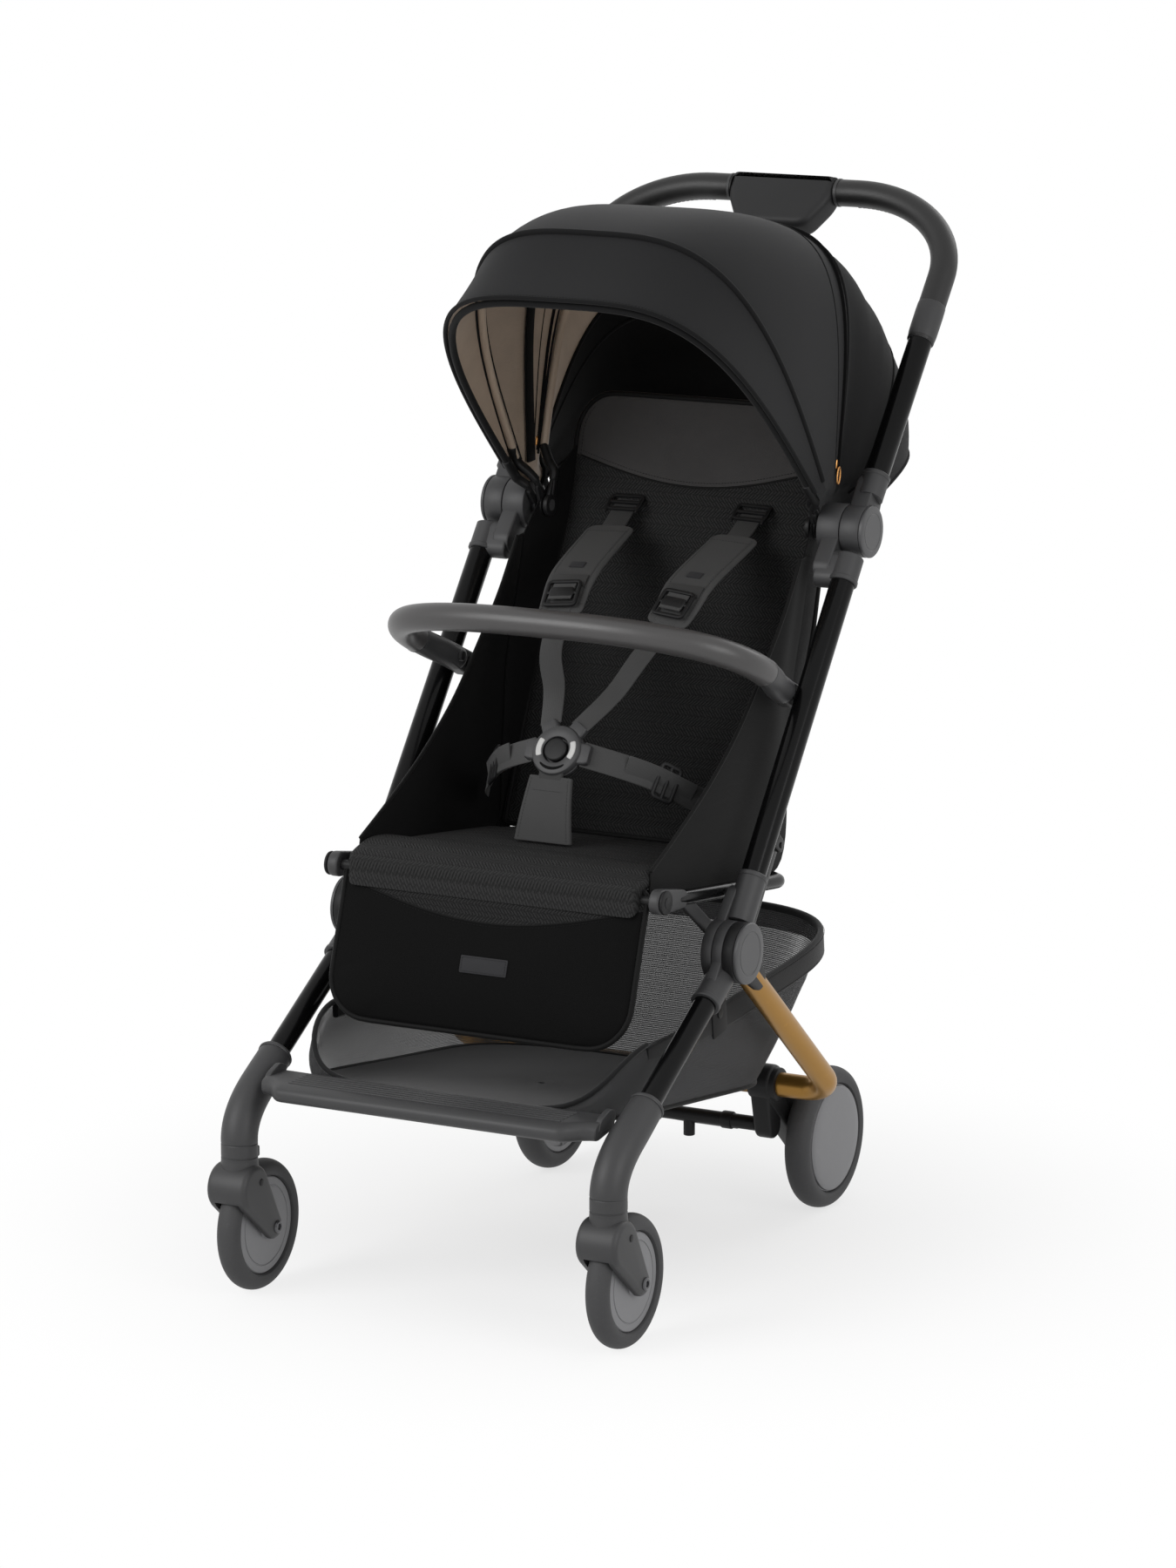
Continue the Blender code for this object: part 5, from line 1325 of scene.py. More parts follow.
def cloth_sheet(name, rows, finishes, thickness, centre, body=None, replaces=(),
                inner_slot=0, smooth=70.0):
    """Curved sheet over rows of points, with a real thickness."""
    shape = loft(Shape(), rows, 0, False, False)
    mesh = to_mesh(name, shape, finishes, smooth, False)
    face_out(mesh, centre)
    obj = new_object(name, mesh)
    wall = obj.modifiers.new("wall", "SOLIDIFY")
    wall.thickness = thickness
    wall.offset = 0.0
    wall.material_offset = inner_slot
    settle(obj)
    smooth_shade(obj.data, smooth)
    hand_over(obj, body, replaces)
    return obj

def puff(obj, pinned, cap, share):
    """Swell a closed pad with a share of the panel's air pressure.

    It is held where pinned(point) is true, and no point moves further than the cap.
    """
    rest = [v.co.copy() for v in obj.data.vertices]
    group = obj.vertex_groups.new(name="held")
    for v in obj.data.vertices:
        if pinned(v.co):
            group.add([v.index], 1.0, "REPLACE")
    mod = obj.modifiers.new("air", "CLOTH")
    cloth = mod.settings
    cloth.quality = 5
    cloth.mass = 0.25
    cloth.tension_stiffness = 18
    cloth.compression_stiffness = 18
    cloth.shear_stiffness = 6
    cloth.bending_stiffness = 0.6
    cloth.use_pressure = True
    cloth.uniform_pressure_force = share * bpy.context.scene.stroller_sizes.swell
    cloth.effector_weights.gravity = 0.0
    cloth.vertex_group_mass = "held"
    mod.collision_settings.use_collision = False
    scene = bpy.context.scene
    for number in range(1, PUFF_FRAMES + 1):
        scene.frame_set(number)
    graph = bpy.context.evaluated_depsgraph_get()
    moved = [v.co.copy() for v in obj.evaluated_get(graph).data.vertices]
    obj.modifiers.clear()
    obj.vertex_groups.clear()
    scene.frame_set(1)
    for v, a, b in zip(obj.data.vertices, rest, moved):
        step = b - a
        if step.length > cap:
            step *= cap / step.length
        v.co = a + step
    obj.data.update()


def subdivide(obj):
    """Smooth an object by one level of subdivision."""
    mod = obj.modifiers.new("smooth", "SUBSURF")
    mod.levels = mod.render_levels = 1
    settle(obj)
    obj.data.shade_smooth()


class Pad:
    """Soft pad on its own plane: x across, s along, and a lift above the plane."""

    def __init__(self, start, along, length, width, top, bottom, bend=None, power=6.0):
        self.start, self.along, self.length = start, along.normalized(), length
        self.up = ACROSS.cross(self.along).normalized()
        self.width, self.top, self.bottom = width, top, bottom
        self.bend = bend or (lambda s: 0.0)
        self.power = power
        self.tree = None

    def spot(self, x, s, lift=0.0):
        """Point over (x, s), lifted off the pad's curl."""
        return self.start + self.along * s + ACROSS * x + self.up * (lift + self.bend(s))

    def local(self, point):
        """Place of a point on the plane."""
        d = point - self.start
        return d.x, d.dot(self.along)

    def mesh_shape(self, rows, cols):
        """Closed shell, thickest in the middle."""
        shape = Shape()
        run = [0.5 - 0.5 * cos(pi * i / rows) for i in range(rows + 1)]
        run = [0.45 * r + 0.55 * i / rows for i, r in enumerate(run)]
        for face in (1, -1):
            grid, uvs = [], []
            for i, r in enumerate(run):
                s = self.length * r
                reach = self.width(s)
                for j in range(cols + 1):
                    b = sin(pi / 2 * (2 * j / cols - 1)) * 0.35 + (2 * j / cols - 1) * 0.65
                    a = 2 * r - 1
                    swell = max(0.0, (1 - abs(a) ** self.power) * (1 - abs(b) ** self.power)) ** 0.5
                    crown = 0.84 + 0.16 * (1 - a * a) * (1 - b * b)
                    lift = self.top * crown * swell if face > 0 else -self.bottom * swell
                    grid.append(self.spot(reach * b, s, lift))
                    uvs.append((reach * b, s))
            faces, corners = [], []
            for i in range(rows):
                for j in range(cols):
                    k = i * (cols + 1) + j
                    ring = [k, k + 1, k + cols + 2, k + cols + 1]
                    faces.append(ring if face > 0 else ring[::-1])
                    corners.append([uvs[n] for n in faces[-1]])
            shape.add(grid, faces, corners)
        return shape

    def edge(self, lift=0.0, step=0.006, out=0.0):
        """Points round the pad's outline."""
        count = int(self.length / step)
        side = []
        for i in range(count + 1):
            s = self.length * (0.5 - 0.5 * cos(pi * i / count))
            side.append((self.width(s) + out, s))
        (foot, _), (tip, end) = side[0], side[-1]
        path = side + [(tip - 2 * tip * i / 24, end + out * 0.5) for i in range(1, 24)]
        path += [(-x, s) for x, s in reversed(side)]
        path += [(-foot + 2 * foot * i / 24, -out * 0.5) for i in range(1, 24)]
        return [self.spot(x, s, lift) for x, s in path]

    def gap(self, x, s):
        """Distance from the pad's outline."""
        return min(self.width(s) - abs(x), s, self.length - s)

    def study(self, obj):
        """Take the final mesh of the pad, so that seams can lie on it."""
        self.tree = BVHTree.FromObject(obj, bpy.context.evaluated_depsgraph_get())

    def drop(self, x, s, lift=0.0):
        """Point on the pad's surface over (x, s)."""
        hit = self.tree.ray_cast(self.spot(x, s, 0.08), -self.up)[0]
        return self.spot(x, s, lift) if hit is None else hit + self.up * lift

    def line(self, points, lift=0.0):
        """Line on the pad's surface over points of its plane."""
        return [self.drop(x, s, lift) for x, s in points]


def cushion(name, node, pad, grid, face, pinned, cap, share, body):
    """Closed pad, swollen by air, that replaces a node. pinned(x, s) holds its seams, grid is its rows
    and columns, depth how far it gives."""
    obj = new_object(name, to_mesh(name, pad.mesh_shape(*grid), [face], 80.0))

    def held(point):
        """Whether a point lies on the rim or in a seam."""
        x, s = pad.local(point)
        return pad.gap(x, s) < 0.003 or pinned(x, s)

    puff(obj, held, cap, share)
    subdivide(obj)
    pad.study(obj)
    hand_over(obj, body, node)


def corner_width(half, length, top_radius, low_radius):
    """Half width along a pad with rounded corners."""
    def width(s):
        """Half width at a distance along the pad."""
        reach = half
        for radius, gap in ((top_radius, length - s), (low_radius, s)):
            if radius and gap < radius:
                gap = max(0.0, gap)
                reach -= radius - sqrt(max(0.0, radius * radius - (radius - gap) ** 2))
        return reach
    return width


def piping(name, path, radius, finish, body, closed=True, sides=12):
    """Cord along a path, or round a closed one."""
    shape = Shape()
    if closed:
        rings = []
        for i, point in enumerate(path):
            tangent = (path[(i + 1) % len(path)] - path[i - 1]).normalized()
            side = tangent.cross(Vector((0.02, 0.9, 0.43))).normalized()
            if side.length < 0.5:
                side = tangent.orthogonal().normalized()
            top = tangent.cross(side)
            rings.append([point + side * a + top * b for a, b in circle(radius, sides)])
        loft(shape, rings + rings[:1], 0, True, False)
    else:
        tube(shape, path, radius, sides, 0, Vector((0.3, 0.5, 0.8)), radius * 0.5)
    return piece(name, shape, finish, body, ())


def two_cloths(name, angle, seam, upper, lower, pitch, thread, start):
    """One face of two cloths, parted by a curved seam. seam is (place, rise, half width) in metres."""
    g = Graph(name)
    x, y, z = g.split(g.spot())
    a = radians(angle)
    v = (y - start[0]) * cos(a) + (z - start[1]) * sin(a)
    place, rise, half = seam
    bow = (x * (pi / 2 / half)).cos()
    mask = (v - (place + bow * rise)).step(-0.0004, 0.0004)
    height, holes = knit_parts(x, v, pitch)
    weave = weave_height(x, v, thread)
    cloud = g.noise(g.vector(x, v), 15.0, 4.0, 0.6)
    fine = g.noise(g.vector(x, v), 900.0, 3.0)
    # Painted highlight and shade on the mesh: lighter on its loops, darker low down and in its holes.
    knit_colour = g.tint(height * 0.5 + 0.5, upper, 0.35, 1.9)
    knit_colour = g.mix(holes * 0.8, knit_colour, shade(upper, 0.25))
    plain = g.tint(cloud, lower, 0.85, 1.18)
    plain = g.mix(fine * 0.3, plain, shade(lower, 0.7))
    colour = g.mix(mask, knit_colour, plain)
    rough = (1.0 - mask) * (0.66 + holes * 0.2) + mask * (0.62 + (fine - 0.5) * 0.16)
    bump = (1.0 - mask) * (height - holes * 0.6) + mask * (weave * 0.12 + fine * 0.22)
    return g.finish(colour, rough, bump, 0.0006, 0.8, Sheen_Weight=0.02, Specular_IOR_Level=0.04)


# Canopy
def hoop_point(hoop, turn, foot):
    """Point on a bow. A hoop is its angle, height, half width and power, and foot the x of its ends."""
    angle, radius, half, power = hoop
    a = radians(turn)
    size = (abs(cos(a)) ** power + abs(sin(a)) ** power) ** (-1 / power)
    reach = radius * sin(a) * size
    neck = foot + 0.8 * max(0.0, reach - 0.036)
    x = max(-neck, min(neck, half * cos(a) * size))
    return at(x, *polar(UPPER_HINGE, angle, reach))


def between(first, last, t):
    """Hoop between two hoops."""
    return tuple(a + (b - a) * t for a, b in zip(first, last))


def hoop_line(hoop, lift=0.0, first=4.5, count=96):
    """Line of cloth over a hoop, from the first turn to as far before its other end."""
    turns = [first + (180.0 - 2 * first) * i / (count - 1) for i in range(count)]
    over = (hoop[0], hoop[1] + 0.0085 + lift, hoop[2] + 0.0056, hoop[3])
    return [hoop_point(over, turn, CLOTH_FOOT) for turn in turns]


def canopy_cord(name, path, radius, body, sides=12):
    """Piping on the canopy, of its edging."""
    return piping(name, path, radius, "canopy_edge", body, False, sides)


def bow(name, hoop, foot, body):
    """Wire bow with its hinge ends and the clips on it."""
    shape = Shape()
    turns = [2.0, 3.5, 5.4, 7.2, 9.0, 12.0] + [16.0 + 148.0 * i / 60 for i in range(61)]
    turns += [168.0, 171.0, 172.8, 174.6, 176.5, 178.0]
    path = [hoop_point(hoop, turn, foot) for turn in turns]
    tube(shape, path, 0.0034, 16, 0, UP)
    for _, side in SIDES:
        peg(shape, side, (foot - 0.0025, foot + 0.0025), UPPER_HINGE, 0.0119, 0.0008, 40)
        link(shape, side, (foot - 0.0021, foot + 0.0021), UPPER_HINGE, 0.0086,
             polar(UPPER_HINGE, hoop[0], 0.024), 0.0046, 0.0008)
    stand_in(name, shape, "satin_black", body)
    shape = Shape()
    for mirror in (1, -1):
        run = smooth_path([Vector((mirror * p.x, p.y, p.z)) for p in path[2:6]], 3)
        bar(shape, run, 0.0105, 0.0085, 0.0036, ACROSS, 4,
            [0.86 + 0.14 * min(1.0, i / 4) for i in range(len(run))], 0, 0.0012)
    piece(f"visual_{name}_clips", shape, "satin_black", body, ())


def fold_flat(obj):
    """Give a rear piece of the canopy a mesh of its own."""
    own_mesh(obj)


def sink(line, depth):
    """Line moved from the canopy's cloth towards its inside."""
    return [p + (CANOPY_HEART - p).normalized() * depth for p in line]


def crown(hoop, radius):
    return tuple(at(0.0, *polar(UPPER_HINGE, hoop[0], radius)))


def main_line(t, lift=0.0, first=4.5, count=96):
    """Line on the main cover, t of the way from the middle bow to the front bow."""
    return hoop_line(between(MID_HOOP, FRONT_HOOP, t), lift, first, count)


def visor_line(t, lift=0.0, first=4.5, count=96):
    """Line on the visor, t of the way from the front bow to the visor bow."""
    return hoop_line(between(FRONT_HOOP, VISOR_HOOP, t), lift, first, count)


def over_main(obj):
    """Bake the placement of an object that lies between the middle bow and the front bow into its mesh."""
    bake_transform(obj)


def rear_rows():
    """Rows of the rear cover, from just over the main cover down to the backrest."""
    rows = [main_line(t, -lift) for t, lift in ((0.08, 0.0036), (0.04, 0.0028), (0.0, 0.0012))]
    spans = len(REAR_HOOPS) - 1
    for i in range(spans):
        for j in range(5 if i < spans - 1 else 6):
            hoop = between(REAR_HOOPS[i], REAR_HOOPS[i + 1], j / 5)
            t = (i + j / 5) / spans
            rows.append(hoop_line(hoop, 0.003 * sin(pi * min(1.0, j / 5)) + 0.0015 * sin(pi * t)))
    return rows


def canopy_cover(name, rows, finishes, body=None, replaces=()):
    """Stretched sheet of the canopy, with its second finish inside."""
    return cloth_sheet(name, rows, finishes, COVER_THICKNESS, CANOPY_HEART,
                       body, replaces, 1)


def canopy():
    """Bows, covers, lining, piping and zip."""
    for name, (hoop, foot) in CANOPY_BOWS.items():
        bow(f"canopy_{name}_bow", hoop, foot, f"canopy_{name}")
    stations = [i / 16 for i in range(17)]

    rows = [main_line(0.02 + 0.995 * t, -0.004 * sin(pi * t)) for t in stations]
    over_main(canopy_cover("canopy_main_panel", rows, "canopy lining",
                           None, "canopy_front_cover"))
    rows = [visor_line(t, -0.005 * sin(pi * t) + 0.0012 * (1 - t)) for t in stations]
    visor = canopy_cover("canopy_visor_panel", rows, "canopy lining",
                         None, "canopy_visor_cover")
    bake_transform(visor)

    rows, split = rear_rows(), 10
    upper = canopy_cover("canopy_rear_upper", rows[:split + 1], "rear_cloth lining", None,
                         "canopy_rear_cover")
    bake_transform(upper)
    fold_flat(canopy_cover("canopy_rear_lower", rows[split:], "rear_cloth inner_cloth",
                           "handle_frame"))
    fold_flat(canopy_cord("lining_rear_binding", sink(rows[split], 0.0022), 0.0022, "handle_frame"))

    canopy_cord("visor_front_binding", hoop_line(VISOR_HOOP, 0.0004, 10.0, 120), 0.0024, "canopy_visor")
    canopy_cord("visor_seam_piping", visor_line(0.01, 0.0026, 10.0, 120), 0.0034, "canopy_front")
    canopy_cord("bow_pocket_ridge_front", main_line(0.20, -0.0016, 10.0, 120), 0.0013, "canopy_mid", 10)
    canopy_cord("bow_pocket_ridge_rear", main_line(0.03, 0.0020, 10.0, 120), 0.0021, "canopy_mid", 10)
    zip_line = main_line(0.10, 0.0004, 10.5, 200)
    zipper = Shape()
    bar(zipper, zip_line, 0.0080, 0.0014, 0.0006, UP, 2)
    piece("canopy_zip_tape", zipper, "inner_cloth", "canopy_mid", ())
    stitches("canopy_zip_teeth", [zip_line], "canopy_mid", "satin_black", 0.44, 0.38, 0.0034, 0.0026)
    for body, name, t in (("canopy_visor", "visor_hem_stitches", 0.97),
                          ("canopy_front", "visor_seam_stitches", 0.10)):
        line = visor_line(t, 0.0014 - 0.005 * sin(pi * t), 11.0, 180)
        stitches(name, [line], body, "canopy_edge", 0.94, 1.00, 0.0007, 0.0005)
    for index, level in ((2, "upper"), (4, "lower")):
        line = hoop_line(REAR_HOOPS[index], 0.0012, 10.0, 110)
        fold_flat(canopy_cord(f"rear_panel_{level}_seam", line, 0.0022, "handle_frame", 10))

    for name, cloth, wide in (("front", "lining", 0.0086), ("mid", "lining", 0.0086),
                              ("visor", "canopy_edge", 0.0074)):
        hoop, foot = CANOPY_BOWS[name]
        path = [hoop_point(hoop, 10.0 + 160.0 * i / 110, foot) for i in range(111)]
        sleeve = Shape()
        bar(sleeve, path, wide, 0.0078, 0.0036, UP, 3, soft_end=0.0015)
        piece(f"{name}_bow_sleeve", sleeve, cloth, f"canopy_{name}", ())
    rib_band = Shape()
    bar(rib_band, sink(main_line(0.40, -0.004, 8.0, 150), 0.0042), 0.0026, 0.0160, 0.0012,
        Vector((0, 1, 0)), 2, soft_end=0.0008)
    over_main(piece("lining_rib_band", rib_band, "inner_cloth", None, ()))
    canopy_cord("visor_lining_seam", sink(hoop_line(FRONT_HOOP, 0.0, 9.0, 150), 0.0118), 0.0008,
                "canopy_front", 8)

    zip_line = main_line(0.10, 0.0014, 10.5, 200)
    for label, side in SIDES:
        puller = Shape()
        run = zip_line[:12] if side > 0 else zip_line[-12:][::-1]
        head = run[2]
        down = (run[0] - run[4]).normalized()
        out = Vector((side, 0, 0))
        ahead = down.cross(out).normalized()
        bar(puller, [head - down * 0.004, head, head + down * 0.004], 0.0075, 0.0044, 0.0016, out, 4,
            [0.8, 1.0, 0.8], 0, 0.0008)
        loop = [head + out * 0.0035 + down * (0.011 + 0.0085 * cos(a)) + ahead * (0.0032 * sin(a))
                for a in (2 * pi * i / 24 for i in range(25))]
        tube(puller, loop, 0.0009, 10, 0, out)
        piece(f"zip_puller_{label}", puller, "gold", "canopy_mid", ())


# Seat
def across_line(reach, count, place):
    """Points across a pad, each at place(x) along it."""
    return [(x, place(x)) for x in (-reach + 2 * reach * i / count for i in range(count + 1))]


def backrest_pad():
    """Plane, outline and forward curl of the backrest."""
    start = at(0.0, *BACK_HINGE)
    along = at(0.0, *polar(BACK_HINGE, BACK_POLAR, 1.0)) - start
    base = corner_width(0.1535, BACK_SHOWN, 0.044, 0.004)
    place = lambda s: 2 * s / BACK_LENGTH - 1
    width = lambda s: base(s) * (1.0 - 0.10 * max(0.0, place(s)))
    bend = lambda s: 0.040 * (max(0.0, place(s) - 0.30) / 0.70) ** 1.5
    return Pad(start, along, BACK_SHOWN, width, 0.0085, 0.0075, bend)


def header_line(x):
    """Where the head panel's lower seam runs, along the backrest."""
    return HEAD_SEAM[0] + HEAD_SEAM[1] * cos(pi / 2 * min(1.0, abs(x) / HEAD_SEAM[2]))


def knit_pitch():
    """Pitch of the spacer mesh, from the panel."""
    return bpy.context.scene.stroller_sizes.knit_pitch


def backrest():
    """Backrest with its head panel, piping and seams."""
    pad, body = backrest_pad(), "backrest_body"
    colours = bpy.context.scene.stroller_colours
    face = look("backrest_face", two_cloths, BACK_POLAR, HEAD_SEAM, tuple(colours.knit),
                tuple(colours.header), knit_pitch(), 0.0009, (BACK_HINGE[0] - Y_CENTRE, BACK_HINGE[1]))
    cushion("backrest_pad", "backrest", pad, (92, 62), face, lambda x, s: abs(s - header_line(x)) < 0.003,
            0.006, 0.75, body)
    piping("backrest_piping", pad.edge(0.0, 0.006, 0.0008), 0.0030, "piping", body)
    seam = across_line(0.134, 60, header_line)
    piping("header_seam_piping", pad.line(seam, SEAM_LIFT), 0.0011, "piping", body, False, 8)
    seam = [(x * 0.985, s + 0.0045) for x, s in seam]
    stitches("header_seam_stitches", [pad.line(seam, SEAM_LIFT)], body, "piping", 0.94, 1.00)
    spots = [0.016 + (BACK_SHOWN - 0.032) * i / 139 for i in range(140)]
    border = [(pad.width(s) - 0.0075, s) for s in spots]
    lines = [pad.line(border, SEAM_LIFT), pad.line([(-x, s) for x, s in border], SEAM_LIFT)]
    stitches("backrest_border_stitches", lines, body, "piping", 1.00, 1.04)


def seat_point(x, distance, height=0.0):
    """Point on the plane of the seat."""
    return at(x, *polar(CALF_HINGE, SEAT_SLOPE, distance, height))


def seat():
    """Seat frame, struts and cushion."""
    loop = Shape()
    rear = sqrt((SEAT_REAR[0] - CALF_HINGE[0]) ** 2 + (SEAT_REAR[1] - CALF_HINGE[1]) ** 2)
    front, x, r = 0.030, 0.178, 0.0075
    knots = [(x, 0.150), (x, rear - 0.026), (x - 0.004, rear - 0.012), (x - 0.012, rear - 0.003),
             (x - 0.026, rear), (x - 0.060, rear)]
    low = [(x, front + 0.016), (x - 0.003, front + 0.004), (x - 0.010, front - 0.004),
           (x - 0.024, front - 0.005)]
    path = knots + [(0.0, rear)] + [(-a, s) for a, s in reversed(knots)]
    path += [(-a, s) for a, s in low] + [(0.0, front - 0.005)] + list(reversed(low)) + [(x, 0.149)]
    tube(loop, smooth_path([seat_point(a, s) for a, s in path], 5), r, 28, 0, Vector((0.2, 0.3, 1)))
    strut_top, strut_low = polar(CALF_HINGE, SEAT_SLOPE, 0.052), (0.272, 0.352)
    for _, side in SIDES:
        link(loop, side, (0.1735, 0.1848), CALF_HINGE, 0.0125, polar(CALF_HINGE, SEAT_SLOPE, front + 0.012),
             0.0093, 0.0022, 1)
        link(loop, side, (0.1743, 0.1792), strut_top, 0.0070, strut_low, 0.0070, 0.0010, 1)
        for end in (strut_top, strut_low):
            peg(loop, side, (0.1738, 0.1806), end, 0.0042, 0.0008, 28, 1)
    stand_in("seat_frame", loop, "gloss_black satin_grey", "seat")

    along = seat_point(0.0, 1.0) - seat_point(0.0, 0.0)
    pad = Pad(seat_point(0.0, 0.0145, 0.0185), along, 0.262, corner_width(0.157, 0.262, 0.014, 0.016), 0.0110,
              0.0078)
    colours = bpy.context.scene.stroller_colours
    face = look("seat_face", knitted, tuple(colours.knit), knit_pitch(), SEAT_SLOPE)
    seam = 0.050
    cushion("seat_cushion", "seat_pad", pad, (54, 62), face,
            lambda x, s: abs(s - seam) < 0.0028 and abs(x) < 0.150, 0.007, 1.0, "seat")
    piping("seat_piping", pad.edge(0.0, 0.006, 0.0006), 0.0024, "piping", "seat")
    line = pad.line(across_line(0.146, 80, lambda x: seam), SEAM_LIFT)
    stitches("seat_front_stitches", [line], "seat", "piping", 1.00, 1.04)


def calf_seam(x):
    """Where the calf rest's seam runs, along it."""
    return 0.020 + 0.030 * cos(pi / 2 * min(1.0, abs(x) / 0.165))


def calf_rest():
    """Calf rest with its seam, blank patch and axle."""
    body = "calf_rest_body"
    start = at(0.0, *polar(CALF_HINGE, CALF_POLAR, -0.009))
    along = at(0.0, *polar(CALF_HINGE, CALF_POLAR, 0.150)) - start
    pad = Pad(start, along, 0.158, corner_width(0.1665, 0.158, 0.044, 0.010), 0.0085, 0.0070, None, 7.0)
    if pad.up.y > 0:
        pad.up.negate()
    colours = bpy.context.scene.stroller_colours
    face = look("calf_face", two_cloths, CALF_POLAR, (0.020, 0.030, 0.165), tuple(colours.knit_light),
                tuple(colours.seat), knit_pitch(), 0.0009, (start.y, start.z))
    cushion("calf_rest_pad", "calf_rest", pad, (38, 76), face, lambda x, s: abs(s - calf_seam(x)) < 0.0026,
            0.006, 1.0, body)
    piping("calf_rest_piping", pad.edge(0.0, 0.005, 0.0006), 0.0028, "piping", body)
    seam = across_line(0.158, 90, calf_seam)
    line = pad.line([(x, s + 0.003) for x, s in seam], SEAM_LIFT)
    stitches("calf_seam_stitches", [line], body, "piping", 0.94, 1.00)
    piping("calf_seam_cord", pad.line(seam, 0.0), 0.0008, "piping", body, False, 8)

    patch = Shape()
    centre = (0.006, 0.092)
    outline = fillet([(-0.0260, -0.0085), (0.0260, -0.0085), (0.0260, 0.0085), (-0.0260, 0.0085)], 0.0012, 2)
    lift = (pad.drop(*centre) - pad.spot(*centre)).dot(pad.up) - 0.0004
    points = [pad.spot(centre[0] + a, centre[1] + b, lift) for a, b in outline]
    slab(patch, points, pad.up, 0.0016, 0.0005)
    piece("bare_label_patch", patch, "label", body, ())
    edge = [pad.spot(centre[0] + a * 0.93, centre[1] + b * 0.80, lift + 0.0017) for a, b in outline]
    stitches("label_stitches", [edge + edge[:1]], body, "piping", 0.67, 0.69, 0.0006, 0.0004)

    axle = Shape()
    for _, side in SIDES:
        peg(axle, side, (0.1500, 0.1870), CALF_HINGE, 0.0050, 0.0006, 28)
        peg(axle, side, (0.1855, 0.1886), CALF_HINGE, 0.0119, 0.0012, 48)
        peg(axle, side, (0.1880, 0.1892), CALF_HINGE, 0.0055, 0.0005, 32)
    piece("calf_rest_axle", axle, "satin_black", body, ())


def front_roll():
    """Cloth that rolls from the seat over its front edge into the calf rest."""
    start = at(0.0, *polar(CALF_HINGE, CALF_POLAR, 0.0))
    along = at(0.0, *polar(CALF_HINGE, CALF_POLAR, 1.0)) - start
    out = Vector((0, -along.z, along.y))
    if out.y > 0:
        out.negate()
    on_calf = lambda lift, distance: start + out * lift + along * distance
    upper = [seat_point(0.0, 0.050, 0.0290), seat_point(0.0, 0.030, 0.0285), seat_point(0.0, 0.012, 0.0250),
             on_calf(0.0160, -0.010), on_calf(0.0130, 0.006), on_calf(0.0092, 0.020)]
    lower = [seat_point(0.0, 0.046, 0.0200), seat_point(0.0, 0.024, 0.0190), seat_point(0.0, 0.012, 0.0140),
             on_calf(0.0060, -0.004), on_calf(0.0040, 0.008), on_calf(0.0050, 0.018)]
    section = smooth_path(upper, 8) + list(reversed(smooth_path(lower, 8)))
    middle = sum(section, Vector()) / len(section)
    ends = ((0.1615, 0.30), (0.1610, 0.62), (0.1595, 0.86), (0.1570, 0.97), (0.1530, 1.0))
    steps = [(-x, size) for x, size in ends] + [(-0.153 + 0.306 * i / 30, 1.0) for i in range(1, 30)]
    shape, rings = Shape(), []
    for x, size in steps + list(reversed(ends)):
        ring = [middle + (p - middle) * size for p in section]
        rings.append([Vector((x, p.y, p.z)) for p in ring])
    loft(shape, rings)
    colours = bpy.context.scene.stroller_colours
    face = look("roll_face", knitted, tuple(colours.knit_light), knit_pitch(), 30.0)
    obj = new_object("seat_front_roll", to_mesh("seat_front_roll", shape, [face], 80.0))
    subdivide(obj)
    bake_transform(obj)


def flatten_to_tube(obj):
    """Give a side panel a mesh of its own."""
    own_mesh(obj)


def side_panels():
    """Side panels with their bindings, and the cloth from them to the backrest."""
    front, back = (smooth_path([Vector(p) for p in knots], 8) for knots in (PANEL_FRONT, PANEL_BACK))
    last = len(front) - 1
    pad = backrest_pad()
    for label, side in SIDES:
        rows = []
        for i, (a, b) in enumerate(zip(front, back)):
            s = i / last
            row = []
            for t in (j / 24 for j in range(25)):
                y, z = a.lerp(b, t)
                fold = 0.0016 * sin(9.0 * s + 5.0 * t) * sin(pi * t) * sin(pi * s)
                bulge = 0.0032 * sin(pi * t) * sin(pi * min(1.0, s * 1.1)) ** 0.7
                row.append(at(side * (0.1622 + bulge + fold), y, z))
            rows.append(row)
        flatten_to_tube(cloth_sheet(
            f"side_panel_cloth_{label}", rows, "side_cloth inner_cloth", 0.0016, SEAT_HEART,
            "push_frame", f"side_panel_{label}", 1))
        hem = Shape()
        tube(hem, [row[0] for row in rows], 0.0019, 12, 0, ACROSS, 0.0008)
        flatten_to_tube(piece(f"side_panel_binding_{label}", hem, "piping", "push_frame", ()))

        rows = []
        for i in range(30):
            s = i / 29
            along = -0.022 + 0.427 * s
            inner = pad.spot(side * (pad.width(along) - 0.002), along, -0.002)
            y, z = back[int(15 + (last - 15) * s)]
            outer = at(side * 0.1604, y - 0.010, z)
            rows.append([inner.lerp(outer, t) + Vector((side * sin(pi * t) * 0.004,
                                                        0.004 * sin(pi * t) * sin(11 * s), 0))
                         for t in (j / 8 for j in range(9))])
        wing = cloth_sheet(f"backrest_wing_{label}", rows, "inner_cloth", 0.0014, SEAT_HEART)
        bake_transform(wing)


# Harness
def buckle_point(x, up_along, outwards):
    """Point by the buckle: across it, up its face and out of it."""
    return at(x, *polar(BUCKLE_CENTRE, BUCKLE_POLAR, outwards, -up_along))


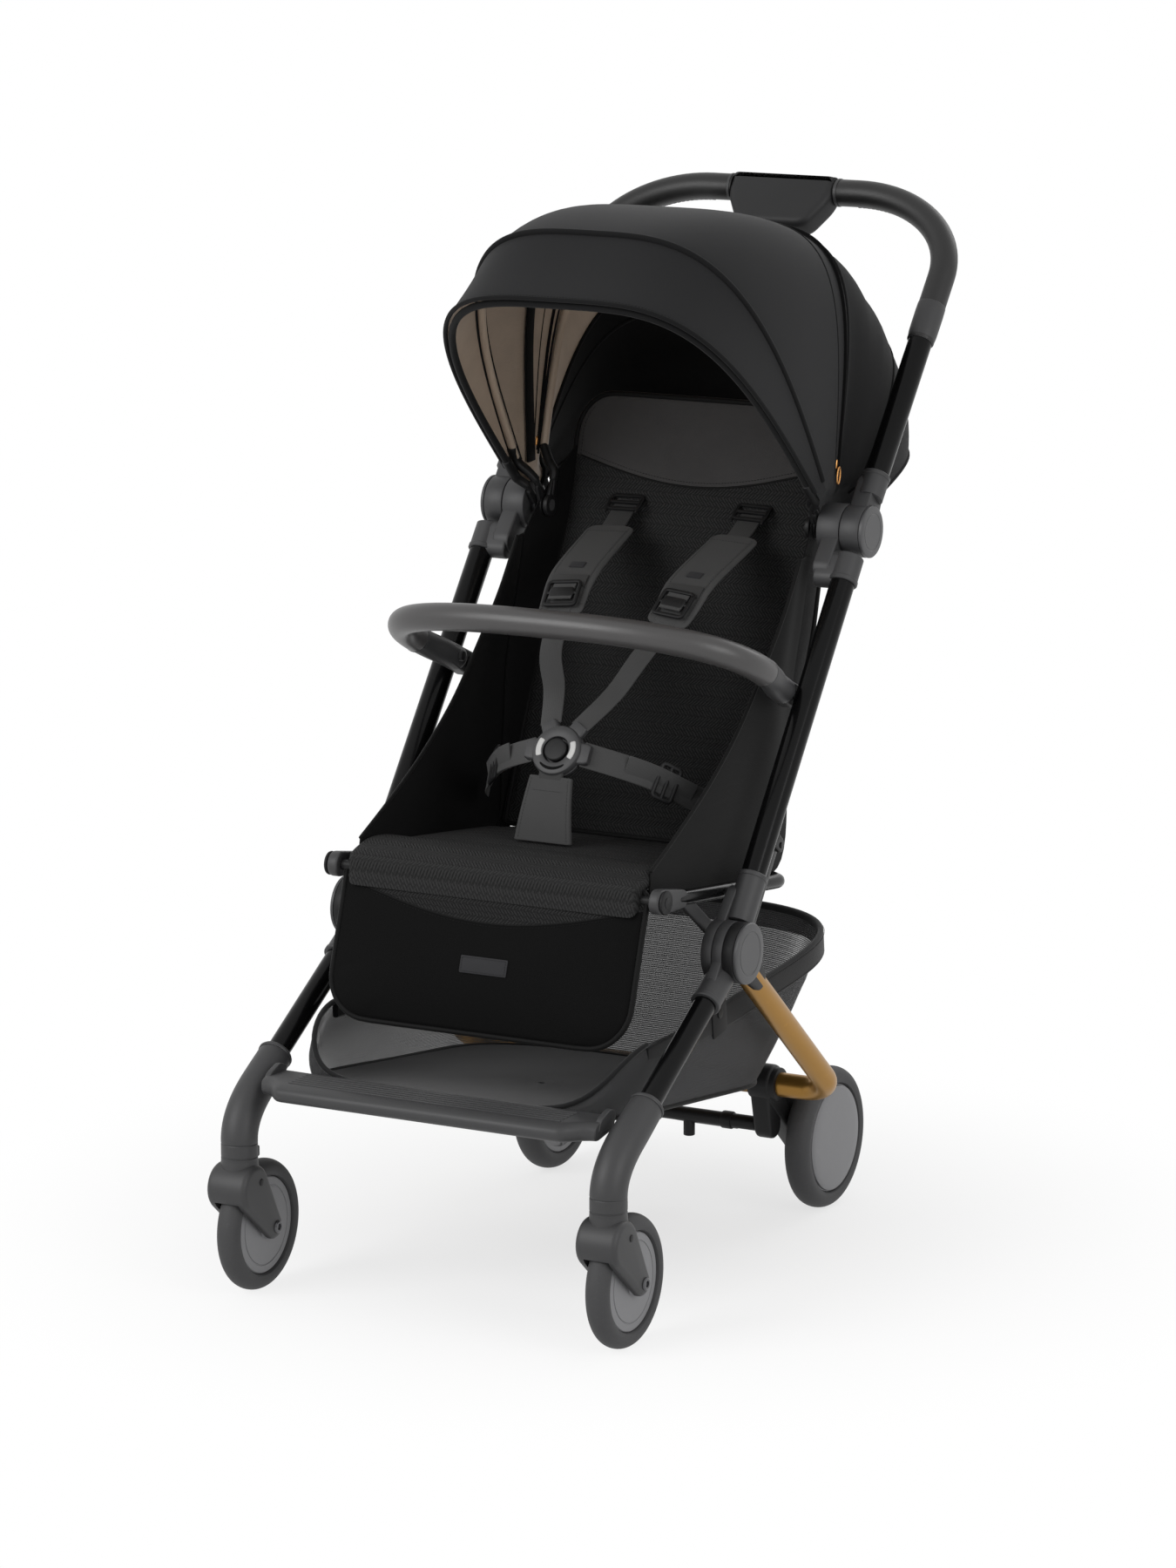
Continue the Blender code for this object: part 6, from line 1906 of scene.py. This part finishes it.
def strap_run(side):
    """Run of a shoulder strap, from its slot in the backrest to the buckle."""
    slot = at(side * 0.073, *polar(BACK_HINGE, BACK_POLAR, 0.346, 0.0150))
    spots = ((0.0715, 0.524, 0.699), (0.0665, 0.440, 0.668), (0.0625, 0.403, 0.640),
             (0.0495, 0.3535, 0.600), (0.0335, 0.331, 0.568))
    hook = buckle_point(side * 0.0165, BUCKLE_R * 0.86 + 0.0055, 0.0)
    return smooth_path([slot] + [at(side * x, y, z) for x, y, z in spots] + [hook], 14)

def band(shape, path, width, thick, up, slot=0, sizes=None):
    """Flat webbing along a path."""
    bar(shape, path, width, thick, thick * 0.46, up, 3, sizes, slot, 0.0008)


def ladder_lock(shape, centre, along, out, width, length):
    """Open plastic frame with a cross bar, over webbing."""
    across = along.cross(out).normalized()
    corners = fillet([(-width / 2, -length / 2), (width / 2, -length / 2), (width / 2, length / 2),
                      (-width / 2, length / 2)], 0.004, 4)
    ring = [centre + across * a + along * b for a, b in corners]
    bar(shape, ring + ring[:2], 0.0042, 0.0034, 0.0012, out, 2)
    reach = across * (width / 2 - 0.001)
    bar(shape, [centre - reach, centre + reach], 0.0040, 0.0036, 0.0014, out, 2)


def shoulder_follow(obj):
    """Bake the placement of a part of a shoulder strap into its mesh."""
    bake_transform(obj)


def shoulder_strap(label, side):
    """Webbing, sleeve, keeper and adjusters of one shoulder strap."""
    run, out = strap_run(side), Vector((0, -0.72, 0.69))
    total = len(run) - 1
    share = lambda part: int(total * part)
    webbing = Shape()
    upper = run[:share(0.28)]
    band(webbing, [upper[0] + Vector((0, 0.010, 0.002))] + upper, 0.026, 0.0016, out, 1)
    lower = [p + out * 0.0052 * max(0.0, 1 - i / 14) for i, p in enumerate(run[share(0.46):])]
    sizes = [(1.0 - 0.12 * i / (len(lower) - 1), 1.0) for i in range(len(lower))]
    band(webbing, lower, 0.0250, 0.0017, out, 0, sizes)
    tail = [p + out * (0.0068 + 0.0005 * i) for i, p in enumerate(run[share(0.41):share(0.52)])]
    band(webbing, tail, 0.0250, 0.0016, out)
    shoulder_follow(stand_in(f"shoulder_strap_{label}", webbing, "webbing dark_webbing", None))

    lifted = [p + out * 0.0005 for p in run[share(0.155):share(0.56)]]
    count = len(lifted)
    sizes = []
    for i in range(count):
        a = 2 * i / (count - 1) - 1
        w = 1.0 - 0.10 * max(0.0, a) - 0.30 * max(0.0, abs(a) - 0.93) / 0.07
        sizes.append((w, 1.0 - 0.45 * abs(a) ** 8))
    section = []
    for i in range(40):
        t = 2 * pi * i / 40
        a, b = cos(t), sin(t)
        section.append((0.0268 * (1 if a >= 0 else -1) * abs(a) ** 0.55,
                        0.0036 * (1 if b >= 0 else -1) * abs(b) ** 0.8 * (1.0 if abs(a) < 0.9 else 0.9)))
    sleeve = Shape()
    sweep(sleeve, lifted, section, out, sizes)
    obj = piece(f"shoulder_pad_{label}", sleeve, "strap_pad", None, (), 60.0)
    subdivide(obj)
    shoulder_follow(obj)

    axes = frames(lifted, out)
    lines = []
    for offset in (-0.0222, 0.0222):
        lines.append([lifted[i] + axes[i][1] * offset * (1 - 0.10 * i / count) + axes[i][2] * 0.0033
                      for i in range(2, count - 2)])
    for i in (3, count - 4):
        _, across, up = axes[i]
        lines.append([lifted[i] + across * (-0.0218 + 0.00484 * k) + up * 0.0036 for k in range(10)])
    shoulder_follow(stitches(f"shoulder_pad_stitches_{label}", lines, None, "dark_webbing", 0.89, 0.92,
                             0.0007))
    keeper = Shape()
    for part, steps, width, thick, slot in ((0.60, (-0.007, -0.0035, 0.0, 0.0035, 0.007), 0.0400, 0.0014, 0),
                                            (0.42, (-0.004, 0.0, 0.004), 0.0160, 0.0010, 1)):
        i = int(count * part)
        tangent, _, up = axes[i]
        band(keeper, [lifted[i] + tangent * d + up * 0.0042 for d in steps], width, thick, up, slot)
    shoulder_follow(piece(f"shoulder_pad_keeper_{label}", keeper, "dark_webbing label", None, ()))

    locks, axes = Shape(), frames(run, out)
    i = share(0.485)
    tangent, _, up = axes[i]
    ladder_lock(locks, run[i] + up * 0.0088, tangent, up, 0.0340, 0.0300)
    body = [run[i] + tangent * d + up * 0.0092 for d in (-0.0050, -0.002, 0.002, 0.0050)]
    bar(locks, body, 0.0270, 0.0052, 0.0020, up, 3, [0.92, 1.0, 1.0, 0.92], 0, 0.0010)
    tangent, across, up = axes[2]
    ladder_lock(locks, run[2] + up * 0.0030 + tangent * 0.002, tangent, up, 0.0360, 0.0200)
    for offset in (-0.0175, 0.0175):
        side_bar = [run[2] + across * offset + tangent * d + up * 0.003 for d in (-0.002, 0.008, 0.017)]
        bar(locks, side_bar, 0.0036, 0.0034, 0.0012, up, 2, [1.0, 1.0, 0.8], 0, 0.0008)
    shoulder_follow(piece(f"strap_adjusters_{label}", locks, "satin_black", None, ()))


def waist_strap(label, side):
    """Webbing and adjuster of one waist strap."""
    upright = Vector((0.0, -0.94, 0.35))
    hip, hook = at(side * 0.146, 0.400, 0.446), buckle_point(side * (BUCKLE_R + 0.0010), 0.0, 0.0)
    path = smooth_path([hip, at(side * 0.122, 0.354, 0.464), at(side * 0.083, 0.312, 0.494), hook], 10)
    strap, slide = Shape(), Shape()
    band(strap, path, 0.0255, 0.0017, upright)
    band(strap, [p + upright * 0.0022 for p in path[12:24]], 0.0255, 0.0015, upright)
    tangent, _, up = frames(path, upright)[17]
    ladder_lock(slide, path[17] + up * 0.0016, tangent, up, 0.0350, 0.0210)
    for obj in (stand_in(f"waist_strap_{label}", strap, "webbing", None),
                piece(f"waist_adjusters_{label}", slide, "satin_black", None, ())):
        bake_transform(obj)


def crotch_strap(out):
    """Padded crotch strap with its loop under the buckle."""
    root, end = at(0.0, 0.246, 0.432), buckle_point(0.0, -BUCKLE_R - 0.0010, 0.0)
    spine = [root.lerp(end, i / 24) + Vector((0, -0.002 * sin(pi * i / 24), 0)) for i in range(25)]
    sizes = [(1.0 - 0.26 * i / 24, 1.0) for i in range(25)]
    strap, loop, axes = Shape(), Shape(), frames(spine, out)
    bar(strap, spine, 0.0640, 0.0056, 0.0024, out, 4, sizes, 0, 0.0012)
    obj = stand_in("crotch_strap", strap, "strap_pad", None, 60.0)
    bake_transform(obj)
    lines = [[spine[i] + axes[i][1] * offset * sizes[i][0] + axes[i][2] * 0.0029 for i in range(1, 24)]
             for offset in (-0.0275, 0.0275)]
    lines.append([spine[19] + axes[19][1] * (-0.016 + 0.004 * k) + axes[19][2] * 0.0030 for k in range(9)])
    obj = stitches("crotch_pad_stitches", lines, None, "dark_webbing", 0.89, 0.92, 0.0007)
    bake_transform(obj)
    short = [end + (end - root).normalized() * d + out * 0.0010 for d in (-0.014, -0.007, 0.0, 0.006)]
    band(loop, short, 0.0270, 0.0040, out)
    piece("crotch_loop", loop, "dark_webbing", "harness", ())


def harness():
    """Five point harness with its buckle."""
    for label, side in SIDES:
        shoulder_strap(label, side)
    for label, side in SIDES:
        waist_strap(label, side)
    centre = buckle_point(0, 0, 0)
    out = (buckle_point(0, 0, 1.0) - centre).normalized()
    rise = (buckle_point(0, 1.0, 0) - centre).normalized()
    crotch_strap(out)

    buckle, button, inlays, slot_shade_strip = Shape(), Shape(), Shape(), Shape()
    profile = [(0.0, -0.0070), (0.0240, -0.0070), (0.0262, -0.0062), (0.0270, -0.0048), (0.0270, -0.0012),
               (0.0262, -0.0006), (0.0262, 0.0002), (0.0268, 0.0008), (0.0266, 0.0040), (0.0252, 0.0062),
               (0.0235, 0.0069), (0.0150, 0.0070), (0.0142, 0.0066), (0.0138, 0.0052), (0.0132, 0.0010),
               (0.0, 0.0008)]
    turned(buckle, profile, centre, out, 96)
    for turn, width in ((0, 0.0230), (180, 0.0230), (58, 0.0190), (122, 0.0190)):
        a = radians(turn)
        direction = ACROSS * cos(a) + rise * sin(a)
        lug = [centre + direction * d - out * 0.0005 for d in (0.018, 0.026, 0.032, 0.0345)]
        bar(buckle, lug, width, 0.0090, 0.0030, out, 4, [1.0, 1.0, 0.96, 0.84], 0, 0.0010)
    stand_in("harness_buckle", buckle, "satin_grey", "harness", 30.0)
    profile = [(0.0, 0.0088), (0.0090, 0.0089), (0.0108, 0.0085), (0.0117, 0.0076), (0.0119, 0.0060),
               (0.0119, 0.0036), (0.0, 0.0036)]
    turned(button, profile, centre, out, 72)
    stand_in("buckle_button", button, "satin_black", "buckle_button_body", 30.0)
    for _, side in SIDES:
        turns = [radians(90 - side * (66 + 48 * i / 8)) for i in range(9)]
        arc_path = [buckle_point(0.0188 * cos(a), 0.0188 * sin(a) + 0.001, 0.0070) for a in turns]
        bar(inlays, arc_path, 0.0060, 0.0020, 0.0009, out, 3, soft_end=0.0014)
    # A near-black strip stands on the buckle's face where its slot opens: painted shade.
    turns = [radians(-132 + 84 * i / 16) for i in range(17)]
    smile = [buckle_point(0.0200 * cos(a), 0.0200 * sin(a), 0.0066) for a in turns]
    bar(slot_shade_strip, smile, 0.0034, 0.0014, 0.0006, out, 3,
        [0.5 + 0.5 * sin(pi * i / 16) ** 0.5 for i in range(17)], 0, 0.0006)
    piece("buckle_inlays", inlays, "inlay", "harness", ())
    piece("buckle_slot", slot_shade_strip, "inner_cloth", "harness", ())


# Basket
def basket_rim(angle):
    """Rim point of the basket, whose front ends dip to the footrest."""
    a = radians(angle)
    depth, mid_y, power = (0.248, 0.294, 0.30) if sin(a) < 0 else (0.1602, 0.4378, 0.62)
    x = 0.178 * (1 if cos(a) >= 0 else -1) * abs(cos(a)) ** power
    y = mid_y + depth * (1 if sin(a) >= 0 else -1) * abs(sin(a)) ** power
    rise = (y - BASKET_FRONT) / (0.598 - BASKET_FRONT)
    climb = 1 - (1 - min(1.0, (y - BASKET_FRONT) / 0.095)) ** 2.2
    return x, y, 0.2180 + 0.054 * climb + 0.032 * max(0.0, rise - 0.45) / 0.55


def basket_floor(p):
    """Floor point under a rim point."""
    rise = (p.y + Y_CENTRE - BASKET_FRONT) / (0.598 - BASKET_FRONT)
    return at(p.x * (0.985 - 0.050 * rise), BASKET_FRONT + rise * 0.405, 0.2140 - 0.051 * rise)


def even_rim(count):
    """Rim points spaced evenly along the rim, from the front middle round the right side."""
    raw = [at(*basket_rim(-90 + 360.0 * i / 1440)) for i in range(1441)]
    run = [0.0]
    for a, b in zip(raw, raw[1:]):
        run.append(run[-1] + (b - a).length)
    result, k = [], 0
    for i in range(count):
        want = run[-1] * i / count
        while run[k + 1] < want:
            k += 1
        t = (want - run[k]) / max(1e-9, run[k + 1] - run[k])
        result.append(raw[k].lerp(raw[k + 1], t))
    return result


def basket():
    """Net walls, floor, hem, bindings and snap tabs."""
    rim = even_rim(180)
    floor = [basket_floor(p) for p in rim]
    rows = []
    for level in (i / 16 for i in range(17)):
        swell = sin(pi * level)
        row = [a.lerp(b, level) for a, b in zip(floor + floor[:1], rim + rim[:1])]
        rows.append([Vector((p.x * (1.0 + 0.030 * swell), p.y + 0.004 * swell * (1 if p.y > 0.1 else 0), p.z))
                     for p in row])
    cloth_sheet("basket_net_walls", rows, "basket_net", 0.0007, at(0.0, 0.30, 0.24),
                "front_frame",
                "storage_basket", 0, 60.0)
    middle = sum(floor, Vector()) / len(floor)
    rings = [[middle.lerp(p, max(t, 0.02)) + Vector((0, 0, -0.004 * (1 - t * t) - 0.0005))
              for p in floor + floor[:1]] for t in (i / 8 for i in range(9))]
    cloth_sheet("basket_floor_cloth", rings, "basket_cloth", 0.0022, at(0.0, 0.30, 0.60),
                "front_frame")
    piping("basket_floor_piping", floor, 0.0024, "piping", "front_frame")

    hem, binding = Shape(), Shape()
    first = next(i for i, p in enumerate(rim) if p.y + Y_CENTRE > 0.130)
    last = len(rim) - first
    path = [p - Vector((0, 0, 0.010)) for p in rim[first:last]]
    ends = [min(i, len(path) - 1 - i) / len(path) for i in range(len(path))]
    bar(hem, path, 0.0062, 0.0270, 0.0028, UP, 4, [(1.0, 0.55 + 0.45 * min(1.0, t / 0.16)) for t in ends], 0,
        0.0015)
    piece("basket_hem_band", hem, "hem", "front_frame", (), 60.0)
    tube(binding, rim[last - 1:] + rim[:first + 1], 0.0027, 12, 0, Vector((0, 0.2, 1)), 0.0008)
    piece("basket_front_binding", binding, "hem", "front_frame", (), 60.0)
    lines = [[p + Vector((p.x, p.y - 0.05, 0)).normalized() * 0.0034 + Vector((0, 0, lift))
              for p in rim[first + 8:last - 8]] for lift in (-0.0205, -0.0005)]
    stitches("basket_hem_stitches", lines, "front_frame", "thread", 1.00, 1.04)
    corners = [(0.262, 0.246), (0.292, 0.252), (0.288, 0.286), (0.270, 0.300), (0.256, 0.290)]
    outline = fillet(corners, 0.006, 4)
    for label, side in SIDES:
        tab = Shape()
        plate(tab, outline, side * 0.1795, side * 0.1825, 0.0010)
        peg(tab, side, (0.1820, 0.1842), (0.274, 0.272), 0.0052, 0.0008, 32, 1)
        piece(f"basket_snap_tab_{label}", tab, "hem satin_black", "front_frame", ())


# Parts of the frame that keep their own shape
KEPT_FINISH = {
    "black_tube": "gloss_black", "bronze_tube": "bronze", "black_plastic": "satin_black",
    "grey_plastic": "satin_grey", "wheel_disc": "wheel_disc", "tyre_foam": "tyre", "steel_pin": "steel",
    "grip_leather": "grip", "seat_fabric": "piping", "canopy_fabric": "canopy", "basket_mesh": "hem",
    "webbing": "webbing"}


def kept_parts():
    """Better materials for the nodes of the frame that no piece replaces."""
    for obj in frame["nodes"].values():
        for holder in obj.material_slots:
            if holder.material.name in KEPT_FINISH:
                holder.material = finish_of(KEPT_FINISH[holder.material.name])


# Stage. The camera stands where the photo was taken from. A lamp is its place, size and power
CAMERA_PLACE = (2.63223, -4.94614, 1.63943)
CAMERA_BACK = (0.46292, -0.86230, 0.20529)
CAMERA_LENS = 130.32
FLOOR_COLOUR = (0.90, 0.90, 0.90)
AIR_LEVEL = 0.50
LAMPS = (("key_lamp", (-1.6, -3.2, 2.3), 2.2, 74.0), ("fill_lamp", (3.2, -1.2, 1.7), 1.8, 34.0),
         ("rim_lamp", (0.6, 2.8, 2.2), 1.6, 14.0))


def stage():
    """White floor and air, three lamps and the camera of the photo."""
    scene = bpy.context.scene
    mesh = bpy.data.meshes.new("studio_floor")
    sides, reach = 96, 30.0
    ring = [(reach * cos(2 * pi * i / sides), reach * sin(2 * pi * i / sides), 0.0) for i in range(sides)]
    mesh.from_pydata(ring, [], [list(range(sides))])
    floor = new_object("studio_floor", mesh)
    g = Graph("studio_floor")
    x, y, _ = g.split(g.spot())
    fade = ((x * x + y * y) ** 0.5).step(0.05, 0.75) * 0.36 + 0.64
    matt = g.add("ShaderNodeBsdfDiffuse", {}, {"Color": (*FLOOR_COLOUR, 1.0)})[0]
    white = g.add("ShaderNodeEmission", {}, {"Color": (1.0, 1.0, 1.0, 1.0), "Strength": 1.0})[0]
    mixed = g.add("ShaderNodeMixShader", {}, {0: fade * g.seen(), 1: matt, 2: white})[0]
    g.add("ShaderNodeOutputMaterial", {}, {"Surface": mixed})
    mesh.materials.append(g.material)

    g = Graph("studio_air", "worlds")
    dim, bright = (g.add("ShaderNodeBackground", {}, {"Color": (1.0, 1.0, 1.0, 1.0), "Strength": level})[0]
                   for level in (AIR_LEVEL, 1.0))
    mixed = g.add("ShaderNodeMixShader", {}, {0: g.seen(), 1: dim, 2: bright})[0]
    g.add("ShaderNodeOutputWorld", {}, {"Surface": mixed})
    scene.world = g.material

    for name, place, size, power in LAMPS:
        data = bpy.data.lights.new(name, "AREA")
        data.shape = "SQUARE"
        data.size = size
        data.energy = power
        lamp = bpy.data.objects.new(name, data)
        lamp.location = place
        lamp.rotation_euler = (Vector(place) - Vector((0, 0, 0.50))).to_track_quat("Z", "Y").to_euler()
        scene.collection.objects.link(lamp)

    data = bpy.data.cameras.new("photo_camera")
    data.lens = CAMERA_LENS
    data.sensor_width = 36.0
    data.sensor_fit = "AUTO"
    data.clip_end = 100.0
    camera = bpy.data.objects.new("photo_camera", data)
    camera.location = CAMERA_PLACE
    camera.rotation_euler = Vector(CAMERA_BACK).to_track_quat("Z", "Y").to_euler()
    scene.collection.objects.link(camera)
    scene.camera = camera
    scene.view_settings.view_transform = "Standard"


# Panel values
def colour_value(name, description, value):
    """Colour of the panel."""
    return bpy.props.FloatVectorProperty(name=name, description=description, default=value, subtype="COLOR",
                                         size=3, min=0.0, max=1.0)


def length_value(name, description, value):
    """Length of the panel."""
    return bpy.props.FloatProperty(name=name, description=description, default=value, min=0.0001, max=0.05,
                                   precision=5, unit="LENGTH", subtype="DISTANCE")


class StrollerColours(bpy.types.PropertyGroup):
    """Colours of the stroller, as light reflected"""
    tube: colour_value("Black tubes", "Gloss black aluminium", (0.0030, 0.0030, 0.0032))
    bronze: colour_value("Rear leg", "Bronze coated tube", tone(156, 116, 52))
    moulding: colour_value("Mouldings", "Grey moulded plastic", tone(50, 50, 51))
    disc: colour_value("Wheel discs", "Satin grey wheel disc", tone(120, 120, 122))
    tyre: colour_value("Tyres", "Foam tyre", tone(60, 60, 61))
    leather: colour_value("Leatherette", "Grips and bumper bar", tone(50, 49, 49))
    canopy: colour_value("Canopy", "Outer canopy cloth", tone(37, 37, 38))
    # The lining's colour is raised well above its own, to stand in for light that shines through the canopy:
    # painted light.
    lining: colour_value("Lining", "Satin lining of the canopy", tone(178, 160, 142))
    seat: colour_value("Seat panels", "Smooth seat cloth", tone(10, 10, 10))
    header: colour_value("Head panel", "Head panel of the backrest", tone(64, 63, 63))
    knit: colour_value("Seat mesh", "Spacer mesh of the seat", tone(40, 40, 40))
    knit_light: colour_value("Calf mesh", "Spacer mesh over the front edge", tone(37, 37, 37))
    basket: colour_value("Basket net", "Open net of the basket", tone(62, 62, 63))
    basket_floor: colour_value("Basket floor", "Solid floor cloth", tone(52, 52, 53))
    hem: colour_value("Basket hem", "Band round the basket", tone(22, 22, 23))
    webbing: colour_value("Webbing", "Harness webbing", tone(66, 66, 66))


class StrollerSizes(bpy.types.PropertyGroup):
    """Sizes of the repeated details"""
    stitch_pitch: length_value("Stitch pitch", "Distance between stitches", 0.0036)
    stitch_length: length_value("Stitch length", "Length of one stitch", 0.0026)
    knit_pitch: length_value("Mesh pitch", "Distance between holes of the spacer mesh", 0.0036)
    net_pitch: length_value("Net pitch", "Distance between holes of the basket net", 0.0019)
    swell: bpy.props.FloatProperty(name="Pad pressure", description="Air pressure that swells the pads",
                                   default=4.0, min=0.0, max=12.0)


# Operators
class STROLLER_OT_front_legs(bpy.types.Operator):
    """Build the front legs with their shoes and lower hinge caps"""
    bl_idname = "stroller.front_legs"
    bl_label = "Front legs"

    def execute(self, context):
        front_legs()
        return {"FINISHED"}


class STROLLER_OT_rear_frame(bpy.types.Operator):
    """Build the rear tube, its wheel housings and the brake bar"""
    bl_idname = "stroller.rear_frame"
    bl_label = "Rear frame"

    def execute(self, context):
        rear_frame()
        return {"FINISHED"}


class STROLLER_OT_push_frame(bpy.types.Operator):
    """Build the middle tubes and the fold links"""
    bl_idname = "stroller.push_frame"
    bl_label = "Push frame"

    def execute(self, context):
        push_frame()
        return {"FINISHED"}


class STROLLER_OT_handle(bpy.types.Operator):
    """Build the handle with its grips, stitches and button housing"""
    bl_idname = "stroller.handle"
    bl_label = "Handle"

    def execute(self, context):
        handle()
        return {"FINISHED"}


class STROLLER_OT_wheels(bpy.types.Operator):
    """Build the front casters and the rear wheels"""
    bl_idname = "stroller.wheels"
    bl_label = "Wheels"

    def execute(self, context):
        casters()
        rear_wheels()
        return {"FINISHED"}


class STROLLER_OT_footrest(bpy.types.Operator):
    """Build the ribbed footrest board"""
    bl_idname = "stroller.footrest"
    bl_label = "Footrest"

    def execute(self, context):
        footrest()
        return {"FINISHED"}


class STROLLER_OT_bumper(bpy.types.Operator):
    """Build the wrapped bumper bar with its elbows and buttons"""
    bl_idname = "stroller.bumper"
    bl_label = "Bumper bar"

    def execute(self, context):
        bumper()
        return {"FINISHED"}


class STROLLER_OT_canopy(bpy.types.Operator):
    """Build the canopy bows, panels, lining, piping and zip"""
    bl_idname = "stroller.canopy"
    bl_label = "Canopy"

    def execute(self, context):
        canopy()
        return {"FINISHED"}


class STROLLER_OT_seat(bpy.types.Operator):
    """Build the seat frame with its cushion, backrest, calf rest and side panels"""
    bl_idname = "stroller.seat"
    bl_label = "Seat"

    def execute(self, context):
        seat()
        backrest()
        calf_rest()
        front_roll()
        side_panels()
        return {"FINISHED"}


class STROLLER_OT_harness(bpy.types.Operator):
    """Build the five point harness with its buckle"""
    bl_idname = "stroller.harness"
    bl_label = "Harness"

    def execute(self, context):
        harness()
        return {"FINISHED"}


class STROLLER_OT_basket(bpy.types.Operator):
    """Build the net basket with its floor, hem and tabs"""
    bl_idname = "stroller.basket"
    bl_label = "Basket"

    def execute(self, context):
        basket()
        return {"FINISHED"}


class STROLLER_OT_kept_parts(bpy.types.Operator):
    """Give the remaining parts of the frame their finishes"""
    bl_idname = "stroller.kept_parts"
    bl_label = "Kept parts"

    def execute(self, context):
        kept_parts()
        return {"FINISHED"}


class STROLLER_OT_stage(bpy.types.Operator):
    """Build the floor, the lamps, the air and the camera"""
    bl_idname = "stroller.stage"
    bl_label = "Stage"

    def execute(self, context):
        stage()
        return {"FINISHED"}


OPERATORS = (
    STROLLER_OT_front_legs, STROLLER_OT_rear_frame, STROLLER_OT_push_frame, STROLLER_OT_handle,
    STROLLER_OT_wheels, STROLLER_OT_footrest, STROLLER_OT_bumper, STROLLER_OT_canopy, STROLLER_OT_seat,
    STROLLER_OT_harness, STROLLER_OT_basket, STROLLER_OT_kept_parts, STROLLER_OT_stage)


class STROLLER_PT_sidebar(bpy.types.Panel):
    """Values and steps of the stroller"""
    bl_idname = "STROLLER_PT_sidebar"
    bl_label = "Compact stroller"
    bl_space_type = "VIEW_3D"
    bl_region_type = "UI"
    bl_category = "Stroller"

    def draw(self, context):
        for group in (context.scene.stroller_sizes, context.scene.stroller_colours):
            for name in group.__annotations__:
                self.layout.prop(group, name)
        for operator in OPERATORS:
            self.layout.operator(operator.bl_idname)


CLASSES = (StrollerColours, StrollerSizes, *OPERATORS, STROLLER_PT_sidebar)


def register():
    """Add the classes and the panel's values."""
    for kind in CLASSES:
        bpy.utils.register_class(kind)
    bpy.types.Scene.stroller_colours = bpy.props.PointerProperty(type=StrollerColours)
    bpy.types.Scene.stroller_sizes = bpy.props.PointerProperty(type=StrollerSizes)


def unregister():
    """Take the classes and the panel's values away."""
    del bpy.types.Scene.stroller_sizes
    del bpy.types.Scene.stroller_colours
    for kind in reversed(CLASSES):
        bpy.utils.unregister_class(kind)


def main():
    """Build the stroller over the frame."""
    register()
    for operator in OPERATORS:
        group, name = operator.bl_idname.split(".")
        getattr(getattr(bpy.ops, group), name)()


if __name__ == "__main__":
    main()
